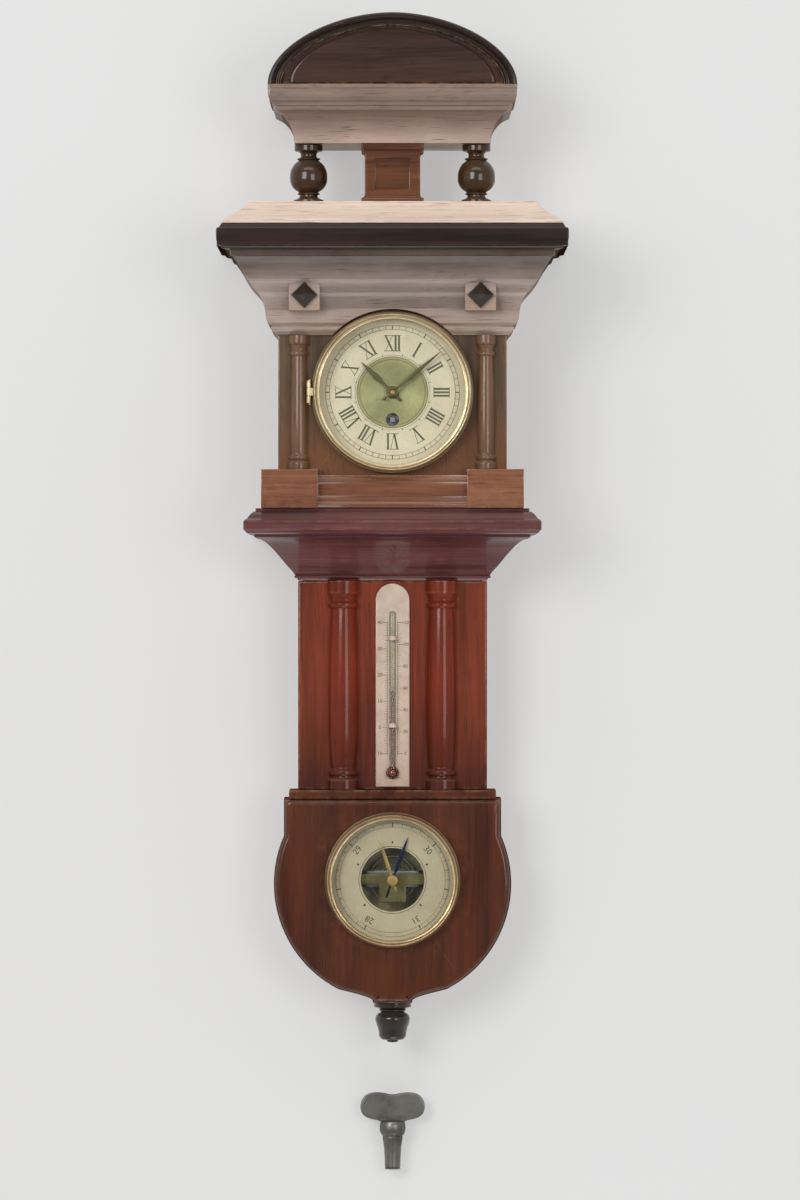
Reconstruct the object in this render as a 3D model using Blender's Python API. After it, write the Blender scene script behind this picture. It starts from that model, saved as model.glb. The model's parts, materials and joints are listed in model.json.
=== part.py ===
"""A wall clock with a thermometer and an aneroid barometer in one case, as its separate pieces.

Lengths are in metres. +Z is up, the wall is the plane y = 0 and the front of the clock faces -Y.
The origin is the hole of the hanger plate, from which the clock hangs.
"""

import math

import bmesh
import bpy
from mathutils import Matrix, Vector

# Clearances that every piece shares
GAP = 0.0003
CUT_PAST = 0.004
WELD = 0.000002
WALL_GAP = 0.002

# Numbers of sides of round pieces
ROUND_FINE = 40
ROUND_MEDIUM = 20
ROUND_TURNED = 16
ROUND_SMALL = 8
SMOOTH_UNDER = math.radians(35)

# The clock's dial, in its bezel
BEZEL_RADIUS = 0.058
BEZEL_RIM = 0.0055
BEZEL_DEPTH = 0.0135
GLASS_THICKNESS = 0.002
GLASS_SEAT = 0.002
DIAL_Z = -0.067
DIAL_RECESS = 0.0025
DIAL_THICKNESS = 0.001
PAN_THICKNESS = 0.001
PAN_FLANGE = 0.0018
CHAPTER_WIDTH = 0.027
PAN_BORE = 0.0045
WINDING_HOLE = 0.0048
HINGE_AXIS_DEPTH = 0.0095
HINGE_RADIUS = 0.0016
HINGE_LENGTH = 0.016
HINGE_PIN_RADIUS = 0.0007
BEZEL_SIDE_GAP = 0.0015
HINGE_LEG = 0.0015
HINGE_LEAF = 0.001
HINGE_LAP = 0.0045

# Half-columns on the box, with the diamond bosses over them
COLUMN_RADIUS = 0.0075
COLUMN_EDGE = 0.0075
BOSS_SIZE = 0.0095
BOSS_DEPTH = 0.008
BOSS_Z = 0.002
BOSS_INSET = 0.004
BOSS_EDGE = 0.002
BOSS_SEAT_MARGIN = 0.0015

# Box that holds the movement
BACK_THICKNESS = 0.012
BACK_EDGE = 0.003
BOX_DEPTH = 0.077
BOX_WALL = 0.008
BOX_TOP = 0.034
BOX_BOTTOM = -0.15
FRONT_THICKNESS = 0.008

# Upper cornice, the sloping board over it, the gallery and the arched hood
CORNICE_REACH = 0.0435
CORONA_HEIGHT = 0.018
COVE_HEIGHT = 0.06
SLOPE_HEIGHT = 0.0166
SLOPE_INSET = 0.004
GALLERY_HEIGHT = 0.0432
GALLERY_COLUMN_RADIUS = 0.0135
GALLERY_COLUMN_X = 0.0605
GALLERY_COLUMN_SETBACK = 0.016
GALLERY_BLOCK_HALF_WIDTH = 0.02
GALLERY_BLOCK_DEPTH = 0.056
GALLERY_BLOCK_STEP = 0.0025
HOOD_HALF_WIDTH = 0.07
HOOD_REACH = 0.0195
HOOD_HEIGHT = 0.041
HOOD_DEPTH = 0.085
ARCH_RISE = 0.0514
ARCH_THICKNESS = 0.0095
ARCH_POWER = 1.85
ARCH_STEPS = 22
TYMPANUM_THICKNESS = 0.007
TYMPANUM_RECESS = 0.006

# Plinth of the box and the cornice under it
PLINTH_REACH = 0.012
PLINTH_BLOCK_REACH = 0.004
PLINTH_BLOCK_HALF_WIDTH = 0.0135
PLINTH_BLOCK_RISE = 0.0041
LOWER_CORNICE_HEIGHT = 0.0515
LOWER_CORNICE_REACH = 0.0245

# Trunk with the thermometer
TRUNK_HALF_WIDTH = 0.0685
TRUNK_DEPTH = 0.036
TRUNK_HEIGHT = 0.1512
TRUNK_COLUMN_RADIUS = 0.0115
TRUNK_COLUMN_X = 0.0355
THERMOMETER_WIDTH = 0.0245
THERMOMETER_THICKNESS = 0.0016
THERMOMETER_MARGIN = 0.002
TUBE_RADIUS = 0.0024
BULB_RADIUS = 0.0042
BULB_STEPS = 6
TUBE_MARGIN = 0.01
STRAP_WIDTH = 0.003
STRAP_THICKNESS = 0.0007

# Barometer and its housing
HOUSING_HALF_WIDTH = 0.086
HOUSING_HEIGHT = 0.1541
HOUSING_DEPTH = 0.046
HOUSING_EDGE = 0.004
HOUSING_ARC_DROP = 0.0029
HOUSING_ARC_END = math.radians(-63)
HOUSING_ARC_STEPS = 16
LEDGE_HEIGHT = 0.004
LEDGE_STEP = 0.002
BAROMETER_DROP = 0.0648
BAROMETER_BEZEL_RADIUS = 0.049
BAROMETER_BEZEL_RIM = 0.005
BAROMETER_BEZEL_DEPTH = 0.011
BAROMETER_GLASS_SEAT = 0.0015
BAROMETER_RING_INNER = 0.023
BAROMETER_PAN_DEPTH = 0.034
BAROMETER_DIAL_RECESS = 0.001
CAPSULE_RADIUS = 0.017
CAPSULE_HEIGHT = 0.008
CAPSULE_POST_RADIUS = 0.0025
CAPSULE_STEM = 0.003
CAPSULE_RIDGE = 0.0008
SPRING_WIDTH = 0.012
SPRING_THICKNESS = 0.0016
SPRING_ARCH = 0.0035
SPRING_FOOT = 0.004
LEVER_WIDTH = 0.003
LEVER_THICKNESS = 0.0012
LEVER_ARBOR_RADIUS = 0.0011
LEVER_ROOM = 0.0055
LEVER_DROP = 0.014
LEVER_SHORT = 0.003
EAR_OUTER = 0.0098
EAR_WALL = 0.0015
EAR_RISE = 0.003
BRIDGE_SPAN = 0.062
BRIDGE_WIDTH = 0.008
BRIDGE_THICKNESS = 0.0015
BRIDGE_POST_RADIUS = 0.002
HAND_THICKNESS = 0.0005
HAND_ARBOR_RADIUS = 0.001
HAND_ARBOR_END = 0.0012
BAROMETER_HAND_LENGTH = 0.033
BAROMETER_TAIL = 0.014
SET_HAND_LENGTH = 0.03
SET_STEM_RADIUS = 0.0012
KNOB_RADIUS = 0.0042
KNOB_HEIGHT = 0.005
FINIAL_RADIUS = 0.0135
FINIAL_HEIGHT = 0.0295

# Hanger
HANGER_WIDTH = 0.03
HANGER_HEIGHT = 0.044
HANGER_THICKNESS = 0.002
HANGER_HOLE_RADIUS = 0.0045
HANGER_SLOT_RADIUS = 0.0025
HANGER_SLOT_RISE = 0.009
HANGER_POCKET_DEPTH = 0.009
SCREW_X = 0.0105
SCREW_DROP = 0.016
HANGER_RISE = 0.02
SCREW_RADIUS = 0.0015
SCREW_HEAD_RADIUS = 0.003
SCREW_HEAD_HEIGHT = 0.0012
SCREW_LENGTH = 0.0065

# Movement: plates, pillars and arbors
PLATE_THICKNESS = 0.0015
PLATE_HALF_WIDTH = 0.034
PLATE_ABOVE = 0.034
PLATE_BELOW = 0.042
PLATE_CORNER_INSET = 0.006
PLATE_SPACING = 0.0205
PILLAR_RADIUS = 0.0025
DIAL_POST_LENGTH = 0.0085
PIVOT_RADIUS = 0.0004
PIVOT_CLEARANCE = 0.0002
ARBOR_RADIUS = 0.0006
CENTRE_PIVOT_RADIUS = 0.0011
SHAKE = 0.0004
LAP = 0.0003
CENTRE_SETBACK = 0.0017
THIRD_SETBACK = 0.0067
FOURTH_SETBACK = 0.0112
ESCAPE_SETBACK = 0.0155
BALANCE_SETBACK = 0.0072
CANNON_STANDOFF = 0.0012
HOUR_STANDOFF = 0.0032
RATCHET_STANDOFF = 0.0007
STUD_LENGTH = 0.005
MINUTE_STUD_RADIUS = 0.0008
MINUTE_HUB_RADIUS = 0.0013

# Movement: teeth
LARGE_PINION_TEETH = 8
SMALL_PINION_TEETH = 6
GREAT_TEETH = 48
CENTRE_TEETH = 48
THIRD_TEETH = 45
FOURTH_TEETH = 48
ESCAPE_TEETH = 15
CANNON_TEETH = 10
MINUTE_TEETH = 30
MINUTE_PINION_TEETH = 8
HOUR_TEETH = 32
GREAT_MODULE = 0.0007
CENTRE_MODULE = 0.00045
THIRD_MODULE = 0.00042
FOURTH_MODULE = 0.00038
MOTION_MODULE = 0.0005
WHEEL_THICKNESS = 0.0012
PINION_EXTRA = 0.0003
THIRD_DIRECTION = math.radians(125)
FOURTH_DIRECTION = math.radians(60)
ESCAPE_DIRECTION = math.radians(0)
LEVER_DIRECTION = math.radians(20)
BALANCE_DIRECTION = math.radians(-60)
MINUTE_DIRECTION = math.radians(180)
BARREL_DIRECTION = math.radians(-90)
CLICK_DIRECTION = math.radians(35)
CLICK_TIP_DIRECTION = math.radians(90)
PALLET_SPREAD = math.radians(60)

# Movement: barrel, winding work and escapement
BARREL_RADIUS = 0.0135
BARREL_WALL = 0.0009
BARREL_HEIGHT = 0.0105
BARREL_SETBACK = 0.006
MAINSPRING_THICKNESS = 0.0005
MAINSPRING_TURNS = 4
MAINSPRING_STEPS = 14
BARREL_ARBOR_RADIUS = 0.0028
WINDING_RADIUS = 0.0021
WINDING_SQUARE = 0.0032
RATCHET_RADIUS = 0.0075
RATCHET_TEETH = 18
RATCHET_DEPTH = 0.0012
RATCHET_THICKNESS = 0.0014
CLICK_DISTANCE = 0.0115
CLICK_WIDTH = 0.003
CLICK_STUD_RADIUS = 0.0012
ESCAPE_RADIUS = 0.006
ESCAPE_TOOTH = 0.0016
LEVER_DISTANCE = 0.0084
LEVER_ARM = 0.0075
LEVER_ARM_WIDTH = 0.0012
PALLET_REACH = 0.0044
BALANCE_DISTANCE = 0.011
BALANCE_RADIUS = 0.008
BALANCE_RIM = 0.0012
BALANCE_SPOKE = 0.0009
CANNON_RADIUS = 0.0017
HOUR_PIPE_RADIUS = 0.003
PIPE_CLEARANCE = 0.0003
HAND_GAP = 0.0018
MINUTE_HAND_MARGIN = 0.007
HOUR_HAND_MARGIN = 0.0215
HAND_TAIL = 0.009
HAND_WIDTH = 0.0032
HAND_BOSS_RADIUS = 0.0036
HAND_BOSS_STEPS = 8
BOSS_TOP_ANGLE = math.radians(70)

# Hands as the photograph shows them, clockwise from twelve
MINUTE_HAND_ANGLE = math.radians(50)
HOUR_HAND_ANGLE = math.radians(-46)
BAROMETER_HAND_ANGLE = math.radians(20)
SET_HAND_ANGLE = math.radians(-18)

# Winding key, which hangs apart under the case
KEY_Z = -0.6135
KEY_WING_HALF_WIDTH = 0.0235
KEY_WING_HEIGHT = 0.02
KEY_THICKNESS = 0.003
KEY_BARREL_RADIUS = 0.0095
KEY_BARREL_LENGTH = 0.036
KEY_SOCKET_DEPTH = 0.012
KEY_SOCKET_CLEARANCE = 0.0004

# Shares
BOSS_SEAT_SHARE = 0.47
SHOULDER_SHARE = 0.915
LEDGE_SHARE = 0.872
FLARE_SHARES = ((0.74, 0.43), (0.57, 0.1), (0.51, 0.0))
STRAP_SHARES = (0.3, 0.85)
GLASS_IN_RIM_SHARE = 0.6
CROWN_SHARE = 0.55
SHOULDER_RIM_SHARE = 0.3
TIP_SHARE = 0.35
POINT_SHARE = 0.9
BELLY_SHARE = 0.36
NECK_SHARE = 0.45
NECK_PLACE_SHARE = 0.16
HOUR_BOSS_SHARE = 1.3
CORRUGATION_SHARES = (
    (0.34, 0.0), (0.42, 1.0), (0.5, 1.0), (0.58, 0.0), (0.68, 0.0), (0.76, 1.0), (0.88, 1.0),
)
KNOB_SHARES = ((0.8, 0.0), (1.0, 0.2), (1.0, 0.8), (0.8, 1.0), (0.0, 1.0))
KEY_WING_SHARES = (
    (0.0, 0.92), (0.2, 0.96), (0.5, 1.0), (0.78, 0.92), (0.95, 0.72), (1.0, 0.45), (0.93, 0.2),
    (0.75, 0.06), (0.5, -0.02), (0.36, -0.12), (0.3, -0.4),
)
KEY_BARREL_SHARES = ((0.6, 0.0), (0.62, 0.3), (0.78, 0.66), (0.95, 0.78), (1.0, 0.9), (0.75, 1.0))
RATCHET_LEAN_SHARE = 0.9
ESCAPE_BACK_SHARE = 0.12
ESCAPE_ROOT_SHARE = 0.7
CLICK_SHARES = (
    (-0.25, -1.0), (-0.25, 1.0), (0.12, 1.0), (0.4, 0.15), (1.0, 0.0), (1.0, -0.5), (0.5, -1.0),
)
# Root width, tip width, both of the pitch, then height above and depth below the pitch circle
WHEEL_TOOTH_SHARES = (0.5, 0.16, 1.0, 1.2)
PINION_TOOTH_SHARES = (0.4, 0.14, 0.8, 1.3)
SIDES = ((-1, "left"), (1, "right"))

# Places that follow from the sizes above; front faces have the lower y
BACK_FRONT = -BACK_THICKNESS
BOX_BACK = BACK_FRONT - GAP
BOX_FRONT = BOX_BACK - BOX_DEPTH
BOARD_BACK = BOX_FRONT - GAP
BOARD_FRONT = BOARD_BACK - FRONT_THICKNESS
COLUMN_X = BEZEL_RADIUS + BEZEL_SIDE_GAP + COLUMN_RADIUS
BOX_HALF_WIDTH = COLUMN_X + COLUMN_RADIUS + COLUMN_EDGE
CORNICE_TOP = BOX_TOP + CORONA_HEIGHT
SLOPE_TOP = CORNICE_TOP + GAP + SLOPE_HEIGHT
GALLERY_TOP = SLOPE_TOP + GAP + GALLERY_HEIGHT
HOOD_TOP = GALLERY_TOP + GAP + HOOD_HEIGHT
HOOD_FRONT = -HOOD_DEPTH - HOOD_REACH
PLINTH_TOP = DIAL_Z - BEZEL_RADIUS - BEZEL_SIDE_GAP
LOWER_CORNICE_TOP = BOX_BOTTOM - GAP
TRUNK_TOP = LOWER_CORNICE_TOP - LOWER_CORNICE_HEIGHT - GAP
TRUNK_BOTTOM = TRUNK_TOP - TRUNK_HEIGHT
TRUNK_FRONT = BACK_FRONT - GAP - TRUNK_DEPTH
HOUSING_TOP = TRUNK_BOTTOM - GAP
HOUSING_BACK = BACK_FRONT - GAP
HOUSING_FRONT = HOUSING_BACK - HOUSING_DEPTH
HOUSING_BOTTOM = HOUSING_TOP - HOUSING_HEIGHT
BAROMETER_Z = HOUSING_TOP - BAROMETER_DROP

# Places along the dial's axis, from the front board forwards and backwards
BEZEL_INNER = BEZEL_RADIUS - BEZEL_RIM
MINUTE_HAND_LENGTH = BEZEL_INNER - MINUTE_HAND_MARGIN
HOUR_HAND_LENGTH = BEZEL_INNER - HOUR_HAND_MARGIN
DIAL_BORE = BEZEL_INNER + PAN_FLANGE
PAN_WALL_RADIUS = DIAL_BORE - GAP
PAN_FRONT = BOARD_FRONT + DIAL_RECESS
CHAPTER_RADIUS = PAN_WALL_RADIUS - PAN_THICKNESS - GAP
CHAPTER_INNER = CHAPTER_RADIUS - CHAPTER_WIDTH
CHAPTER_BACK = PAN_FRONT - GAP
CHAPTER_FRONT = CHAPTER_BACK - DIAL_THICKNESS
FLANGE_FRONT = BOARD_FRONT - GAP - PAN_THICKNESS
BEZEL_BACK = FLANGE_FRONT - GAP
BEZEL_FRONT = BEZEL_BACK - BEZEL_DEPTH
GLASS_BACK = BEZEL_FRONT + GLASS_SEAT + GLASS_THICKNESS
HINGE_Y = BEZEL_BACK - HINGE_AXIS_DEPTH
HINGE_X = -BEZEL_RADIUS - HINGE_RADIUS - GAP
HOUR_HAND_FRONT = CHAPTER_FRONT - HAND_GAP - HAND_THICKNESS
MINUTE_HAND_FRONT = HOUR_HAND_FRONT - HAND_GAP - HAND_THICKNESS

BOSS_X = COLUMN_X - BOSS_INSET
BOSS_SEAT = BOSS_SIZE + BOSS_SEAT_MARGIN
BOSS_BACK = BOARD_FRONT - CORNICE_REACH * BOSS_SEAT_SHARE - GAP
PLINTH_BLOCK_TOP = PLINTH_TOP + PLINTH_BLOCK_RISE
HANGER_TOP = HANGER_RISE
HANGER_BOTTOM = HANGER_TOP - HANGER_HEIGHT
SCREW_Z = -SCREW_DROP

PLATE_FRONT = TRUNK_FRONT - GAP - THERMOMETER_THICKNESS
TUBE_Y = PLATE_FRONT - 2 * GAP - TUBE_RADIUS
THERMOMETER_BOTTOM = TRUNK_BOTTOM + THERMOMETER_MARGIN
THERMOMETER_TOP = TRUNK_TOP - THERMOMETER_MARGIN
BULB_NECK = math.acos(TUBE_RADIUS / BULB_RADIUS)

BAROMETER_BORE = BAROMETER_BEZEL_RADIUS - BAROMETER_BEZEL_RIM + PAN_FLANGE
BAROMETER_PAN_RADIUS = BAROMETER_BORE - GAP
BAROMETER_FLANGE = BAROMETER_BEZEL_RADIUS - PAN_FLANGE
BAROMETER_FLOOR = HOUSING_FRONT + BAROMETER_PAN_DEPTH
BAROMETER_RING_OUTER = BAROMETER_PAN_RADIUS - PAN_THICKNESS - GAP
BAROMETER_RING_FRONT = HOUSING_FRONT + BAROMETER_DIAL_RECESS - DIAL_THICKNESS
BAROMETER_BEZEL_BACK = HOUSING_FRONT - GAP - PAN_THICKNESS - GAP
BAROMETER_BEZEL_FRONT = BAROMETER_BEZEL_BACK - BAROMETER_BEZEL_DEPTH
BAROMETER_GLASS_FRONT = BAROMETER_BEZEL_FRONT + BAROMETER_GLASS_SEAT
BAROMETER_HAND_FRONT = BAROMETER_RING_FRONT - HAND_GAP - HAND_THICKNESS
SET_HAND_FRONT = BAROMETER_HAND_FRONT - HAND_GAP - HAND_THICKNESS
SPRING_FRONT = (
    BAROMETER_FLOOR - PAN_THICKNESS - GAP - CAPSULE_STEM - CAPSULE_HEIGHT - CAPSULE_STEM
    - GAP - SPRING_THICKNESS
)
BRIDGE_BACK = SPRING_FRONT - LEVER_ROOM
LEVER_Y = (SPRING_FRONT + BRIDGE_BACK) / 2
LEVER_Z = BAROMETER_Z - LEVER_DROP

FRONT_PLATE_FRONT = PAN_FRONT + PAN_THICKNESS + GAP + DIAL_POST_LENGTH
FRONT_PLATE_BACK = FRONT_PLATE_FRONT + PLATE_THICKNESS
BACK_PLATE_FRONT = FRONT_PLATE_BACK + PLATE_SPACING
BACK_PLATE_BACK = BACK_PLATE_FRONT + PLATE_THICKNESS
CENTRE_BACK = BACK_PLATE_FRONT - CENTRE_SETBACK
THIRD_BACK = BACK_PLATE_FRONT - THIRD_SETBACK
FOURTH_BACK = BACK_PLATE_FRONT - FOURTH_SETBACK
ESCAPE_BACK = BACK_PLATE_FRONT - ESCAPE_SETBACK
BALANCE_BACK = BACK_PLATE_FRONT - BALANCE_SETBACK
GREAT_BACK = BACK_PLATE_FRONT - BARREL_SETBACK - BARREL_HEIGHT
CANNON_BACK = FRONT_PLATE_FRONT - CANNON_STANDOFF
HOUR_BACK = FRONT_PLATE_FRONT - HOUR_STANDOFF
RATCHET_BACK = FRONT_PLATE_FRONT - RATCHET_STANDOFF
STUD_FRONT = FRONT_PLATE_FRONT - STUD_LENGTH
KEY_Y = -KEY_BARREL_RADIUS - WALL_GAP


def polar(radius, angle):
    return (radius * math.cos(angle), radius * math.sin(angle))


def offset(centre, radius, angle):
    """A point at a distance and direction from another."""
    x, z = polar(radius, angle)
    return (centre[0] + x, centre[1] + z)


def mesh_distance(first_teeth, second_teeth, module):
    return (first_teeth + second_teeth) * module / 2


# Arbors of the movement, as (x, z)
GREAT_DISTANCE = mesh_distance(GREAT_TEETH, LARGE_PINION_TEETH, GREAT_MODULE)
CENTRE = (0, DIAL_Z)
BARREL = offset(CENTRE, GREAT_DISTANCE, BARREL_DIRECTION)
THIRD = offset(
    CENTRE, mesh_distance(CENTRE_TEETH, SMALL_PINION_TEETH, CENTRE_MODULE), THIRD_DIRECTION
)
FOURTH = offset(
    THIRD, mesh_distance(THIRD_TEETH, SMALL_PINION_TEETH, THIRD_MODULE), FOURTH_DIRECTION
)
ESCAPE = offset(
    FOURTH, mesh_distance(FOURTH_TEETH, SMALL_PINION_TEETH, FOURTH_MODULE), ESCAPE_DIRECTION
)
LEVER = offset(ESCAPE, LEVER_DISTANCE, LEVER_DIRECTION)
BALANCE = offset(LEVER, BALANCE_DISTANCE, BALANCE_DIRECTION)
MINUTE = offset(CENTRE, mesh_distance(CANNON_TEETH, MINUTE_TEETH, MOTION_MODULE), MINUTE_DIRECTION)
CLICK = offset(BARREL, CLICK_DISTANCE, CLICK_DIRECTION)
CLICK_TIP = offset(BARREL, RATCHET_RADIUS + GAP, CLICK_TIP_DIRECTION)
CLICK_TURN_OUT = math.atan2(CLICK_TIP[1] - CLICK[1], CLICK_TIP[0] - CLICK[0])
CLICK_LENGTH = math.dist(CLICK, CLICK_TIP)


def clear_scene():
    for old in list(bpy.data.objects):
        bpy.data.objects.remove(old, do_unlink=True)


def finish(name, colour, roughness, metallic=0.0):
    """A plain material with the finish's colour and gloss."""
    made = bpy.data.materials.new(name)
    made.use_nodes = True
    shader = made.node_tree.nodes["Principled BSDF"]
    shader.inputs["Base Color"].default_value = (*colour, 1.0)
    shader.inputs["Roughness"].default_value = roughness
    shader.inputs["Metallic"].default_value = metallic
    return made


def face_outwards(editing):
    """Turns every face of a closed mesh to point away from its inside."""
    bmesh.ops.recalc_face_normals(editing, faces=editing.faces)
    if editing.calc_volume(signed=True) < 0:
        bmesh.ops.reverse_faces(editing, faces=editing.faces)


def object_from(mesh_in_progress):
    """Turns an edited mesh into an object of the scene."""
    mesh = bpy.data.meshes.new("shape")
    mesh_in_progress.to_mesh(mesh)
    mesh_in_progress.free()
    made = bpy.data.objects.new("shape", mesh)
    bpy.context.scene.collection.objects.link(made)
    return made


def evaluated_mesh(shape):
    """The shape's mesh with its modifiers applied, and the shape itself removed."""
    bpy.context.view_layer.update()
    graph = bpy.context.evaluated_depsgraph_get()
    mesh = bpy.data.meshes.new_from_object(shape.evaluated_get(graph))
    bpy.data.objects.remove(shape, do_unlink=True)
    return mesh


def combined(shape, others, operation):
    """One closed mesh from a shape and others that are joined to it or cut from it."""
    for other in others:
        step = shape.modifiers.new(operation.lower(), "BOOLEAN")
        step.operation = operation
        step.object = other
    made = bpy.data.objects.new("shape", evaluated_mesh(shape))
    bpy.context.scene.collection.objects.link(made)
    for other in others:
        bpy.data.objects.remove(other, do_unlink=True)
    return made


def joined(shape, *others):
    return combined(shape, others, "UNION")


def cut(shape, *cutters):
    return combined(shape, cutters, "DIFFERENCE")


def block(corner, opposite):
    """A box between two opposite corners, given in either order."""
    x, back, low = corner
    x_end, front, high = opposite
    return prism([(x, low), (x_end, low), (x_end, high), (x, high)], back, front)


def prism(outline, back, front):
    """An outline of (x, z) points, carried from the plane y = back to y = front."""
    editing = bmesh.new()
    face = editing.faces.new([editing.verts.new((x, back, z)) for x, z in outline])
    made = bmesh.ops.extrude_face_region(editing, geom=[face])["geom"]
    moved = [item for item in made if isinstance(item, bmesh.types.BMVert)]
    bmesh.ops.translate(editing, vec=(0, front - back, 0), verts=moved)
    face_outwards(editing)
    return object_from(editing)


def spun(profile, sides, closed):
    """A mesh turned round the Z axis from (radius, height) points."""
    editing = bmesh.new()
    points = [editing.verts.new((radius, 0, height)) for radius, height in profile]
    pairs = list(zip(points, points[1:]))
    if closed:
        pairs.append((points[-1], points[0]))
    edges = [editing.edges.new(pair) for pair in pairs]
    bmesh.ops.spin(
        editing, geom=points + edges, cent=(0, 0, 0), axis=(0, 0, 1), dvec=(0, 0, 0),
        angle=math.tau, steps=sides, use_merge=True, use_duplicate=False,
    )
    bmesh.ops.remove_doubles(editing, verts=editing.verts, dist=WELD)
    return editing


def turned(profile, sides, centre, closed=False):
    """A piece turned about a vertical axis; heights are z."""
    editing = spun(profile, sides, closed)
    bmesh.ops.translate(editing, vec=(centre[0], centre[1], 0), verts=editing.verts)
    face_outwards(editing)
    return object_from(editing)


def turned_facing(profile, sides, centre, closed=False):
    """A piece turned about an axis that runs from the wall to the front; heights are y."""
    editing = spun(profile, sides, closed)
    for point in editing.verts:
        x, y, z = point.co
        point.co = (x + centre[0], z, y + centre[1])
    face_outwards(editing)
    return object_from(editing)


def rod(radius, back, front, centre, sides=ROUND_SMALL):
    """A round bar along y."""
    return turned_facing([(0, back), (radius, back), (radius, front), (0, front)], sides, centre)


def ring(inner, outer, back, front, centre, sides=ROUND_FINE):
    """A flat ring facing the front."""
    corners = [(inner, back), (outer, back), (outer, front), (inner, front)]
    return turned_facing(corners, sides, centre, closed=True)


def stacked(levels, back):
    """A moulded block: each level is (z, half width, front y), from the lowest to the highest."""
    editing = bmesh.new()
    rows = []
    for z, half_width, front in levels:
        corners = ((-half_width, back), (half_width, back), (half_width, front), (-half_width, front))
        rows.append([editing.verts.new((x, y, z)) for x, y in corners])
    for lower, upper in zip(rows, rows[1:]):
        for first in range(4):
            second = (first + 1) % 4
            editing.faces.new((lower[first], lower[second], upper[second], upper[first]))
    editing.faces.new(rows[0][::-1])
    editing.faces.new(rows[-1])
    face_outwards(editing)
    return object_from(editing)


def around(points, centre, turn=0.0):
    """Points turned clockwise as seen from the front, then moved to a centre."""
    cosine, sine = math.cos(turn), math.sin(turn)
    return [(centre[0] + x * cosine + z * sine, centre[1] - x * sine + z * cosine) for x, z in points]


def arc(centre, radius, start, end, steps):
    """Points along an arc, ends included."""
    turns = [start + (end - start) * step / steps for step in range(steps + 1)]
    return [offset(centre, radius, turn) for turn in turns]


def mirrored(points):
    """An outline's right half, given from top to bottom, with its left half added."""
    return points + [(-x, z) for x, z in reversed(points) if x > 0]


def piece(name, shape, material, pivot=(0, 0, 0)):
    """Names a finished shape, gives it its material and puts its origin on its pivot."""
    shape.name = name
    shape.data.name = name
    shape.data.transform(Matrix.Translation(-Vector(pivot)))
    shape.location = pivot
    shape.data.materials.clear()
    shape.data.materials.append(material)
    shape.data.shade_smooth()
    shape.data.set_sharp_from_angle(angle=SMOOTH_UNDER)
    return shape


# Moulding outlines, from the bottom up: share of the height, share of the reach
COVE_SHARES = (
    (0.0, 0.04), (0.1, 0.08), (0.16, 0.19), (0.38, 0.21), (0.48, 0.345),
    (0.58, 0.45), (0.7, 0.52), (0.85, 0.64), (0.96, 0.76), (1.0, 0.85),
)
CORONA_SHARES = ((0.12, 0.92), (0.3, 0.99), (0.85, 1.0), (1.0, 0.92))
SLOPE_SHARES = ((0.0, 1.0), (0.12, 0.98), (0.32, 0.85), (0.58, 0.69), (0.82, 0.56), (1.0, 0.53))
HOOD_SHARES = (
    (0.0, 0.03), (0.15, 0.08), (0.33, 0.26), (0.48, 0.52), (0.58, 0.72),
    (0.62, 0.78), (0.72, 0.8), (0.75, 0.87), (0.93, 0.97), (1.0, 1.0),
)
PLINTH_SHARES = ((0.0, 1.0), (0.12, 0.82), (0.25, 0.74), (0.82, 0.7), (0.92, 0.6), (1.0, 0.5))
LOWER_CORNICE_SHARES = (
    (0.0, 0.0), (0.06, 0.03), (0.2, 0.2), (0.34, 0.33), (0.48, 0.5), (0.6, 0.72),
    (0.66, 0.92), (0.7, 1.0), (0.82, 1.0), (0.87, 0.93), (1.0, 0.78),
)
BLOCK_STEP_SHARES = ((0.0, 1.0), (0.12, 1.0), (0.12, 0.0), (0.88, 0.0), (0.88, 1.0), (1.0, 1.0))

# Turned outlines, from the bottom up: share of the radius, share of the height
GALLERY_COLUMN_SHARES = (
    (0.8, 0.0), (0.8, 0.08), (0.5, 0.13), (0.52, 0.2), (0.82, 0.28), (1.0, 0.4), (1.0, 0.52),
    (0.82, 0.66), (0.5, 0.74), (0.42, 0.82), (0.5, 0.88), (0.74, 0.92), (0.74, 1.0),
)
BOX_COLUMN_SHARES = (
    (1.0, 0.0), (1.0, 0.05), (0.82, 0.07), (0.95, 0.1), (0.78, 0.13), (0.84, 0.3), (0.8, 0.6),
    (0.72, 0.84), (0.9, 0.87), (0.78, 0.9), (1.0, 0.95), (1.0, 1.0),
)
TRUNK_COLUMN_SHARES = (
    (1.0, 0.0), (1.0, 0.05), (0.8, 0.065), (0.96, 0.09), (0.82, 0.115), (0.94, 0.3), (0.94, 0.55),
    (0.8, 0.87), (0.96, 0.9), (0.82, 0.92), (1.0, 0.945), (1.0, 1.0),
)
FINIAL_SHARES = (
    (0.3, 0.0), (0.62, 0.07), (0.7, 0.2), (0.78, 0.36), (0.9, 0.55), (0.84, 0.68),
    (0.6, 0.78), (0.7, 0.83), (1.0, 0.88), (1.0, 1.0),
)


def moulding(shares, bottom, height, reach, half_width, front):
    """Levels of a moulding that runs along the front and both sides."""
    return [
        (bottom + height * up, half_width + reach * out, front - reach * out) for up, out in shares
    ]


def turned_outline(shares, radius, bottom, height):
    """A turned outline that is closed at the axis at both ends."""
    points = [(radius * out, bottom + height * up) for out, up in shares]
    return [(0, points[0][1])] + points + [(0, points[-1][1])]


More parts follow.
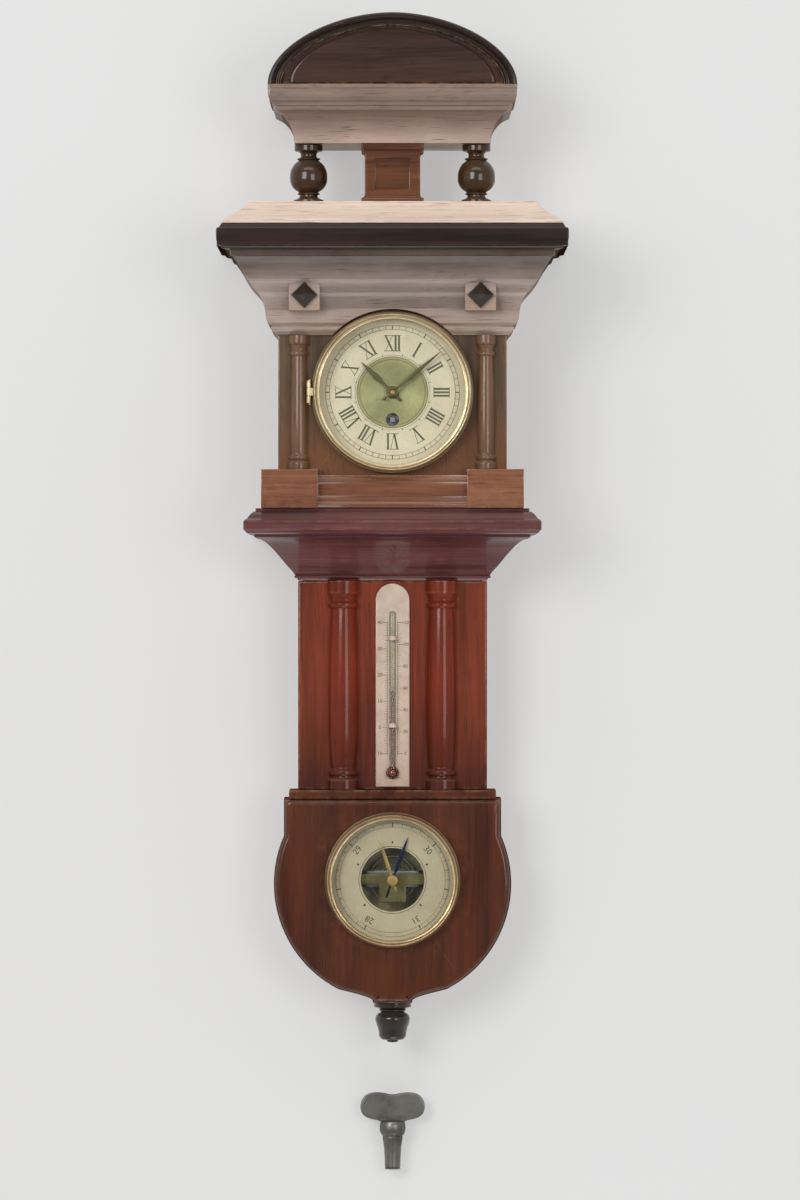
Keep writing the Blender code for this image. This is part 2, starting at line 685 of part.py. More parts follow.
def half_round(shares, radius, bottom, top, x, wall):
    """A turned half-column whose flat back stands against the plane y = wall."""
    height = top - bottom
    full = turned(turned_outline(shares, radius, bottom, height), ROUND_TURNED, (x, wall))
    behind = block(
        (x - radius - CUT_PAST, wall, bottom - CUT_PAST),
        (x + radius + CUT_PAST, wall + radius + CUT_PAST, top + CUT_PAST),
    )
    return cut(full, behind)


def chamfered(outline, back, front, chamfer):
    """A prism whose front edge is cut back all round."""
    shape = prism(outline, back, front + chamfer)
    editing = bmesh.new()
    editing.from_mesh(shape.data)
    face = min(editing.faces, key=lambda item: item.calc_center_median().y)
    bmesh.ops.inset_region(editing, faces=[face], thickness=chamfer, depth=chamfer)
    editing.to_mesh(shape.data)
    editing.free()
    return shape


def prism_upright(outline, low, high):
    """An outline of (x, y) points, carried from z = low to z = high."""
    shape = prism(outline, low, high)
    editing = bmesh.new()
    editing.from_mesh(shape.data)
    for point in editing.verts:
        x, y, z = point.co
        point.co = (x, z, y)
    face_outwards(editing)
    editing.to_mesh(shape.data)
    editing.free()
    return shape


def back_board(wood):
    """One board behind box, trunk and housing, with a pocket behind the hanger's hole."""
    box_side = BOX_HALF_WIDTH - BACK_EDGE
    trunk_side = TRUNK_HALF_WIDTH - BACK_EDGE
    right = [(box_side, BOX_TOP), (box_side, BOX_BOTTOM), (trunk_side, LOWER_CORNICE_TOP)]
    right += [(x - BACK_EDGE, z) for x, z in housing_outline_right()]
    board = prism(mirrored(right), 0, BACK_FRONT)
    recess = block(
        (-HANGER_WIDTH / 2 - GAP, -HANGER_THICKNESS - GAP, HANGER_BOTTOM - GAP),
        (HANGER_WIDTH / 2 + GAP, CUT_PAST, HANGER_TOP + GAP),
    )
    pocket = block(
        (-HANGER_HOLE_RADIUS, -HANGER_POCKET_DEPTH, -HANGER_HOLE_RADIUS),
        (HANGER_HOLE_RADIUS, CUT_PAST, HANGER_SLOT_RISE + HANGER_HOLE_RADIUS),
    )
    holes = [
        rod(SCREW_RADIUS + GAP, -SCREW_LENGTH - GAP, CUT_PAST, (x, SCREW_Z)) for x in (-SCREW_X, SCREW_X)
    ]
    return piece("back_board", cut(board, recess, pocket, *holes), wood)


def box_shell(wood):
    """Sides, top and floor of the box that holds the movement, open to the front and back."""
    outer = block((-BOX_HALF_WIDTH, BOX_BACK, BOX_BOTTOM), (BOX_HALF_WIDTH, BOX_FRONT, BOX_TOP))
    side = BOX_HALF_WIDTH - BOX_WALL
    inside = block(
        (-side, BOX_BACK + CUT_PAST, BOX_BOTTOM + BOX_WALL),
        (side, BOX_FRONT - CUT_PAST, BOX_TOP - BOX_WALL),
    )
    return piece("box_shell", cut(outer, inside), wood)


def front_board(wood):
    """The board that closes the box, with the round opening for the dial pan."""
    board = block(
        (-BOX_HALF_WIDTH, BOARD_BACK, BOX_BOTTOM), (BOX_HALF_WIDTH, BOARD_FRONT, BOX_TOP)
    )
    opening = rod(DIAL_BORE, BOARD_BACK + CUT_PAST, BOARD_FRONT - CUT_PAST, (0, DIAL_Z), ROUND_FINE)
    return piece("front_board", cut(board, opening), wood)


def box_space(low, high):
    """What a moulding leaves free for the box and its front board."""
    side = BOX_HALF_WIDTH + GAP
    return block((-side, CUT_PAST, low), (side, BOARD_FRONT - GAP, high))


def upper_cornice(wood):
    """Corona and cove in one moulding, with flat places for the bosses and room for the bezel."""
    low = BOX_TOP - COVE_HEIGHT
    levels = moulding(COVE_SHARES, low, COVE_HEIGHT, CORNICE_REACH, BOX_HALF_WIDTH, BOARD_FRONT)
    levels += moulding(
        CORONA_SHARES, BOX_TOP, CORONA_HEIGHT, CORNICE_REACH, BOX_HALF_WIDTH, BOARD_FRONT
    )
    shape = stacked(levels, -WALL_GAP)
    seats = [
        block(
            (side * BOSS_X - BOSS_SEAT, BOARD_FRONT - CUT_PAST, BOSS_Z - BOSS_SEAT),
            (side * BOSS_X + BOSS_SEAT, BOSS_BACK + GAP, BOSS_Z + BOSS_SEAT),
        )
        for side in (-1, 1)
    ]
    shape = joined(shape, *seats)
    bezel_room = rod(
        BEZEL_RADIUS + BEZEL_SIDE_GAP, BOARD_FRONT + CUT_PAST, BOARD_FRONT - CORNICE_REACH,
        (0, DIAL_Z), ROUND_FINE,
    )
    shape = cut(shape, box_space(low - CUT_PAST, BOX_TOP + GAP), bezel_room)
    return piece("upper_cornice", shape, wood)


def cornice_slope(wood):
    """The pale sloping board on top of the cornice."""
    levels = moulding(
        SLOPE_SHARES, CORNICE_TOP + GAP, SLOPE_HEIGHT, CORNICE_REACH - SLOPE_INSET,
        BOX_HALF_WIDTH, BOARD_FRONT,
    )
    return piece("cornice_slope", stacked(levels, -WALL_GAP), wood)


def gallery(block_wood, column_wood):
    """The block and the two turned columns that carry the hood."""
    bottom = SLOPE_TOP + GAP
    height = GALLERY_HEIGHT
    front = -HOOD_DEPTH + GALLERY_BLOCK_STEP + GAP
    back = front + GALLERY_BLOCK_DEPTH
    levels = moulding(
        BLOCK_STEP_SHARES, bottom, height, GALLERY_BLOCK_STEP, GALLERY_BLOCK_HALF_WIDTH, front
    )
    piece("gallery_block", stacked(levels, back), block_wood)
    for side, name in SIDES:
        outline = turned_outline(GALLERY_COLUMN_SHARES, GALLERY_COLUMN_RADIUS, bottom, height)
        centre = (side * GALLERY_COLUMN_X, -HOOD_DEPTH + GALLERY_COLUMN_SETBACK)
        piece(f"gallery_column_{name}", turned(outline, ROUND_TURNED, centre), column_wood)


def superellipse(half_width, rise, floor):
    """The arch's outline from its right foot over the top to its left foot."""
    points = []
    for step in range(ARCH_STEPS + 1):
        turn = math.pi * step / ARCH_STEPS
        across, up = math.cos(turn), abs(math.sin(turn))
        x = half_width * math.copysign(abs(across) ** (2 / ARCH_POWER), across)
        points.append((x, floor + rise * up ** (2 / ARCH_POWER) if 0 < step < ARCH_STEPS else floor))
    return points


def hood(wood, panel_wood):
    """Moulding over the gallery, the arched roof on it and the panel that fills its front."""
    levels = moulding(
        HOOD_SHARES, GALLERY_TOP + GAP, HOOD_HEIGHT, HOOD_REACH, HOOD_HALF_WIDTH, -HOOD_DEPTH
    )
    piece("hood_cornice", stacked(levels, -WALL_GAP), wood)
    floor = HOOD_TOP + GAP
    outer_half = HOOD_HALF_WIDTH + HOOD_REACH
    inner_half = outer_half - ARCH_THICKNESS
    inner_rise = ARCH_RISE - ARCH_THICKNESS
    outline = superellipse(outer_half, ARCH_RISE, floor)
    outline += superellipse(inner_half, inner_rise, floor)[::-1]
    piece("pediment_arch", prism(outline, -WALL_GAP, HOOD_FRONT), wood)
    panel = superellipse(inner_half - GAP, inner_rise - GAP, floor)
    front = HOOD_FRONT + TYMPANUM_RECESS
    piece("pediment_panel", prism(panel, front + TYMPANUM_THICKNESS, front), panel_wood)


def box_columns(wood, ebonised):
    """Half-columns beside the dial and the diamond bosses over them."""
    for side, name in SIDES:
        shape = half_round(
            BOX_COLUMN_SHARES, COLUMN_RADIUS, PLINTH_BLOCK_TOP + GAP,
            BOX_TOP - COVE_HEIGHT - GAP, side * COLUMN_X, BOARD_FRONT - GAP,
        )
        piece(f"box_column_{name}", shape, wood)
        boss = [(0, BOSS_BACK), (BOSS_SIZE, BOSS_BACK), (BOSS_SIZE, BOSS_BACK - BOSS_EDGE)]
        boss += [(0, BOSS_BACK - BOSS_DEPTH)]
        shape = turned_facing(boss, 4, (side * BOSS_X, BOSS_Z))
        piece(f"diamond_boss_{name}", shape, ebonised)


def plinth(wood):
    """Base moulding of the box, with a block under each column."""
    height = PLINTH_TOP - BOX_BOTTOM
    levels = moulding(PLINTH_SHARES, BOX_BOTTOM, height, PLINTH_REACH, BOX_HALF_WIDTH, BOARD_FRONT)
    shape = stacked(levels, -WALL_GAP)
    inner = COLUMN_X - PLINTH_BLOCK_HALF_WIDTH
    outer = BOX_HALF_WIDTH + PLINTH_REACH * PLINTH_SHARES[-2][1]
    front = BOARD_FRONT - PLINTH_REACH - PLINTH_BLOCK_REACH
    blocks = [
        block(
            (side * inner, -WALL_GAP, BOX_BOTTOM),
            (side * outer, front, PLINTH_BLOCK_TOP),
        )
        for side in (-1, 1)
    ]
    shape = joined(shape, *blocks)
    shape = cut(shape, box_space(BOX_BOTTOM - CUT_PAST, PLINTH_BLOCK_TOP + CUT_PAST))
    return piece("plinth", shape, wood)


def lower_cornice(wood):
    """The cornice under the box, whose cove runs in to the trunk."""
    side_run = BOX_HALF_WIDTH + LOWER_CORNICE_REACH - TRUNK_HALF_WIDTH
    front_run = TRUNK_FRONT - (BOARD_FRONT - LOWER_CORNICE_REACH)
    bottom = LOWER_CORNICE_TOP - LOWER_CORNICE_HEIGHT
    levels = [
        (
            bottom + LOWER_CORNICE_HEIGHT * up,
            TRUNK_HALF_WIDTH + side_run * out,
            TRUNK_FRONT - front_run * out,
        )
        for up, out in LOWER_CORNICE_SHARES
    ]
    shape = stacked(levels, BACK_FRONT - GAP)
    return piece("lower_cornice", shape, wood)


def trunk(wood, column_wood):
    """The shallow case behind the thermometer and its two half-columns."""
    shape = block(
        (-TRUNK_HALF_WIDTH, BACK_FRONT - GAP, TRUNK_BOTTOM), (TRUNK_HALF_WIDTH, TRUNK_FRONT, TRUNK_TOP)
    )
    inside = block(
        (-TRUNK_HALF_WIDTH + BOX_WALL, BACK_FRONT + CUT_PAST, TRUNK_BOTTOM + BOX_WALL),
        (TRUNK_HALF_WIDTH - BOX_WALL, TRUNK_FRONT + BOX_WALL, TRUNK_TOP - BOX_WALL),
    )
    piece("trunk_case", cut(shape, inside), wood)
    for side, name in SIDES:
        shape = half_round(
            TRUNK_COLUMN_SHARES, TRUNK_COLUMN_RADIUS, TRUNK_BOTTOM, TRUNK_TOP,
            side * TRUNK_COLUMN_X, TRUNK_FRONT - GAP,
        )
        piece(f"trunk_column_{name}", shape, column_wood)


def housing_outline_right():
    """Right half of the barometer housing: a shoulder, a round side and a flare into the pendant."""
    centre = (0, BAROMETER_Z - HOUSING_ARC_DROP)
    shoulder = HOUSING_HALF_WIDTH * SHOULDER_SHARE
    ledge = HOUSING_HALF_WIDTH * LEDGE_SHARE
    start = math.acos(shoulder / HOUSING_HALF_WIDTH)
    points = [(ledge, HOUSING_TOP), (ledge, HOUSING_TOP - LEDGE_HEIGHT)]
    points += [(shoulder, HOUSING_TOP - LEDGE_HEIGHT - LEDGE_STEP)]
    points += arc(centre, HOUSING_HALF_WIDTH, start, HOUSING_ARC_END, HOUSING_ARC_STEPS)
    x_end, z_end = points[-1]
    drop = z_end - HOUSING_BOTTOM
    points += [(x_end * out, HOUSING_BOTTOM + drop * up) for out, up in FLARE_SHARES]
    return points


def barometer_housing(wood):
    """The round case of the barometer, bored from the front for the pan."""
    shape = chamfered(mirrored(housing_outline_right()), HOUSING_BACK, HOUSING_FRONT, HOUSING_EDGE)
    bore = rod(
        BAROMETER_BORE, HOUSING_FRONT + BAROMETER_PAN_DEPTH + GAP, HOUSING_FRONT - CUT_PAST,
        (0, BAROMETER_Z), ROUND_FINE,
    )
    return piece("barometer_housing", cut(shape, bore), wood)


def pendant_finial(ebonised):
    """The turned drop under the housing."""
    top = HOUSING_BOTTOM - GAP
    outline = turned_outline(FINIAL_SHARES, FINIAL_RADIUS, top - FINIAL_HEIGHT, FINIAL_HEIGHT)
    shape = turned(outline, ROUND_TURNED, (0, HOUSING_BACK - HOUSING_DEPTH / 2))
    return piece("pendant_finial", shape, ebonised)


def hanger(brass, steel):
    """The keyhole plate let into the back board, and its two screws."""
    back, front = 0, -HANGER_THICKNESS
    plate = block((-HANGER_WIDTH / 2, front, HANGER_BOTTOM), (HANGER_WIDTH / 2, back, HANGER_TOP))
    hole = rod(HANGER_HOLE_RADIUS, CUT_PAST, front - CUT_PAST, (0, 0), ROUND_MEDIUM)
    slot = block(
        (-HANGER_SLOT_RADIUS, front - CUT_PAST, 0), (HANGER_SLOT_RADIUS, CUT_PAST, HANGER_SLOT_RISE)
    )
    screw_holes = [
        rod(SCREW_RADIUS + GAP, CUT_PAST, front - CUT_PAST, (x, SCREW_Z)) for x in (-SCREW_X, SCREW_X)
    ]
    sinks = [
        rod(SCREW_HEAD_RADIUS + GAP, CUT_PAST, -SCREW_HEAD_HEIGHT - GAP, (x, SCREW_Z))
        for x in (-SCREW_X, SCREW_X)
    ]
    piece("hanger_plate", cut(plate, hole, slot, *screw_holes, *sinks), brass)
    for side, name in SIDES:
        head = -SCREW_HEAD_HEIGHT
        outline = [(0, 0), (SCREW_HEAD_RADIUS, 0), (SCREW_HEAD_RADIUS, head)]
        outline += [(SCREW_RADIUS, head), (SCREW_RADIUS, -SCREW_LENGTH), (0, -SCREW_LENGTH)]
        shape = turned_facing(outline, ROUND_SMALL, (side * SCREW_X, SCREW_Z))
        piece(f"hanger_screw_{name}", shape, steel)


def thermometer(brass, glass):
    """The plate with its two straps, and the tube whose bulb sits in a hole of the plate."""
    front = PLATE_FRONT
    half = THERMOMETER_WIDTH / 2
    outline = [(half, THERMOMETER_BOTTOM), (-half, THERMOMETER_BOTTOM)]
    outline += arc((0, THERMOMETER_TOP - half), half, math.pi, 0, ROUND_SMALL)
    shape = prism(outline, front + THERMOMETER_THICKNESS, front)
    bulb_z = THERMOMETER_BOTTOM + TUBE_MARGIN
    tube_top = THERMOMETER_TOP - half - TUBE_MARGIN
    straps = []
    for share in STRAP_SHARES:
        z = bulb_z + (tube_top - bulb_z) * share
        side = TUBE_RADIUS + GAP + STRAP_THICKNESS
        outer = block(
            (-side, TUBE_Y - side, z - STRAP_WIDTH / 2), (side, front + STRAP_THICKNESS, z + STRAP_WIDTH / 2)
        )
        straps.append(outer)
    shape = joined(shape, *straps)
    way = [(0, bulb_z), (TUBE_RADIUS + GAP, bulb_z), (TUBE_RADIUS + GAP, tube_top + CUT_PAST)]
    way += [(0, tube_top + CUT_PAST)]
    bore = turned(way, ROUND_SMALL, (0, TUBE_Y))
    hole = rod(
        BULB_RADIUS + GAP, front + THERMOMETER_THICKNESS + CUT_PAST, front - CUT_PAST, (0, bulb_z),
        ROUND_TURNED,
    )
    piece("thermometer_plate", cut(shape, bore, hole), brass)
    bulb = arc((0, bulb_z), BULB_RADIUS, -math.pi / 2, BULB_NECK, BULB_STEPS)
    outline = [(0, bulb[0][1])] + bulb[1:]
    outline += [(TUBE_RADIUS, bulb_z + BULB_RADIUS), (TUBE_RADIUS, tube_top), (0, tube_top + TUBE_RADIUS)]
    piece("thermometer_tube", turned(outline, ROUND_SMALL, (0, TUBE_Y)), glass)


def cup(wall_radius, flange_radius, thickness, back, seat, bore=0.0):
    """A round pan: its floor at the back, its wall, and a flange in front of the wood."""
    inner = wall_radius - thickness
    front = seat - thickness
    outline = [(bore, back), (wall_radius, back), (wall_radius, seat), (flange_radius, seat)]
    outline += [(flange_radius, front), (inner, front), (inner, back - thickness)]
    return outline + [(bore, back - thickness)]


def bezel_ring(radius, rim, back, front, glass_radius, glass_back, glass_front):
    """A turned rim with a groove that holds the edge of the glass."""
    lip = radius - rim
    crown = back + (front - back) * CROWN_SHARE
    groove = glass_radius + GAP
    return [
        (lip, back), (radius, back), (radius, crown), (radius - rim * SHOULDER_RIM_SHARE, front),
        (lip + rim * SHOULDER_RIM_SHARE, front), (lip, glass_front - GAP), (groove, glass_front - GAP),
        (groove, glass_back + GAP), (lip, glass_back + GAP),
    ]


def hand_outline(length, tail, width, boss):
    """A pointed hand that lies along +z, with a round boss and a short tail."""
    half = width / 2
    right = [(0, length), (half * TIP_SHARE, length * POINT_SHARE), (half, length * BELLY_SHARE)]
    right += [(half * NECK_SHARE, length * NECK_PLACE_SHARE)]
    right += arc((0, 0), boss, BOSS_TOP_ANGLE, -BOSS_TOP_ANGLE, HAND_BOSS_STEPS)
    right += [(half * NECK_SHARE, -tail)]
    return mirrored(right)


def barometer_pan(brass):
    centre = (0, BAROMETER_Z)
    outline = cup(BAROMETER_PAN_RADIUS, BAROMETER_FLANGE, PAN_THICKNESS, BAROMETER_FLOOR,
                  HOUSING_FRONT - GAP)
    return piece("barometer_pan", turned_facing(outline, ROUND_FINE, centre), brass)


def barometer_face(ivory, brass, glass):
    """Dial ring with its open centre, bezel and glass."""
    centre = (0, BAROMETER_Z)
    shape = ring(
        BAROMETER_RING_INNER, BAROMETER_RING_OUTER, BAROMETER_RING_FRONT + DIAL_THICKNESS,
        BAROMETER_RING_FRONT, centre,
    )
    piece("barometer_dial", shape, ivory)
    glass_radius = BAROMETER_BEZEL_RADIUS - BAROMETER_BEZEL_RIM * GLASS_IN_RIM_SHARE
    outline = bezel_ring(
        BAROMETER_BEZEL_RADIUS, BAROMETER_BEZEL_RIM, BAROMETER_BEZEL_BACK, BAROMETER_BEZEL_FRONT,
        glass_radius, BAROMETER_GLASS_FRONT + GLASS_THICKNESS, BAROMETER_GLASS_FRONT,
    )
    piece("barometer_bezel", turned_facing(outline, ROUND_FINE, centre, closed=True), brass)
    shape = ring(
        SET_STEM_RADIUS + GAP, glass_radius, BAROMETER_GLASS_FRONT + GLASS_THICKNESS,
        BAROMETER_GLASS_FRONT, centre,
    )
    piece("barometer_glass", shape, glass)


def aneroid(metal, steel, brass):
    """Capsule on its stud, the spring over it, the rocking lever and the bridge of the hand."""
    centre = (0, BAROMETER_Z)
    seat = BAROMETER_FLOOR - PAN_THICKNESS - GAP
    back = seat - CAPSULE_STEM
    front = back - CAPSULE_HEIGHT
    outline = [(0, seat), (CAPSULE_POST_RADIUS, seat), (CAPSULE_POST_RADIUS, back)]
    for share, depth in CORRUGATION_SHARES:
        outline.append((CAPSULE_RADIUS * share, back - CAPSULE_RIDGE * depth))
    outline += [(CAPSULE_RADIUS, back), (CAPSULE_RADIUS, front)]
    for share, depth in CORRUGATION_SHARES[::-1]:
        outline.append((CAPSULE_RADIUS * share, front + CAPSULE_RIDGE * depth))
    outline += [(CAPSULE_POST_RADIUS, front), (CAPSULE_POST_RADIUS, front - CAPSULE_STEM)]
    outline += [(0, front - CAPSULE_STEM)]
    piece("aneroid_capsule", turned_facing(outline, ROUND_MEDIUM, centre), metal)

    arch = front - CAPSULE_STEM - GAP
    foot = CAPSULE_RADIUS + SPRING_THICKNESS + SPRING_ARCH
    inner = foot - SPRING_THICKNESS
    spring = [
        (-foot - SPRING_FOOT, seat), (-foot - SPRING_FOOT, seat - SPRING_THICKNESS),
        (-foot, seat - SPRING_THICKNESS), (-foot, arch - SPRING_THICKNESS),
        (foot, arch - SPRING_THICKNESS), (foot, seat - SPRING_THICKNESS),
        (foot + SPRING_FOOT, seat - SPRING_THICKNESS), (foot + SPRING_FOOT, seat),
        (inner, seat), (inner, arch), (-inner, arch), (-inner, seat),
    ]
    low = BAROMETER_Z - SPRING_WIDTH / 2
    piece("capsule_spring", prism_upright(spring, low, low + SPRING_WIDTH), steel)

    half = BRIDGE_SPAN / 2
    reach = LEVER_DROP + LEVER_ARBOR_RADIUS + GAP + EAR_WALL
    outline = [
        (half, BRIDGE_WIDTH / 2), (half, -BRIDGE_WIDTH / 2), (EAR_OUTER, -BRIDGE_WIDTH / 2),
        (EAR_OUTER, -reach),
    ]
    shape = prism(
        [(x, BAROMETER_Z + z) for x, z in mirrored(outline)], BRIDGE_BACK, BRIDGE_BACK - BRIDGE_THICKNESS
    )
    added = []
    for side in (-1, 1):
        post = offset(centre, half - BRIDGE_POST_RADIUS - GAP, 0 if side > 0 else math.pi)
        added.append(rod(BRIDGE_POST_RADIUS, seat, BRIDGE_BACK - BRIDGE_THICKNESS / 2, post))
        ear_back = LEVER_Y + LEVER_ARBOR_RADIUS + EAR_WALL
        added.append(
            block(
                (side * (EAR_OUTER - EAR_WALL), BRIDGE_BACK - BRIDGE_THICKNESS / 2, BAROMETER_Z - reach),
                (side * EAR_OUTER, ear_back, LEVER_Z + EAR_RISE),
            )
        )
    shape = joined(shape, *added)
    hand_bore = rod(
        HAND_ARBOR_RADIUS + PIVOT_CLEARANCE, BRIDGE_BACK + CUT_PAST,
        BRIDGE_BACK - BRIDGE_THICKNESS - CUT_PAST, centre,
    )
    span = EAR_OUTER + CUT_PAST
    bore = crossbar(LEVER_ARBOR_RADIUS + PIVOT_CLEARANCE, span, LEVER_Y, LEVER_Z)
    piece("barometer_bridge", cut(shape, hand_bore, bore), brass)

    arm = block(
        (-LEVER_WIDTH / 2, LEVER_Y - LEVER_THICKNESS / 2, LEVER_Z),
        (LEVER_WIDTH / 2, LEVER_Y + LEVER_THICKNESS / 2, BAROMETER_Z - HAND_ARBOR_RADIUS - LEVER_SHORT),
    )
    shape = joined(crossbar(LEVER_ARBOR_RADIUS, EAR_OUTER, LEVER_Y, LEVER_Z), arm)
    piece("capsule_lever", shape, steel, (0, LEVER_Y, LEVER_Z))


def crossbar(radius, half_length, y, z):
    """A round bar along x."""
    shape = rod(radius, -half_length, half_length, (0, 0))
    shape.data.transform(Matrix.Translation((0, y, z)) @ Matrix.Rotation(-math.pi / 2, 4, "Z"))
    return shape


def barometer_hands(steel, brass):
    """The blued hand on its arbor, and the set hand, riveted to its knob through the glass."""
    centre = (0, BAROMETER_Z)
    pivot = (0, BAROMETER_HAND_FRONT, BAROMETER_Z)
    outline = hand_outline(BAROMETER_HAND_LENGTH, BAROMETER_TAIL, HAND_WIDTH, HAND_BOSS_RADIUS)
    outline = around(outline, centre, BAROMETER_HAND_ANGLE)
    shape = prism(outline, BAROMETER_HAND_FRONT + HAND_THICKNESS, BAROMETER_HAND_FRONT)
    arbor_back = BRIDGE_BACK + HAND_ARBOR_END
    arbor = rod(HAND_ARBOR_RADIUS, arbor_back, BAROMETER_HAND_FRONT + HAND_THICKNESS / 2, centre)
    piece("barometer_hand", joined(shape, arbor), steel, pivot)

    outline = hand_outline(SET_HAND_LENGTH, HAND_TAIL, HAND_WIDTH, HAND_BOSS_RADIUS)
    outline = around(outline, centre, SET_HAND_ANGLE)
    shape = prism(outline, SET_HAND_FRONT + HAND_THICKNESS, SET_HAND_FRONT)
    back = BAROMETER_GLASS_FRONT - GAP
    start = SET_HAND_FRONT + HAND_THICKNESS / 2
    profile = [(0, start), (SET_STEM_RADIUS, start), (SET_STEM_RADIUS, back)]
    profile += [(KNOB_RADIUS * out, back - KNOB_HEIGHT * up) for out, up in KNOB_SHARES]
    stem = turned_facing(profile, ROUND_TURNED, centre)
    piece("set_hand", joined(shape, stem), brass, (0, SET_HAND_FRONT, BAROMETER_Z))


def clock_face(brass, ivory, gilt, glass):
    """Dial pan, chapter ring, dial centre, hinge, and the bezel with its glass."""
    centre = (0, DIAL_Z)
    winding = offset(centre, GREAT_DISTANCE, BARREL_DIRECTION)
    outline = cup(PAN_WALL_RADIUS, BEZEL_RADIUS - PAN_FLANGE, PAN_THICKNESS,
                  PAN_FRONT + PAN_THICKNESS, BOARD_FRONT - GAP, PAN_BORE)
    pan = turned_facing(outline, ROUND_FINE, centre, closed=True)
    hole = rod(WINDING_HOLE, PAN_FRONT + CUT_PAST, PAN_FRONT - CUT_PAST, winding, ROUND_TURNED)
    piece("dial_pan", cut(pan, hole), brass)
    chapter = ring(CHAPTER_INNER, CHAPTER_RADIUS, CHAPTER_BACK, CHAPTER_FRONT, centre)
    piece("chapter_ring", chapter, ivory)
    middle = ring(PAN_BORE, CHAPTER_INNER - GAP, CHAPTER_BACK, CHAPTER_FRONT, centre)
    hole = rod(WINDING_HOLE, CHAPTER_BACK + CUT_PAST, CHAPTER_FRONT - CUT_PAST, winding, ROUND_TURNED)
    piece("dial_centre", cut(middle, hole), gilt)

    glass_radius = BEZEL_RADIUS - BEZEL_RIM * GLASS_IN_RIM_SHARE
    outline = bezel_ring(BEZEL_RADIUS, BEZEL_RIM, BEZEL_BACK, BEZEL_FRONT, glass_radius,
                         GLASS_BACK, GLASS_BACK - GLASS_THICKNESS)
    bezel = turned_facing(outline, ROUND_FINE, centre, closed=True)
    knuckle_low, knuckle_high = DIAL_Z - HINGE_LENGTH / 2, DIAL_Z + HINGE_LENGTH / 2
    third = HINGE_LENGTH / 3
    middle_low, middle_high = DIAL_Z - third / 2, DIAL_Z + third / 2
    axis = (HINGE_X, HINGE_Y)
    knuckle = arc(axis, HINGE_RADIUS, math.pi / 2, math.pi * 3 / 2, ROUND_SMALL // 2)
    knuckle += [(HINGE_X + HINGE_LAP, HINGE_Y - HINGE_RADIUS), (HINGE_X + HINGE_LAP, HINGE_Y + HINGE_RADIUS)]
    lug = prism_upright(knuckle, middle_low, middle_high)
    pin_room = upright_rod(HINGE_PIN_RADIUS + PIVOT_CLEARANCE, middle_low - CUT_PAST, middle_high + CUT_PAST)
    bezel = cut(joined(bezel, lug), pin_room)
    pivot = (HINGE_X, HINGE_Y, DIAL_Z)
    piece("clock_bezel", bezel, brass, pivot)
    pane = [(0, GLASS_BACK), (glass_radius, GLASS_BACK), (glass_radius, GLASS_BACK - GLASS_THICKNESS)]
    pane += [(0, GLASS_BACK - GLASS_THICKNESS)]
    piece("clock_glass", turned_facing(pane, ROUND_FINE, centre), glass, pivot)

    foot_back = BOARD_FRONT - GAP
    leg_right = HINGE_X + HINGE_RADIUS - GAP
    leg_left = leg_right - HINGE_LEG
    foot = block(
        (leg_left, foot_back - HINGE_LEAF, knuckle_low - HINGE_LEAF),
        (leg_right, foot_back, knuckle_high + HINGE_LEAF),
    )
    right_turn = math.acos((leg_right - HINGE_X) / HINGE_RADIUS)
    left_turn = math.acos((leg_left - HINGE_X) / HINGE_RADIUS)
    leg = arc(axis, HINGE_RADIUS, right_turn, left_turn - math.tau, ROUND_SMALL)
    leg += [(leg_left, foot_back - HINGE_LEAF / 2), (leg_right, foot_back - HINGE_LEAF / 2)]
    parts = [upright_rod(HINGE_PIN_RADIUS, knuckle_low + third / 2, knuckle_high - third / 2)]
    parts += [
        prism_upright(leg, knuckle_low, middle_low - GAP),
        prism_upright(leg, middle_high + GAP, knuckle_high),
    ]
    piece("bezel_hinge", joined(foot, *parts), brass)


def upright_rod(radius, low, high):
    """A round bar along z on the hinge's axis."""
    outline = [(0, low), (radius, low), (radius, high), (0, high)]
    return turned(outline, ROUND_SMALL, (HINGE_X, HINGE_Y))


def toothed(centre, teeth, module, first, shape_shares):
    """A gear's outline: each tooth has two root corners and two tip corners."""
    root_share, tip_share, above_share, below_share = shape_shares
    pitch_radius = teeth * module / 2
    pitch = math.tau / teeth
    points = []
    for tooth in range(teeth):
        middle = first + pitch * tooth
        root = pitch_radius - module * below_share
        tip = pitch_radius + module * above_share
        points.append(offset(centre, root, middle - pitch * root_share / 2))
        points.append(offset(centre, tip, middle - pitch * tip_share / 2))
        points.append(offset(centre, tip, middle + pitch * tip_share / 2))
        points.append(offset(centre, root, middle + pitch * root_share / 2))
    return points


def wheel(centre, teeth, module, first, back):
    outline = toothed(centre, teeth, module, first, WHEEL_TOOTH_SHARES)
    return prism(outline, back, back - WHEEL_THICKNESS)


def pinion(centre, teeth, module, first, wheel_back):
    """A pinion a little longer than the wheel that meshes with it."""
    outline = toothed(centre, teeth, module, first, PINION_TOOTH_SHARES)
    back = wheel_back + PINION_EXTRA
    return prism(outline, back, wheel_back - WHEEL_THICKNESS - PINION_EXTRA)


def pivoted_arbor(centre):
    """An arbor between the plates whose thin pivots run in both of them."""
    back, front = BACK_PLATE_FRONT - SHAKE, FRONT_PLATE_BACK + SHAKE
    outline = [(0, BACK_PLATE_BACK), (PIVOT_RADIUS, BACK_PLATE_BACK), (PIVOT_RADIUS, back)]
    outline += [(ARBOR_RADIUS, back), (ARBOR_RADIUS, front), (PIVOT_RADIUS, front)]
    outline += [(PIVOT_RADIUS, FRONT_PLATE_FRONT), (0, FRONT_PLATE_FRONT)]
    return turned_facing(outline, ROUND_SMALL, centre)


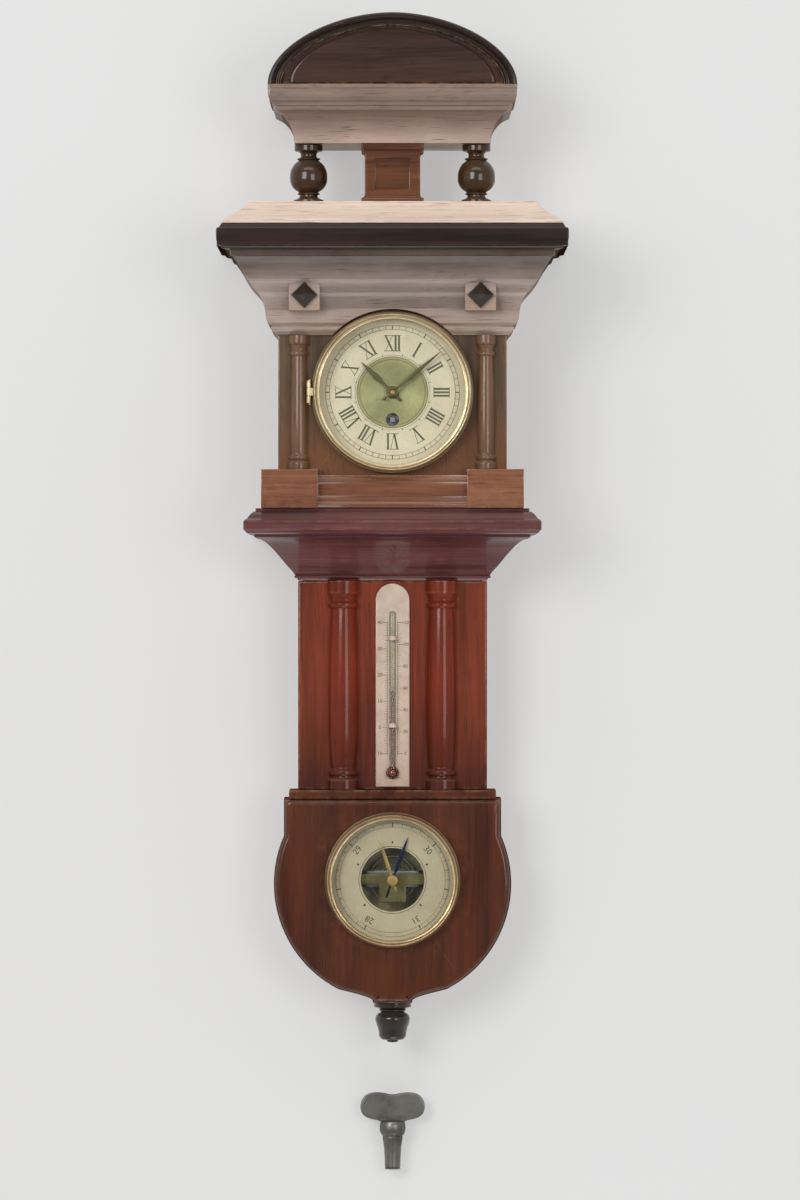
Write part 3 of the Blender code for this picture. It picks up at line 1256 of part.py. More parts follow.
def plates(brass):
    """Both plates with their pivot holes; the back one has its pillars, the front one its dial posts."""
    half, inset = PLATE_HALF_WIDTH, PLATE_CORNER_INSET
    corners = [
        (x, DIAL_Z + z)
        for x in (half - inset, -half + inset)
        for z in (PLATE_ABOVE - inset, -PLATE_BELOW + inset)
    ]
    low, high = DIAL_Z - PLATE_BELOW, DIAL_Z + PLATE_ABOVE
    train = (THIRD, FOURTH, ESCAPE, LEVER, BALANCE)
    margin = PLATE_THICKNESS + CUT_PAST

    def holes(back, wide):
        bores = [rod(PIVOT_RADIUS + PIVOT_CLEARANCE, back + margin, back - margin, at) for at in train]
        for at, radius in wide:
            bores.append(rod(radius, back + margin, back - margin, at, ROUND_TURNED))
        return bores

    shape = block((-half, BACK_PLATE_BACK, low), (half, BACK_PLATE_FRONT, high))
    pillars = [
        rod(PILLAR_RADIUS, BACK_PLATE_FRONT + PLATE_THICKNESS / 2, FRONT_PLATE_BACK + GAP, at)
        for at in corners
    ]
    wide = ((CENTRE, CENTRE_PIVOT_RADIUS + PIVOT_CLEARANCE), (BARREL, WINDING_RADIUS + PIVOT_CLEARANCE))
    shape = cut(joined(shape, *pillars), *holes(BACK_PLATE_BACK, wide))
    piece("movement_back_plate", shape, brass)

    shape = block((-half, FRONT_PLATE_BACK, low), (half, FRONT_PLATE_FRONT, high))
    posts = [
        rod(PILLAR_RADIUS, FRONT_PLATE_BACK - PLATE_THICKNESS / 2,
            FRONT_PLATE_FRONT - DIAL_POST_LENGTH, at)
        for at in corners
    ]
    posts.append(rod(CLICK_STUD_RADIUS, FRONT_PLATE_FRONT + PLATE_THICKNESS / 2, STUD_FRONT, CLICK))
    posts.append(rod(MINUTE_STUD_RADIUS, FRONT_PLATE_FRONT + PLATE_THICKNESS / 2, STUD_FRONT, MINUTE))
    wide = ((CENTRE, CANNON_RADIUS + PIVOT_CLEARANCE), (BARREL, WINDING_RADIUS + PIVOT_CLEARANCE))
    shape = cut(joined(shape, *posts), *holes(FRONT_PLATE_BACK, wide))
    piece("movement_front_plate", shape, brass)


def barrel_and_spring(brass, steel):
    """Spring barrel, open at the back and with the great wheel at its front, and its mainspring."""
    back = BACK_PLATE_FRONT - BARREL_SETBACK
    front = back - BARREL_HEIGHT
    bore = BARREL_ARBOR_RADIUS + PIVOT_CLEARANCE
    outline = [
        (BARREL_RADIUS, back), (BARREL_RADIUS, GREAT_BACK - LAP), (bore, GREAT_BACK - LAP),
        (bore, front + BARREL_WALL), (BARREL_RADIUS - BARREL_WALL, front + BARREL_WALL),
        (BARREL_RADIUS - BARREL_WALL, back),
    ]
    drum = turned_facing(outline, ROUND_MEDIUM, BARREL, closed=True)
    first = BARREL_DIRECTION + math.pi
    great = wheel(BARREL, GREAT_TEETH, GREAT_MODULE, first, GREAT_BACK)
    hole = rod(bore, GREAT_BACK + CUT_PAST, GREAT_BACK - CUT_PAST, BARREL, ROUND_TURNED)
    pivot = (BARREL[0], GREAT_BACK, BARREL[1])
    piece("spring_barrel", joined(drum, cut(great, hole)), brass, pivot)

    inner_start = BARREL_ARBOR_RADIUS + GAP
    outer_end = BARREL_RADIUS - BARREL_WALL - MAINSPRING_THICKNESS - GAP
    steps = MAINSPRING_TURNS * MAINSPRING_STEPS
    inside, outside = [], []
    for step in range(steps + 1):
        turn = math.tau * step / MAINSPRING_STEPS
        radius = inner_start + (outer_end - inner_start) * step / steps
        inside.append(offset(BARREL, radius, turn))
        outside.append(offset(BARREL, radius + MAINSPRING_THICKNESS, turn))
    coil = prism(inside + outside[::-1], back - BARREL_WALL, front + BARREL_WALL + GAP)
    piece("mainspring", coil, steel, pivot)


def winding_work(steel):
    """Winding arbor with its square and ratchet wheel, and the click that holds it."""
    sleeve_back = BACK_PLATE_FRONT - SHAKE
    sleeve_front = FRONT_PLATE_BACK + SHAKE
    outline = [(0, BACK_PLATE_BACK), (WINDING_RADIUS, BACK_PLATE_BACK), (WINDING_RADIUS, sleeve_back)]
    outline += [(BARREL_ARBOR_RADIUS, sleeve_back), (BARREL_ARBOR_RADIUS, sleeve_front)]
    end = RATCHET_BACK - LAP
    outline += [(WINDING_RADIUS, sleeve_front), (WINDING_RADIUS, end), (0, end)]
    shaft = turned_facing(outline, ROUND_TURNED, BARREL)
    half = WINDING_SQUARE / 2
    stem = block(
        (BARREL[0] - half, CHAPTER_BACK, BARREL[1] - half),
        (BARREL[0] + half, RATCHET_BACK + LAP, BARREL[1] + half),
    )
    points = []
    pitch = math.tau / RATCHET_TEETH
    for tooth in range(RATCHET_TEETH):
        turn = CLICK_TIP_DIRECTION + pitch * tooth
        points.append(offset(BARREL, RATCHET_RADIUS, turn))
        points.append(offset(BARREL, RATCHET_RADIUS - RATCHET_DEPTH, turn + pitch * RATCHET_LEAN_SHARE))
    ratchet = prism(points, RATCHET_BACK, RATCHET_BACK - RATCHET_THICKNESS)
    pivot = (BARREL[0], RATCHET_BACK, BARREL[1])
    piece("winding_arbor", joined(shaft, stem, ratchet), steel, pivot)

    away = CLICK_TURN_OUT
    outline = [
        offset(offset(CLICK, CLICK_LENGTH * along, away), CLICK_WIDTH / 2 * across, away + math.pi / 2)
        for along, across in CLICK_SHARES
    ]
    shape = prism(outline, RATCHET_BACK, RATCHET_BACK - RATCHET_THICKNESS)
    bore = rod(
        CLICK_STUD_RADIUS + PIVOT_CLEARANCE, RATCHET_BACK + CUT_PAST,
        RATCHET_BACK - RATCHET_THICKNESS - CUT_PAST, CLICK,
    )
    piece("click", cut(shape, bore), steel, (CLICK[0], RATCHET_BACK, CLICK[1]))


def going_train(brass, steel):
    """Centre, third, fourth and escape wheels, each with the pinion on its arbor."""
    pinion_first = BARREL_DIRECTION + math.pi / LARGE_PINION_TEETH
    outline = [(0, BACK_PLATE_BACK), (CENTRE_PIVOT_RADIUS, BACK_PLATE_BACK)]
    end = MINUTE_HAND_FRONT - HAND_GAP / 2
    outline += [(CENTRE_PIVOT_RADIUS, CENTRE_BACK), (CANNON_RADIUS, CENTRE_BACK)]
    outline += [(CANNON_RADIUS, end), (0, end)]
    parts = [
        turned_facing(outline, ROUND_SMALL, CENTRE),
        wheel(CENTRE, CENTRE_TEETH, CENTRE_MODULE, THIRD_DIRECTION, CENTRE_BACK),
        pinion(CENTRE, LARGE_PINION_TEETH, GREAT_MODULE, pinion_first, GREAT_BACK),
        pinion(CENTRE, CANNON_TEETH, MOTION_MODULE, MINUTE_DIRECTION, CANNON_BACK),
    ]
    piece("centre_wheel", joined(*parts), brass, (CENTRE[0], CENTRE_BACK, CENTRE[1]))

    small = math.pi / SMALL_PINION_TEETH
    runs = (
        ("third_wheel", THIRD, THIRD_TEETH, THIRD_MODULE, THIRD_BACK, FOURTH_DIRECTION,
         CENTRE_MODULE, CENTRE_BACK, THIRD_DIRECTION),
        ("fourth_wheel", FOURTH, FOURTH_TEETH, FOURTH_MODULE, FOURTH_BACK, ESCAPE_DIRECTION,
         THIRD_MODULE, THIRD_BACK, FOURTH_DIRECTION),
    )
    for name, at, teeth, module, back, onward, pinion_module, driver_back, driver_way in runs:
        shape = joined(
            pivoted_arbor(at),
            wheel(at, teeth, module, onward, back),
            pinion(at, SMALL_PINION_TEETH, pinion_module, driver_way + math.pi + small, driver_back),
        )
        piece(name, shape, brass, (at[0], back, at[1]))

    points = []
    pitch = math.tau / ESCAPE_TEETH
    for tooth in range(ESCAPE_TEETH):
        turn = pitch * tooth
        points.append(offset(ESCAPE, ESCAPE_RADIUS, turn))
        points.append(offset(ESCAPE, ESCAPE_RADIUS - ESCAPE_TOOTH, turn + pitch * ESCAPE_BACK_SHARE))
        points.append(offset(ESCAPE, ESCAPE_RADIUS - ESCAPE_TOOTH, turn + pitch * ESCAPE_ROOT_SHARE))
    shape = joined(
        pivoted_arbor(ESCAPE),
        prism(points, ESCAPE_BACK, ESCAPE_BACK - WHEEL_THICKNESS),
        pinion(ESCAPE, SMALL_PINION_TEETH, FOURTH_MODULE, ESCAPE_DIRECTION + math.pi + small, FOURTH_BACK),
    )
    piece("escape_wheel", shape, steel, (ESCAPE[0], ESCAPE_BACK, ESCAPE[1]))


def escapement(brass, steel):
    """Pallet lever between the escape wheel and the balance, and the balance wheel."""
    towards_wheel = LEVER_DIRECTION + math.pi
    parts = [pivoted_arbor(LEVER)]
    for swing in (-PALLET_SPREAD, PALLET_SPREAD):
        parts.append(bar(LEVER, PALLET_REACH, towards_wheel + swing, LEVER_ARM_WIDTH, ESCAPE_BACK))
    parts.append(bar(LEVER, LEVER_ARM, BALANCE_DIRECTION, LEVER_ARM_WIDTH, ESCAPE_BACK))
    piece("pallet_lever", joined(*parts), steel, (LEVER[0], ESCAPE_BACK, LEVER[1]))

    rim = ring(BALANCE_RADIUS - BALANCE_RIM, BALANCE_RADIUS, BALANCE_BACK,
               BALANCE_BACK - WHEEL_THICKNESS, BALANCE, ROUND_MEDIUM)
    spokes = [
        bar(BALANCE, BALANCE_RADIUS - BALANCE_RIM / 2, turn, BALANCE_SPOKE, BALANCE_BACK)
        for turn in (0, math.pi)
    ]
    shape = joined(rim, *spokes, pivoted_arbor(BALANCE))
    piece("balance_wheel", shape, brass, (BALANCE[0], BALANCE_BACK, BALANCE[1]))


def bar(start, length, direction, width, back):
    """A flat straight arm from a point, one wheel thick and a little thinner."""
    side = direction + math.pi / 2
    end = offset(start, length, direction)
    outline = [
        offset(start, width / 2, side), offset(end, width / 2, side),
        offset(end, -width / 2, side), offset(start, -width / 2, side),
    ]
    return prism(outline, back - LAP, back - WHEEL_THICKNESS + LAP)


def motion_work(brass):
    """Minute wheel on its stud, and the hour wheel whose pipe carries the hour hand."""
    bore = rod(MINUTE_STUD_RADIUS + PIVOT_CLEARANCE, CANNON_BACK + CUT_PAST, STUD_FRONT - CUT_PAST, MINUTE)
    half_tooth = math.pi / MINUTE_TEETH
    shape = joined(
        wheel(MINUTE, MINUTE_TEETH, MOTION_MODULE, MINUTE_DIRECTION + math.pi + half_tooth, CANNON_BACK),
        pinion(MINUTE, MINUTE_PINION_TEETH, MOTION_MODULE, MINUTE_DIRECTION + math.pi, HOUR_BACK),
        rod(MINUTE_HUB_RADIUS, CANNON_BACK - LAP, HOUR_BACK - LAP, MINUTE),
    )
    piece("minute_wheel", cut(shape, bore), brass, (MINUTE[0], CANNON_BACK, MINUTE[1]))

    half_tooth = math.pi / HOUR_TEETH
    pipe = rod(HOUR_PIPE_RADIUS, HOUR_BACK - LAP, HOUR_HAND_FRONT - LAP, CENTRE, ROUND_TURNED)
    shape = joined(
        wheel(CENTRE, HOUR_TEETH, MOTION_MODULE, MINUTE_DIRECTION + half_tooth, HOUR_BACK), pipe
    )
    bore = rod(CANNON_RADIUS + PIPE_CLEARANCE, HOUR_BACK + CUT_PAST, MINUTE_HAND_FRONT, CENTRE, ROUND_TURNED)
    piece("hour_wheel", cut(shape, bore), brass, (CENTRE[0], HOUR_BACK, CENTRE[1]))


def clock_hands(steel):
    """Hour and minute hands, pressed on the hour pipe and on the centre arbor."""
    runs = (
        ("hour_hand", HOUR_HAND_LENGTH, HAND_BOSS_RADIUS * HOUR_BOSS_SHARE, HOUR_HAND_ANGLE,
         HOUR_HAND_FRONT, HOUR_PIPE_RADIUS + GAP),
        ("minute_hand", MINUTE_HAND_LENGTH, HAND_BOSS_RADIUS, MINUTE_HAND_ANGLE,
         MINUTE_HAND_FRONT, CANNON_RADIUS + GAP),
    )
    for name, length, boss, angle, front, bore in runs:
        outline = around(hand_outline(length, HAND_TAIL, HAND_WIDTH, boss), CENTRE, angle)
        shape = prism(outline, front + HAND_THICKNESS, front)
        hole = rod(bore, front + HAND_THICKNESS + CUT_PAST, front - CUT_PAST, CENTRE, ROUND_TURNED)
        piece(name, cut(shape, hole), steel, (CENTRE[0], front, CENTRE[1]))


def winding_key(steel):
    """A flat-winged key with a round barrel and a square socket at its end."""
    shoulder = KEY_Z + KEY_BARREL_LENGTH / 2
    right = [(KEY_WING_HALF_WIDTH * x, shoulder + KEY_WING_HEIGHT * z) for x, z in KEY_WING_SHARES]
    wings = prism(mirrored(right), KEY_Y + KEY_THICKNESS / 2, KEY_Y - KEY_THICKNESS / 2)
    bottom = KEY_Z - KEY_BARREL_LENGTH / 2
    outline = turned_outline(KEY_BARREL_SHARES, KEY_BARREL_RADIUS, bottom, KEY_BARREL_LENGTH)
    stem = turned(outline, ROUND_TURNED, (0, KEY_Y))
    side = WINDING_SQUARE / 2 + KEY_SOCKET_CLEARANCE
    socket = block(
        (-side, KEY_Y - side, bottom - CUT_PAST), (side, KEY_Y + side, bottom + KEY_SOCKET_DEPTH)
    )
    return piece("winding_key", cut(joined(stem, wings), socket), steel)


def main():
    clear_scene()
    mahogany = finish("mahogany", (0.23, 0.07, 0.035), 0.35)
    red_wood = finish("red_wood", (0.3, 0.085, 0.035), 0.32)
    dark_wood = finish("dark_wood", (0.07, 0.03, 0.022), 0.35)
    pale_wood = finish("pale_wood", (0.55, 0.42, 0.33), 0.3)
    back_wood = finish("back_wood", (0.25, 0.15, 0.09), 0.7)
    ebonised = finish("ebonised", (0.03, 0.02, 0.018), 0.3)
    brass = finish("brass", (0.6, 0.45, 0.2), 0.3, 1.0)
    gilt = finish("gilt", (0.35, 0.32, 0.16), 0.45, 0.6)
    steel = finish("steel", (0.25, 0.25, 0.24), 0.4, 1.0)
    blued = finish("blued_steel", (0.04, 0.045, 0.07), 0.35, 1.0)
    silvered = finish("silvered_metal", (0.6, 0.58, 0.5), 0.4, 0.9)
    ivory = finish("ivory_card", (0.72, 0.66, 0.47), 0.5)
    glass = finish("glass", (0.85, 0.88, 0.87), 0.05)

    back_board(back_wood)
    hanger(brass, steel)
    box_shell(mahogany)
    front_board(mahogany)
    upper_cornice(dark_wood)
    cornice_slope(pale_wood)
    gallery(red_wood, dark_wood)
    hood(dark_wood, mahogany)
    box_columns(mahogany, ebonised)
    plinth(red_wood)
    lower_cornice(dark_wood)
    trunk(mahogany, red_wood)
    thermometer(silvered, glass)
    barometer_housing(mahogany)
    pendant_finial(ebonised)
    barometer_pan(brass)
    barometer_face(ivory, brass, glass)
    aneroid(silvered, steel, brass)
    barometer_hands(blued, brass)
    clock_face(brass, ivory, gilt, glass)
    plates(brass)
    barrel_and_spring(brass, steel)
    winding_work(steel)
    going_train(brass, steel)
    escapement(brass, steel)
    motion_work(brass)
    clock_hands(blued)
    winding_key(steel)


main()
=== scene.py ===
"""The looks of a wall clock with a thermometer and an aneroid barometer in one wooden case.

Lengths are in metres, +Z is up, the wall is the plane y = 0 and the front of the clock faces -Y.
Places come from the solids of the frame; each function says in words how its surface is worked out.
"""

import json
import math

import bmesh
import bpy
import numpy as np
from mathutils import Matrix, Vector


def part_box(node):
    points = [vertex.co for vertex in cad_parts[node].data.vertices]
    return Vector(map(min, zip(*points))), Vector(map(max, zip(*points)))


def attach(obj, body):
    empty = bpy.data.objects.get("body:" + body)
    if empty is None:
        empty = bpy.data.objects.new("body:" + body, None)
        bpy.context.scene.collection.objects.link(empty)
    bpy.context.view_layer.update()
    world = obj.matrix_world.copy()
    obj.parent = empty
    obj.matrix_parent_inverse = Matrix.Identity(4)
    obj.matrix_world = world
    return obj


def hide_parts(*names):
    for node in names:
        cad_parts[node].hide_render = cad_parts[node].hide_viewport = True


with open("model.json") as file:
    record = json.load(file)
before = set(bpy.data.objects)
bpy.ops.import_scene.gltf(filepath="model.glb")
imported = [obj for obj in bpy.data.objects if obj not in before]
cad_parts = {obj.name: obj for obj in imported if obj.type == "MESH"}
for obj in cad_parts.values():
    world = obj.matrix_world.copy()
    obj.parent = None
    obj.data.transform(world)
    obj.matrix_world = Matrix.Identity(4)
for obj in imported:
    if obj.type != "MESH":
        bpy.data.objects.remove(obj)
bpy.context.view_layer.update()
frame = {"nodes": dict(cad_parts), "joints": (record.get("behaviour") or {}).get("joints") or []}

# How finely surfaces are divided
SIDES_FINE = 160
SIDES_TURNED = 72
SIDES_SMALL = 28
CURVE_STEPS = 6
CORNER_STEPS = 4
SHARP_ANGLE = math.radians(32)
# Points nearer to each other than this become one
MERGE = 0.000001

# The air between neighbours, how far a cut runs past a face, and how far inside a wide face's edge
# a second line of points lies
GAP = 0.0003
CUT_PAST = 0.004
HOLD = 0.0009

# How wide rounded edges are
EDGE_BOARD = 0.0012
EDGE_KEY = 0.0009
EDGE_SOFT = 0.0008
EDGE_WORKED = 0.0006
EDGE_FINE = 0.0004
EDGE_CRISP = 0.0003
EDGE_METAL = 0.0002
EDGE_HAND = 0.00016
EDGE_HINGE = 0.0001

# Sizes that the solids' boxes don't show
HOOD_REACH = 0.0195
HOOD_CORNER = 0.0012
ARCH_THICKNESS = 0.0095
ARCH_POWER = 1.85
ARCH_STEPS = 96
ARCH_LEDGE = 0.0022
ARCH_QUIRK = 0.0016
# How large the panel's outline is and how deep it lies, from its border to its raised field
PANEL_STEPS = ((1, 0.0016), (0.93, 0.0016), (0.915, 0.0003), (0.9, 0), (0.888, 0))
SLOPE_REACH = 0.0395
CORNICE_REACH = 0.0435
CORNICE_CORNER = 0.0006
COVE_HEIGHT = 0.06
CORONA_HEIGHT = 0.018
CORNICE_DEEPEST = 0.06
BOSS_SEAT = 0.011
BLOCK_STEP = 0.0025
BLOCK_PANEL_HALF = 0.0125
BLOCK_PANEL_DEPTH = 0.0012
PLINTH_REACH = 0.012
PLINTH_SIDE_STEP = 0.0016
PLINTH_HEIGHT = 0.0235
PLINTH_BLOCK_WIDTH = 0.027
BACK_EDGE = 0.003
BOX_WALL = 0.008
HOUSING_EDGE = 0.0042
HOUSING_QUIRK = 0.0009
HOUSING_QUIRK_DEPTH = 0.0008
HOUSING_SHOULDER = 0.915
HOUSING_LEDGE = 0.872
HOUSING_STEP = 0.006
HOUSING_SHELF = 0.0064
SHELF_REACH = (0.002, 0.0022)
HOUSING_DROP = 0.0029
HOUSING_TAIL = ((1, 1), (0.62, 0.62), (0.4, 0.3), (0.36, 0))
HANGER_HOLE = 0.0045
HANGER_SLOT = 0.0025
HANGER_SLOT_TOP = 0.009
HANGER_POCKET = 0.009
SCREW_SHANK = 0.0015
SCREW_HEAD = 0.003
SCREW_HEAD_DEPTH = 0.0012
SCREW_HEAD_SMALL = 0.0026
SCREW_SLOT_HALF = 0.0003
# A thread's root and crest in shares of the shank, its steps, and how far it keeps from both ends
THREAD_SHARES = (0.8, 0.99)
THREAD_STEPS = 15
THREAD_END = 0.001
BEZEL_RIM = 0.0055
BEZEL_ROOM = 0.0015
BEZEL_BORE = 0.0543
HINGE_RADIUS = 0.0016
HINGE_PIN = 0.0007
HINGE_LENGTH = 0.016
HINGE_LEG = 0.0015
HINGE_LEAF = 0.001
HINGE_LAP = 0.0045
PAN_WALL = 0.054
PAN_SHEET = 0.001
PAN_BORE = 0.0045
PAN_BEND = 0.0006
PAN_LIP = 0.0005
WINDING_HOLE = 0.0048
RING_SOFT = 0.00025
CHAPTER_INNER = 0.0257
CENTRE_BORE = 0.0045
NUMERAL_HEIGHT = 0.0115
NUMERAL_FOOT = 0.0295
NUMERAL_THICK = 0.0014
NUMERAL_THIN = 0.00042
TRACK_INNER = 0.0452
TRACK_OUTER = 0.048
TRACK_LINE = 0.00015
MINUTE_WIDTH = 0.0003
HOUR_WIDTH = 0.0008
HALF_HOUR_WIDTH = 0.0004
HALF_HOUR_ENDS = (0.0012, 0.0026)
GILT_RINGS = (0.0042, 0.0022)
GILT_PITCH = 0.0009
GILT_DEPTH = 0.00008
HAND_THICK = 0.0005
MARK_BACK = 0.0003
MARK_RISE = 0.00006
BAROMETER_RIM = 0.005
BAROMETER_BORE = 0.0458
BAROMETER_WALL = 0.0455
BAROMETER_INNER = 0.023
BAROMETER_BEND = 0.0008
FLOOR_LINE = ((0.0395, 0), (0.0392, 0.0001), (0.0388, 0))
CAPSULE_STEM = 0.003
CAPSULE_POST = 0.0025
CAPSULE_RIDGE = 0.0008
CAPSULE_RIDGES = 5
CAPSULE_FLAT = (0.94, 0.26)
SPRING_THICK = 0.0016
SPRING_BEND = 0.004
BRIDGE_THICK = 0.0015
BRIDGE_HALF = 0.004
BRIDGE_POST = 0.002
BRIDGE_EYE = 0.0012
SCALE_RADIUS = 0.0412
SCALE_END = math.radians(150)
DIAMOND_START = math.radians(18)
DIAMOND = ((0, -0.0013), (0.0008, 0), (0, 0.0013), (-0.0008, 0))
DIAMOND_PLACE = 0.0042
# How long and how wide the strokes for a tenth, half an inch and a fortieth are
SCALE_STROKES = ((0.002, 0.00042), (0.0034, 0.0007), (0.001, 0.0002))
INCH_SIZE = 0.0064
INCH_PLACE = 0.008
SET_STEM = 0.0012
KNOB_RADIUS = 0.0042
EAR_OUTER = 0.0098
EAR_WALL = 0.0015
EAR_DEEP = 0.0026
EAR_ABOVE = 0.003
LEVER_ARBOR = 0.0011
PLATE_THICK = 0.0016
TUBE_RADIUS = 0.0024
STRAP_THICK = 0.0007
STRAP_WIDTH = 0.003
STRAP_FOOT = 0.0028
STRAP_SUNK = 0.0004
STRAP_SHARES = (0.3, 0.85)
SPIRIT_SHARE = 0.52
KEY_WING_HEIGHT = 0.02
KEY_THICKNESS = 0.003
KEY_BARREL_RADIUS = 0.0095
KEY_BARREL_LENGTH = 0.036
KEY_SOCKET = 0.002
KEY_SOCKET_DEPTH = 0.012

# Numbers and hands. A hand is its length, its tail, half its width, its boss and where it is widest.
ROMAN_HOURS = ("I", "II", "III", "IIII", "V", "VI", "VII", "VIII", "IX", "X", "XI", "XII")
SCALE_INCHES = range(28, 32)
CLOCK_HANDS = (
    ("Hour", (0.031, 0.009, 0.0021, 0.0046, 0.5), math.radians(-46), 0.0033),
    ("Minute", (0.0455, 0.009, 0.0017, 0.0036, 0.4), math.radians(50), 0.002),
)
PRESSURE_HAND = (0.033, 0.0138, 0.0016, 0.0036, 0.34)
PRESSURE_ANGLE = math.radians(20)
SET_HAND = (0.03, 0.0088, 0.0014, 0.0034, 0.3)
SET_ANGLE = math.radians(-18)
# Each scale's side, its steps, its first number, how much each step adds, and its numbers' size and place
THERMOMETER_SCALES = ((-1, 5, -10, 10, 0.0037, -0.0092), (1, 6, 0, 20, 0.0034, 0.0093))
DEGREES_BELOW = 0.014
DEGREES_ABOVE = 0.006
DEGREES_BESIDE = 0.0012
DEGREES_LINE = 0.00022
# How long and how wide the marks for one, five and ten degrees are
DEGREE_MARKS = ((0.0017, 0.0002), (0.0026, 0.0002), (0.0034, 0.00032))

# Finishes: how strong each effect is, what it is coloured, and relief as strength and depth
PATCHES = 0.42
PORES = 0.55
WOOD_GRIME = 0.5
WOOD_WEAR = 0.55
TARNISHED = 0.75
METAL_GRIME = 0.6
METAL_WEAR = 0.5
PORE_BROWN = "#1a0d08"
GRIME = "#150c08"
DUST = "#a39a8f"
SPOT = "#2b1f12"
OLD_OIL = "#20170d"
FOXING = "#6f5a3a"
CARD_SCRATCH = "#8d8468"
SMEARS = ("#10130f", "#2a2d28")
SPIRIT_DARK = "#3a0a08"
WOOD_RELIEF = (0.22, 0.0003)
METAL_RELIEF = (0.12, 0.00008)
FADE_STRAY = 0.6
POLISH_ENDS = (0.84, 0.95)
WOOD_SPECULAR = 0.12
GLASS_IOR = 1.5
HIDDEN_WORK = (
    (("spring_barrel", "centre_wheel", "third_wheel", "fourth_wheel", "minute_wheel", "hour_wheel",
      "balance_wheel"), "gear_brass"),
    (("mainspring", "escape_wheel", "pallet_lever", "winding_arbor", "click"), "steel"),
    (("movement_back_plate", "movement_front_plate"), "plate_brass"),
)

# Wall, light and camera
WALL_PLACE = 0.0006
WALL_HALF = 6
WALL_LIGHT = "#e2e2e2"
WALL_DARK = "#dddcda"
WALL_SHARE = 0.5
AMBIENT = 0.55
AMBIENT_BEHIND_CAMERA = 0.25
AMBIENT_EDGE = (0.6, 0.97)
# Each lamp's name, its place, what it points at, its width and height, and its power
LAMPS = (
    ("Window light", (-1.9, -3.9, 0.9), (0, -0.05, -0.1), (1.8, 1.7), 80),
    ("Fill light", (1.8, -4.0, 0.15), (0, -0.05, -0.1), (1.6, 1.6), 38),
    ("Top light", (0, -1.9, 2.2), (0, -0.05, -0.1), (2.6, 0.6), 14),
    ("Light off the floor", (0.1, -0.85, -2.1), (0, -0.08, -0.1), (1.0, 0.5), 4),
)
LENS = 200
SENSOR = 36
FRAME_HEIGHT = 0.864
FOCUS_Y = -0.08
VIEW_X = 0.0054
VIEW_Z = -0.216


def box_of(node):
    """The lowest and the highest corner of a solid."""
    low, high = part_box(node)
    return Vector(low), Vector(high)


def low_of(node):
    """The lowest corner of a solid."""
    return box_of(node)[0]


def high_of(node):
    """The highest corner of a solid."""
    return box_of(node)[1]


def middle(node):
    """The centre of a solid's box: half the sum of its corners."""
    low, high = box_of(node)
    return (low + high) / 2


def dial_middle(glass):
    """The middle of a dial across and up, from the pane in front of it."""
    return (0, middle(glass).z)


def joint_at(name):
    """Where a joint's axis lies."""
    return next(joint for joint in frame["joints"] if joint["name"] == name)["pos_m"]


# Meshes: a shell is a pair of points and faces

def grid_faces(rows, columns, wrap_rows=False, wrap_columns=True):
    """Quads between neighbours of a grid of points, closed round its columns, its rows or both."""
    row = np.arange(rows if wrap_rows else rows - 1)[:, None]
    column = np.arange(columns if wrap_columns else columns - 1)[None, :]
    next_row, next_column = (row + 1) % rows, (column + 1) % columns
    corners = (
        row * columns + column, row * columns + next_column,
        next_row * columns + next_column, next_row * columns + column,
    )
    return np.stack([corner + 0 * row + 0 * column for corner in corners], axis=-1).reshape(-1, 4)


def loft(rings, caps=True, closed=False):
    """A shell over rings of points, each ring closed; caps fill the first and the last ring."""
    rows, columns, _ = rings.shape
    faces = grid_faces(rows, columns, wrap_rows=closed).tolist()
    if caps and not closed:
        faces.append(list(range(columns)))
        faces.append(list(range((rows - 1) * columns, rows * columns)))
    return rings.reshape(-1, 3), faces


def together(*shells):
    """Several shells as one."""
    points, faces, start = [], [], 0
    for shell_points, shell_faces in shells:
        points.append(shell_points)
        faces += [[corner + start for corner in face] for face in shell_faces]
        start += len(shell_points)
    return np.concatenate(points), faces


def curve(points, steps=CURVE_STEPS):
    """A smooth curve through points: each span is a cubic whose slopes are those of its neighbours' chords.

    It stays inside the box of its points, so no piece grows past its solid.
    """
    knots = np.asarray(points, float)
    before = np.vstack([2 * knots[0] - knots[1], knots[:-1]])
    after = np.vstack([knots[1:], 2 * knots[-1] - knots[-2]])
    slope = (after - before) / 2
    share = np.linspace(0, 1, steps, endpoint=False)[None, :, None]
    start, end = knots[:-1, None], knots[1:, None]
    leave, arrive = slope[:-1, None], slope[1:, None]
    spans = (
        (2 * share**3 - 3 * share**2 + 1) * start + (share**3 - 2 * share**2 + share) * leave
        + (3 * share**2 - 2 * share**3) * end + (share**3 - share**2) * arrive
    )
    smooth = np.vstack([spans.reshape(-1, knots.shape[1]), knots[-1:]])
    return np.clip(smooth, knots.min(axis=0), knots.max(axis=0))


def outline(*runs, steps=CURVE_STEPS):
    """Runs of points joined with a corner between them; a run of two points is straight."""
    parts = [np.asarray(run, float) if len(run) < 3 else curve(run, steps) for run in runs]
    return np.vstack(parts)


def lathe(profile, centre, axis, sides=SIDES_TURNED, closed=False):
    """A profile of (radius, height) carried round an axis: x = r cos t, the other way r sin t."""
    profile = np.asarray(profile, float)
    turn = np.linspace(0, math.tau, sides, endpoint=False)
    radius, height = profile[:, :1], np.broadcast_to(profile[:, 1:], (len(profile), sides))
    across, other = radius * np.cos(turn), radius * np.sin(turn)
    if axis == "z":
        rings = np.stack([centre[0] + across, centre[1] + other, height], axis=-1)
    else:
        rings = np.stack([centre[0] + across, height, centre[1] + other], axis=-1)
    return loft(rings, closed=closed)


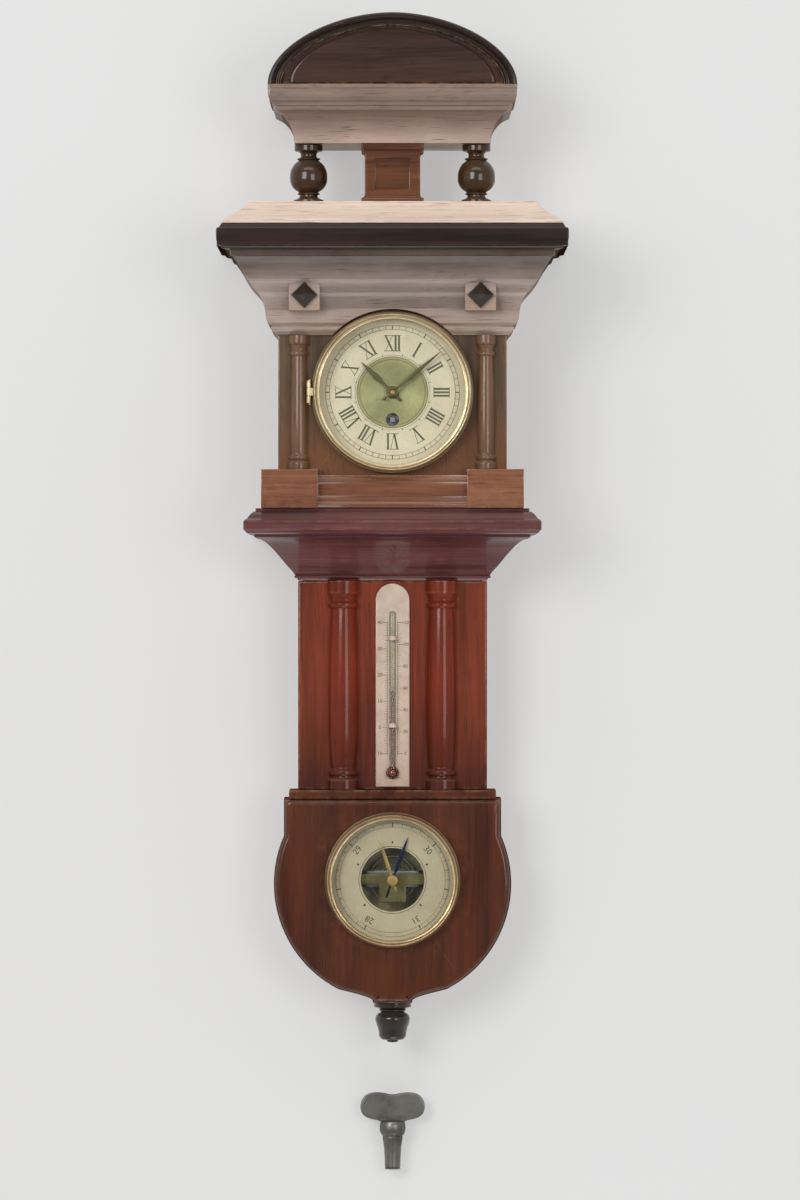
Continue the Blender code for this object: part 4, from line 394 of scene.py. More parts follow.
def rod(radius, start, end, centre, axis="y", sides=SIDES_TURNED):
    """A plain round bar between two places along its axis."""
    return lathe([(0, start), (radius, start), (radius, end), (0, end)], centre, axis, sides)


def half_lathe(profile, x, wall, sides=SIDES_TURNED):
    """Half of a turned column: the profile is carried from one edge of its flat back to the other."""
    profile = np.asarray(profile, float)
    turn = np.linspace(math.pi, math.tau, sides // 2 + 1)
    radius, height = profile[:, :1], np.broadcast_to(profile[:, 1:], (len(profile), len(turn)))
    rings = np.stack([x + radius * np.cos(turn), wall + radius * np.sin(turn), height], axis=-1)
    return loft(rings)


def held(points, distance=HOLD):
    """A run of points with two more in each long straight span, near its ends, so that wear stays there."""
    start, end = points[:-1], points[1:]
    length = np.linalg.norm(end - start, axis=1)
    share = np.where(length > 3 * distance, distance / np.maximum(length, MERGE), 0)[:, None]
    near, far = start + (end - start) * share, end - (end - start) * share
    spans = np.stack([start, near, far], axis=1).reshape(-1, points.shape[1])
    keep = np.repeat(share[:, 0] > 0, 3)
    keep[::3] = True
    return np.vstack([spans[keep], points[-1:]])


def rounded_rectangle(half_width, back, front, corner):
    """A rectangle seen from above with its two front corners rounded, as arrays along its levels."""
    turn = np.linspace(0, math.pi / 2, CORNER_STEPS + 1)
    half_width, front = half_width[:, None], front[:, None]
    right_x = half_width - corner + corner * np.cos(turn)
    right_y = front + corner - corner * np.sin(turn)
    right_x = np.hstack([right_x[:, :1], right_x, right_x[:, -1:] - HOLD])
    right_y = np.hstack([right_y[:, :1] + HOLD, right_y, right_y[:, -1:]])
    left_x, left_y = -right_x[:, ::-1], right_y[:, ::-1]
    back_y = np.full_like(half_width, back)
    right_x = np.hstack([half_width - HOLD, half_width, half_width, right_x])
    left_x = np.hstack([left_x, -half_width, -half_width, HOLD - half_width])
    y = np.hstack([back_y, back_y, back_y - HOLD, right_y, left_y, back_y - HOLD, back_y, back_y])
    return np.hstack([right_x, left_x]), y


def moulding(levels, half_width, back, front, side_reach, front_reach, corner):
    """A moulding round the front and sides: levels are (share of the reach, height), lowest first."""
    scale = np.array([max(side_reach, front_reach), 1])
    out, height = (held(levels * scale) / scale).T
    x, y = rounded_rectangle(half_width + side_reach * out, back, front - front_reach * out, corner)
    z = np.broadcast_to(height[:, None], x.shape)
    return loft(np.stack([x, y, z], axis=-1))


def levels_between(shares, bottom, top, reach=1):
    """A profile from shares of its reach and of its height; without a reach, the first stay shares."""
    shares = np.asarray(shares, float)
    return np.stack([shares[:, 0] * reach, bottom + (top - bottom) * shares[:, 1]], axis=-1)


def stacked(layers):
    """A shell over flat outlines of (x, z) points, each with its y."""
    return loft(np.stack([np.insert(np.asarray(points, float), 1, y, axis=1) for points, y in layers]))


def prism(points, back, front):
    """A flat outline of (x, z) points carried from one y to another."""
    return stacked([(points, back), (points, front)])


def upright_prism(points, low, high):
    """A flat outline of (x, y) points carried from one height to another."""
    points = np.asarray(points, float)
    return loft(np.stack([np.insert(points, 2, z, axis=1) for z in (low, high)]))


def both_sides(points):
    """Half an outline and its mirror image across x = 0, as one closed outline."""
    return np.vstack([points, (points * (-1, 1))[::-1]])


def block(low, high):
    """A plain block between its lowest and its highest corner."""
    low, high = Vector(low), Vector(high)
    corners = [(low.x, low.z), (high.x, low.z), (high.x, high.z), (low.x, high.z)]
    return prism(corners, low.y, high.y)


def arc(centre, radius, start, end, steps):
    """Points of an arc, ends included: centre + radius (cos t, sin t)."""
    turn = np.linspace(start, end, steps + 1)
    return np.stack([centre[0] + radius * np.cos(turn), centre[1] + radius * np.sin(turn)], axis=-1)


def turned_clockwise(points, centre, angle):
    """Points about the origin turned clockwise as seen from the front, then moved to a centre."""
    x, z = np.asarray(points, float).T
    cosine, sine = math.cos(angle), math.sin(angle)
    return np.stack([centre[0] + x * cosine + z * sine, centre[1] - x * sine + z * cosine], axis=-1)


def mesh_object(label, shell):
    """An object from a shell, its doubled points merged and its faces turned outwards."""
    name = label.replace(" ", "_")
    points, faces = shell
    mesh = bpy.data.meshes.new(name)
    mesh.from_pydata(np.asarray(points).tolist(), [], faces)
    editing = bmesh.new()
    editing.from_mesh(mesh)
    bmesh.ops.remove_doubles(editing, verts=editing.verts, dist=MERGE)
    bmesh.ops.recalc_face_normals(editing, faces=editing.faces)
    if editing.calc_volume(signed=True) < 0:
        bmesh.ops.reverse_faces(editing, faces=editing.faces)
    editing.to_mesh(mesh)
    editing.free()
    made = bpy.data.objects.new(name, mesh)
    bpy.context.scene.collection.objects.link(made)
    return made


def applied(made):
    """The object with its modifiers applied to its mesh."""
    bpy.context.view_layer.update()
    graph = bpy.context.evaluated_depsgraph_get()
    old, mesh = made.data, bpy.data.meshes.new_from_object(made.evaluated_get(graph))
    made.modifiers.clear()
    made.data = mesh
    bpy.data.meshes.remove(old)
    mesh.name = made.name
    return made


def combined(made, shells, operation):
    """The object after shells are cut from it or joined to it."""
    others = [mesh_object(f"{made.name}_tool", shell) for shell in shells]
    for other in others:
        step = made.modifiers.new(operation.lower(), "BOOLEAN")
        step.operation = operation
        step.object = other
    applied(made)
    for other in others:
        mesh = other.data
        bpy.data.objects.remove(other, do_unlink=True)
        bpy.data.meshes.remove(mesh)
    return made


def cut(made, *shells):
    """The object with shells taken out of it."""
    return combined(made, shells, "DIFFERENCE")


def joined(made, *shells):
    """The object with shells added to it as one solid."""
    return combined(made, shells, "UNION")


def softened(made, width, segments=2):
    """Rounds the object's sharp edges."""
    step = made.modifiers.new("soft_edges", "BEVEL")
    step.width = width
    step.segments = segments
    step.limit_method = "ANGLE"
    step.angle_limit = SHARP_ANGLE
    step.harden_normals = False
    applied(made)
    return with_held_faces(made)


def with_held_faces(made):
    """Sets a second outline just inside each wide flat face, so that wear stays near its edges."""
    editing = bmesh.new()
    editing.from_mesh(made.data)
    room = 1.3 * HOLD
    wide = [face for face in editing.faces if face.calc_area() > room * face.calc_perimeter()]
    bmesh.ops.inset_individual(editing, faces=wide, thickness=HOLD, use_even_offset=True)
    editing.to_mesh(made.data)
    editing.free()
    return made


def place(made, body, material, *stands_for):
    """Gives a finished piece its body, its finish and the solids that it stands for."""
    made.data.materials.clear()
    for finish in material if isinstance(material, (list, tuple)) else [material]:
        made.data.materials.append(finish)
    made.data.shade_smooth()
    made.data.set_sharp_from_angle(angle=SHARP_ANGLE)
    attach(made, body)
    if stands_for:
        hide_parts(*stands_for)
    return made


def second_finish_above(made, height):
    """Gives the faces whose middle lies above a height the second finish of the piece."""
    middles = np.empty(len(made.data.polygons) * 3)
    made.data.polygons.foreach_get("center", middles)
    made.data.polygons.foreach_set("material_index", (middles[2::3] > height).astype(np.int32))


def piece(name, shell, body, material, *stands_for):
    """A finished piece straight from its shell."""
    return place(mesh_object(name, shell), body, material, *stands_for)


# Finishes: shared effects are groups of shader nodes, each used by many materials

def linear(colour):
    """A colour written as two hexadecimal digits a channel, made linear."""
    values = [int(colour[i : i + 2], 16) / 255 for i in (1, 3, 5)]
    return (*[v / 12.92 if v <= 0.04045 else ((v + 0.055) / 1.055) ** 2.4 for v in values], 1.0)


class Shading:
    """A tree of shader nodes; each value given to it is a number, a colour or another node's output."""

    def __init__(self, tree):
        self.tree = tree

    def fill(self, owner, values):
        """Gives a node's inputs, by name or number, their values."""
        for name, value in values.items():
            if isinstance(value, bpy.types.NodeSocket):
                self.tree.links.new(value, owner.inputs[name])
            else:
                owner.inputs[name].default_value = linear(value) if isinstance(value, str) else value

    def node(self, kind, values=None, **settings):
        """A new node with its own settings and its inputs' values."""
        made = self.tree.nodes.new(f"ShaderNode{kind}")
        for name, setting in settings.items():
            setattr(made, name, setting)
        self.fill(made, values or {})
        return made

    def maths(self, operation, *values, clamp=False):
        """One step of arithmetic on values."""
        return self.node("Math", dict(enumerate(values)), operation=operation, use_clamp=clamp).outputs[0]

    def times(self, first, second):
        """The product of two values."""
        return self.maths("MULTIPLY", first, second)

    def most(self, *values):
        """The largest of several values."""
        first, *rest = values
        return self.maths("MAXIMUM", first, self.most(*rest)) if rest else first

    def mixed(self, share, first, second):
        """A mix of two colours."""
        values = {0: share, 6: first, 7: second}
        return self.node("Mix", values, data_type="RGBA", clamp_factor=True).outputs[2]

    def stained(self, colour, *stains):
        """A colour under stains, each a mask, its strength and its own colour."""
        for mask, strength, stain in stains:
            colour = self.mixed(self.times(mask, strength), colour, stain)
        return colour

    def spread(self, value, low, high, to_low=0.0, to_high=1.0):
        """A value carried from one range to another and kept inside it."""
        values = dict(enumerate((value, low, high, to_low, to_high)))
        return self.node("MapRange", values, clamp=True).outputs[0]

    def noise(self, where, scale, detail, roughness=0.5, stretch=None, distortion=0.0):
        """Noise at a place, stretched along its axes."""
        if stretch:
            where = self.node("Mapping", {"Vector": where, "Scale": stretch}).outputs[0]
        values = {"Vector": where, "Scale": scale, "Detail": detail, "Roughness": roughness}
        return self.node("TexNoise", {**values, "Distortion": distortion}).outputs[0]

    def part(self, vector, axis):
        """One of a vector's three parts."""
        return self.node("SeparateXYZ", {0: vector}).outputs[axis]

    def faded(self, colour, place, towards, start, end, share):
        """A colour that goes over into another along the height between two places, unevenly."""
        stray = abs(end - start) * FADE_STRAY
        uneven = self.maths("MULTIPLY_ADD", self.noise(place, 22, 3), stray, self.part(place, 2))
        faded_by = self.spread(uneven, start + stray / 2, end + stray / 2, 0.0, share)
        return self.mixed(faded_by, colour, towards)

    def group(self, group, values):
        """A shared effect's outputs."""
        return self.node("Group", values, node_tree=group).outputs

    def bump(self, surface, height, strength, distance):
        """Gives a surface relief from a height."""
        made = self.node("Bump", {"Strength": strength, "Distance": distance, "Height": height})
        self.fill(surface, {"Normal": made.outputs[0]})

    def blend(self, share, first, second):
        """A mix of two shaders."""
        return self.node("MixShader", {0: share, 1: first.outputs[0], 2: second.outputs[0]})

    def show(self, shader):
        """Makes a shader the material's own."""
        self.tree.links.new(shader.outputs[0], self.tree.nodes["Material Output"].inputs["Surface"])


def group_of(name, numbers, results):
    """A shared effect: it reads a place and numbers with their usual values, and puts out named results."""
    group = bpy.data.node_groups.new(name, "ShaderNodeTree")
    group.interface.new_socket("Place", in_out="INPUT", socket_type="NodeSocketVector")
    for label, value in numbers.items():
        made = group.interface.new_socket(label, in_out="INPUT", socket_type="NodeSocketFloat")
        made.default_value = value
    for label in results:
        group.interface.new_socket(label, in_out="OUTPUT", socket_type="NodeSocketFloat")
    return Shading(group), group.nodes.new("NodeGroupInput").outputs, group.nodes.new("NodeGroupOutput")


def figured_wood():
    """Grain of sawn wood: long fibres along Z, slow bands, short dark pores and a cross figure."""
    look, given, out = group_of("wood figure", {"Fineness": 1.0}, ("Grain", "Pores", "Patches", "Height"))
    values = {0: given["Place"], "Scale": given["Fineness"]}
    place = look.node("VectorMath", values, operation="SCALE").outputs[0]
    bend = look.noise(place, 9, 2, 0.55, (1, 1, 0.35))
    pushed = look.node("CombineXYZ", {0: look.times(bend, 0.02), 1: look.times(bend, 0.014)}).outputs[0]
    bent = look.node("VectorMath", {0: place, 1: (1, 1, 1), 2: pushed}, operation="MULTIPLY_ADD").outputs[0]
    fibres = look.noise(bent, 420, 6, 0.62, (1, 1, 0.03))
    bands = look.noise(bent, 70, 4, 0.5, (1, 1, 0.05))
    cross = look.noise(bent, 36, 3, 0.5, (1, 1, 0.2))
    pores = look.noise(bent, 1500, 2, 0.5, (1, 1, 0.028))
    grain = look.maths("MULTIPLY_ADD", fibres, 0.45, look.times(bands, 0.55))
    dark = look.spread(pores, 0.6, 0.7)
    look.fill(out, {
        "Grain": look.spread(grain, 0.36, 0.64), "Pores": dark, "Patches": look.spread(cross, 0.3, 0.72),
        "Height": look.maths("SUBTRACT", look.times(fibres, 0.4), look.times(dark, 0.5)),
    })
    return look.tree


def rubbed_edges():
    """Rubbed edges and dusty hollows, from how sharply the surface turns, broken up by noise."""
    look, given, out = group_of("rubbed edges", {"Amount": 1.0}, ("Worn", "Hollow", "Cloud"))
    turn = look.node("NewGeometry").outputs["Pointiness"]
    broken = look.noise(given["Place"], 160, 5, 0.65)
    worn = look.times(look.spread(turn, 0.515, 0.6), look.spread(broken, 0.42, 0.66))
    look.fill(out, {
        "Worn": look.maths("MULTIPLY", worn, given["Amount"], clamp=True),
        "Hollow": look.spread(turn, 0.49, 0.42), "Cloud": look.noise(given["Place"], 28, 5, 0.6),
    })
    return look.tree


def turned_lines():
    """Fine rings left by a lathe tool: noise along the distance from an axis parallel to Y."""
    numbers = {"Centre height": 0.0, "Fineness": 1.0}
    look, given, out = group_of("turned lines", numbers, ("Lines", "Height"))
    parts = look.node("SeparateXYZ", {0: given["Place"]}).outputs
    up = look.maths("SUBTRACT", parts[2], given["Centre height"])
    squares = look.maths("ADD", look.times(parts[0], parts[0]), look.times(up, up))
    reach = look.maths("ADD", look.maths("SQRT", squares), look.times(parts[1], 0.7))
    values = {"W": look.times(reach, given["Fineness"]), "Scale": 2600, "Detail": 3}
    fine = look.node("TexNoise", values, noise_dimensions="1D").outputs[0]
    look.fill(out, {"Lines": fine, "Height": fine})
    return look.tree


def tarnish():
    """Clouds, small spots and long scratches on metal."""
    look, given, out = group_of("tarnish", {}, ("Cloud", "Spots", "Scratches"))
    place, fine = given["Place"], (1, 1, 0.02)
    aslant = look.node("Mapping", {"Vector": place, "Rotation": (0, math.radians(62), 0)}).outputs[0]
    scratches = look.most(look.noise(place, 1400, 2, 0.5, fine), look.noise(aslant, 1200, 2, 0.5, fine))
    look.fill(out, {
        "Cloud": look.spread(look.noise(place, 60, 5, 0.62), 0.38, 0.68),
        "Spots": look.spread(look.noise(place, 900, 3), 0.64, 0.72),
        "Scratches": look.spread(scratches, 0.68, 0.74),
    })
    return look.tree


WOOD_FIGURE = figured_wood()
RUBBED_EDGES = rubbed_edges()
TURNED_LINES = turned_lines()
TARNISH = tarnish()


def material(name):
    """A material, its shading, its Principled shader, and the object's own place that its patterns read."""
    made = bpy.data.materials.new(name)
    made.use_nodes = True
    look = Shading(made.node_tree)
    return made, look, made.node_tree.nodes["Principled BSDF"], look.node("TexCoord").outputs["Object"]


def along(look, place, axis):
    """The place turned so that the grain along Z runs along another axis."""
    turns = {"x": (0, math.pi / 2, 0), "y": (math.pi / 2, 0, 0)}
    if axis not in turns:
        return place
    return look.node("Mapping", {"Vector": place, "Rotation": turns[axis]}).outputs[0]


def wood(name, dark, body, light, axis, roughness, coat, worn="#b98a63", dust=0.25, fade=None):
    """Polished wood: grain between three browns, darker pores and hollows, rubbed edges, a coat of polish.

    A fade is another brown, the two heights it goes over between, and its share. At a very slant look the
    polish goes, so that the undersides of mouldings don't mirror the wall as a sheet of glass would.
    """
    made, look, surface, place = material(name)
    figure = look.group(WOOD_FIGURE, {"Place": along(look, place, axis)})
    edges = look.group(RUBBED_EDGES, {"Place": place})
    colour = look.stained(look.mixed(figure["Grain"], dark, body), (figure["Patches"], PATCHES, light))
    if fade:
        colour = look.faded(colour, place, *fade)
    colour = look.stained(colour, (figure["Pores"], PORES, PORE_BROWN))
    colour = look.mixed(look.spread(edges["Cloud"], 0.35, 0.7, 0.0, 0.2), colour, dark)
    upward = look.part(look.node("NewGeometry").outputs["Normal"], 2)
    lying = look.times(look.spread(upward, 0.5, 0.95), edges["Cloud"])
    colour = look.stained(
        colour, (edges["Hollow"], WOOD_GRIME, GRIME), (edges["Worn"], WOOD_WEAR, worn), (lying, dust, DUST))
    rough = look.spread(edges["Cloud"], 0.3, 0.7, roughness - 0.06, roughness + 0.1)
    slant = look.node("LayerWeight", {"Blend": 0.5}).outputs["Facing"]
    polish = look.spread(slant, *POLISH_ENDS, 1.0, 0.0)
    look.fill(surface, {
        "Base Color": colour, "Roughness": look.maths("ADD", rough, look.times(lying, 0.3)),
        "Coat Weight": look.times(polish, coat), "Coat Roughness": 0.12, "Coat IOR": 1.6,
        "Specular IOR Level": look.times(polish, WOOD_SPECULAR),
    })
    look.bump(surface, figure["Height"], *WOOD_RELIEF)
    return made


def metal(name, base, tarnished, roughness, centre=None, spots=0.35, shine=1.0, fade=None):
    """Metal with clouds of tarnish, spots and scratches, and round a centre the rings of the lathe."""
    made, look, surface, place = material(name)
    age = look.group(TARNISH, {"Place": place})
    edges = look.group(RUBBED_EDGES, {"Place": place})
    colour = look.mixed(look.times(age["Cloud"], TARNISHED), base, tarnished)
    if fade:
        colour = look.faded(colour, place, *fade)
    colour = look.stained(
        colour,
        (age["Spots"], spots, SPOT), (edges["Hollow"], METAL_GRIME, OLD_OIL),
        (edges["Worn"], METAL_WEAR, base),
    )
    height = age["Scratches"]
    if centre is not None:
        rings = look.group(TURNED_LINES, {"Place": place, "Centre height": centre})
        height = look.maths("MULTIPLY_ADD", rings["Height"], 1.4, look.times(height, 0.3))
        colour = look.mixed(look.spread(rings["Lines"], 0.3, 0.7, 0.0, 0.12), colour, tarnished)
    rough = look.spread(age["Cloud"], 0.0, 1.0, roughness, roughness + 0.16)
    look.fill(surface, {
        "Base Color": colour, "Metallic": shine,
        "Roughness": look.maths("ADD", rough, look.times(age["Scratches"], 0.1)),
    })
    look.bump(surface, height, *METAL_RELIEF)
    return made


def card(name, base, foxed, roughness=0.5, coat=0.25):
    """An enamelled or lacquered surface with faint foxing, specks and a little unevenness."""
    made, look, surface, place = material(name)
    edges = look.group(RUBBED_EDGES, {"Place": place, "Amount": 0.6})
    age = look.group(TARNISH, {"Place": place})
    colour = look.mixed(look.spread(edges["Cloud"], 0.35, 0.72, 0.0, 0.75), base, foxed)
    colour = look.stained(colour, (age["Spots"], 0.3, FOXING), (age["Scratches"], 0.2, CARD_SCRATCH))
    look.fill(surface, {
        "Base Color": colour,
        "Roughness": look.spread(edges["Cloud"], 0.3, 0.7, roughness - 0.1, roughness + 0.1),
        "Coat Weight": coat, "Coat Roughness": 0.15,
    })
    look.bump(surface, edges["Cloud"], 0.1, 0.0002)
    return made


def ink(name, colour, worn, roughness=0.45):
    """Printed or filled marks, a little thin in places."""
    made, look, surface, place = material(name)
    thin = look.spread(look.noise(place, 700, 4, 0.6), 0.4, 0.75, 0.0, 0.6)
    look.fill(surface, {
        "Base Color": look.mixed(thin, colour, worn),
        "Roughness": look.spread(thin, 0.0, 0.6, roughness, roughness + 0.2),
    })
    look.bump(surface, thin, 0.15, 0.00005)
    return made


def pane(name, tint):
    """Clear glass with faint smears: light goes straight through, and it mirrors more at a slant."""
    made, look, surface, place = material(name)
    smears = look.spread(look.noise(place, 60, 4, 0.6, distortion=0.8), 0.45, 0.8, 0.02, 0.16)
    dull = look.mixed(smears, *SMEARS)
    look.fill(surface, {"Base Color": dull, "Roughness": smears, "Specular IOR Level": 0.5})
    look.bump(surface, look.noise(place, 30, 2), 0.03, 0.0003)
    seen = look.maths("SUBTRACT", 1.0, look.node("LightPath").outputs["Is Shadow Ray"])
    slant = look.times(look.node("Fresnel", {"IOR": GLASS_IOR}).outputs[0], 0.8)
    clear = look.node("BsdfTransparent", {"Color": tint})
    mirror = look.node("BsdfGlossy", {"Roughness": smears})
    glazed = look.blend(look.times(slant, seen), clear, mirror)
    smeared = look.times(look.spread(smears, 0.05, 0.16, 0.0, 0.035), seen)
    look.show(look.blend(smeared, glazed, surface))
    return made


def liquid(name, colour):
    """Coloured spirit in a fine tube."""
    made, look, surface, place = material(name)
    tone = look.noise(place, 400, 2, 0.5, (1, 1, 0.1))
    shade = look.mixed(look.spread(tone, 0.3, 0.7), colour, SPIRIT_DARK)
    look.fill(surface, {"Base Color": shade, "Roughness": 0.15, "Coat Weight": 1.0})
    look.bump(surface, tone, 0.05, 0.0001)
    return made


# Woodwork

PAIR = ("left", "right")


def moulded(name, node, profile, side_reach, front_reach, corner, finish):
    """A piece of the case that is one moulding as high as its solid."""
    low, high = box_of(node)
    levels = levels_between(profile, low.z, high.z)
    half_width, front = high.x - side_reach, low.y + front_reach
    shell = moulding(levels, half_width, high.y, front, side_reach, front_reach, corner)
    piece(name, shell, "case", finish, node)


def turned_piece(name, node, profile, finish):
    """A turned piece that fills its solid's box; its profile is in shares of its radius and height."""
    low, high = box_of(node)
    shape = levels_between(profile, low.z, high.z, (high.x - low.x) / 2)
    piece(name, lathe(shape, ((low.x + high.x) / 2, (low.y + high.y) / 2), "z"), "case", finish, node)


def superellipse(half_width, rise, floor):
    """The arch from its right foot over the top: (|x| / a)^p + (|z| / b)^p = 1."""
    turn = np.linspace(0, math.pi, ARCH_STEPS + 1)
    across, up = np.cos(turn), np.abs(np.sin(turn))
    up[0] = up[-1] = 0
    x = half_width * np.sign(across) * np.abs(across) ** (2 / ARCH_POWER)
    return np.stack([x, floor + rise * up ** (2 / ARCH_POWER)], axis=-1)


# A cove, a fillet, a quarter-round and a top fillet
HOOD_PROFILE = outline(
    [(0.03, 0), (0.05, 0.09)],
    [(0.05, 0.09), (0.09, 0.2), (0.22, 0.35), (0.45, 0.48), (0.7, 0.55)],
    [(0.78, 0.56), (0.78, 0.63)],
    [(0.83, 0.64), (0.83, 0.68)],
    [(0.84, 0.69), (0.93, 0.735), (0.985, 0.82), (0.975, 0.93)],
    [(1, 0.94), (1, 1)],
)


def hood_cornice(finish):
    """Moulding under the arch: a cove, a fillet, a quarter-round and a top fillet."""
    moulded("Hood cornice", "hood_cornice", HOOD_PROFILE, HOOD_REACH, HOOD_REACH, HOOD_CORNER, finish)


# The arch's front edge from outside in, a round and then a hollow: share of its thickness, depth
ARCH_FRONT = outline(
    [(0, ARCH_LEDGE), (0.07, 0.0006), (0.2, 0), (0.34, 0.0006), (0.4, ARCH_QUIRK)],
    [(0.4, ARCH_QUIRK), (0.45, ARCH_QUIRK)],
    [(0.45, ARCH_QUIRK), (0.6, 0.0034), (0.8, 0.0036), (0.93, ARCH_LEDGE)],
)


def arched_roof(finish):
    """The arch: a section with a rounded and hollowed front edge, carried along a superellipse."""
    low, high = box_of("pediment_arch")
    rise = high.z - low.z
    outer = superellipse(high.x, rise, low.z)
    inner = superellipse(high.x - ARCH_THICKNESS, rise - ARCH_THICKNESS, low.z)
    back, ledge = high.y, low.y + ARCH_LEDGE
    section = np.vstack([
        [(0, back), (0, back - HOLD), (0, ledge + HOLD), (0, ledge)], ARCH_FRONT + (0, low.y),
        [(1, ledge), (1, ledge + HOLD), (1, back - HOLD), (1, back)],
    ])
    share, depth = section[:, 0], section[:, 1]
    flat = outer[:, None] + (inner - outer)[:, None] * share[None, :, None]
    rings = np.stack([flat[..., 0], np.broadcast_to(depth, flat.shape[:2]), flat[..., 1]], axis=-1)
    piece("Arched roof", loft(rings), "case", finish, "pediment_arch")


def arch_panel(finish):
    """The panel in the arch: its outline shrunk in steps gives a sloping border and a raised field."""
    low, high = box_of("pediment_panel")
    edge = superellipse(high.x, high.z - low.z, low.z)
    centre = np.array([0, low.z + (high.z - low.z) * 0.42])
    layers = [(1, high.y), *((scale, low.y + depth) for scale, depth in PANEL_STEPS)]
    shell = stacked([(centre + (edge - centre) * scale, y) for scale, y in layers])
    piece("Arch panel", shell, "case", finish, "pediment_panel")


# A shallow ogee
SLOPE_PROFILE = outline(
    [(0.985, 0), (1, 0.03), (1, 0.1)],
    [(0.97, 0.13), (0.93, 0.22), (0.8, 0.4), (0.68, 0.6), (0.6, 0.76)],
    [(0.57, 0.82), (0.57, 0.9)],
    [(0.55, 0.92), (0.53, 0.96), (0.53, 1)],
)


def cornice_slope(finish):
    """The pale board over the cornice, a shallow ogee in section; its paleness is partly a painted
    highlight.
    """
    reach = SLOPE_REACH
    moulded("Cornice slope", "cornice_slope", SLOPE_PROFILE, reach, reach, CORNICE_CORNER, finish)


# A base, a waist and a cap
BLOCK_PROFILE = outline(
    [(1, 0), (1, 0.075)],
    [(1, 0.075), (0.75, 0.1), (0.25, 0.11), (0, 0.15)],
    [(0, 0.15), (0, 0.85)],
    [(0, 0.85), (0.25, 0.89), (0.75, 0.9), (1, 0.925)],
    [(1, 0.925), (1, 1)],
)


def gallery_block(finish):
    """The block between the columns, waisted by a step and with a sunk panel in its front."""
    low, high = box_of("gallery_block")
    height, step = high.z - low.z, BLOCK_STEP
    levels = levels_between(BLOCK_PROFILE, low.z, high.z)
    made = mesh_object("Gallery block", moulding(
        levels, high.x - step, high.y, low.y + step, step, step, EDGE_SOFT))
    half, deep = BLOCK_PANEL_HALF, low.y + step + BLOCK_PANEL_DEPTH
    cut(made, block((-half, low.y - step, low.z + height * 0.24), (half, deep, low.z + height * 0.76)))
    place(softened(made, EDGE_FINE), "case", finish, "gallery_block")


# A base, a vase and a cap, with rings between them
COLUMN_PROFILE = outline(
    [(0.76, 0), (0.8, 0.012), (0.8, 0.075)],
    [(0.78, 0.08), (0.66, 0.09), (0.5, 0.125), (0.48, 0.16)],
    [(0.56, 0.165), (0.6, 0.18), (0.56, 0.195)],
    [(0.5, 0.2), (0.56, 0.215), (0.8, 0.27), (0.97, 0.36), (1, 0.46),
     (0.96, 0.56), (0.8, 0.66), (0.58, 0.725), (0.5, 0.74)],
    [(0.58, 0.745), (0.63, 0.76), (0.58, 0.775)],
    [(0.46, 0.78), (0.42, 0.81), (0.44, 0.85), (0.55, 0.885)],
    [(0.7, 0.89), (0.75, 0.905), (0.75, 0.985), (0.72, 1)],
    steps=8,
)


def gallery_columns(finish):
    """The vase-shaped columns between cornice and hood."""
    for side in PAIR:
        turned_piece(f"Gallery column {side}", f"gallery_column_{side}", COLUMN_PROFILE, finish)


def box_space(low_z, high_z):
    """What a moulding round the box leaves free for the box."""
    half, front = high_of("box_shell").x, low_of("front_board").y
    return block((-half - GAP, front - GAP, low_z), (half + GAP, CUT_PAST, high_z))


# The dark corona
CORONA_PROFILE = outline(
    [(0.86, 0.0), (0.9, 0.02), (0.93, 0.1)],
    [(0.99, 0.12), (0.99, 0.3)],
    [(0.995, 0.34), (1, 0.5), (1, 0.7), (0.99, 0.82)],
    [(0.96, 0.84), (0.93, 0.93), (0.92, 1)],
)


# A bead, a fillet and a long cove
COVE_PROFILE = outline(
    [(0.04, 0), (0.06, 0.02)],
    [(0.06, 0.02), (0.1, 0.05), (0.12, 0.08), (0.1, 0.11)],
    [(0.1, 0.11), (0.17, 0.14)],
    [(0.17, 0.14), (0.195, 0.2), (0.215, 0.3), (0.25, 0.4), (0.325, 0.49),
     (0.42, 0.565), (0.52, 0.66), (0.63, 0.8), (0.74, 0.92)],
    [(0.78, 0.93), (0.78, 0.985)],
    steps=8,
)


def upper_cornice(cove_finish, corona_finish):
    """Cove and corona round the box, with flats behind the bosses and a round room for the bezel."""
    high = high_of("upper_cornice")
    board, box = low_of("front_board"), high_of("box_shell")
    box_top = high.z - CORONA_HEIGHT
    bottom = box_top - COVE_HEIGHT
    levels = np.vstack([
        levels_between(COVE_PROFILE, bottom, box_top), levels_between(CORONA_PROFILE, box_top, high.z)])
    made = mesh_object("Upper cornice", moulding(
        levels, box.x, high.y, board.y, CORNICE_REACH, CORNICE_REACH, CORNICE_CORNER))
    seats = []
    for side in PAIR:
        centre, boss_back = middle(f"diamond_boss_{side}"), high_of(f"diamond_boss_{side}").y
        seats.append(block(
            (centre.x - BOSS_SEAT, boss_back + GAP, centre.z - BOSS_SEAT),
            (centre.x + BOSS_SEAT, board.y + CUT_PAST, centre.z + BOSS_SEAT),
        ))
    joined(made, *seats)
    dial = dial_middle("clock_glass")
    room = high_of("clock_bezel").z - dial[1] + BEZEL_ROOM
    bezel_room = rod(room, board.y + CUT_PAST, board.y - CORNICE_DEEPEST, dial, sides=SIDES_FINE)
    cut(made, box_space(bottom - CUT_PAST, box_top + GAP), bezel_room)
    # The cove's finish holds painted sheen and painted shade under the corona
    place(softened(made, EDGE_CRISP, 1), "case", [cove_finish, corona_finish], "upper_cornice")
    second_finish_above(made, box_top)


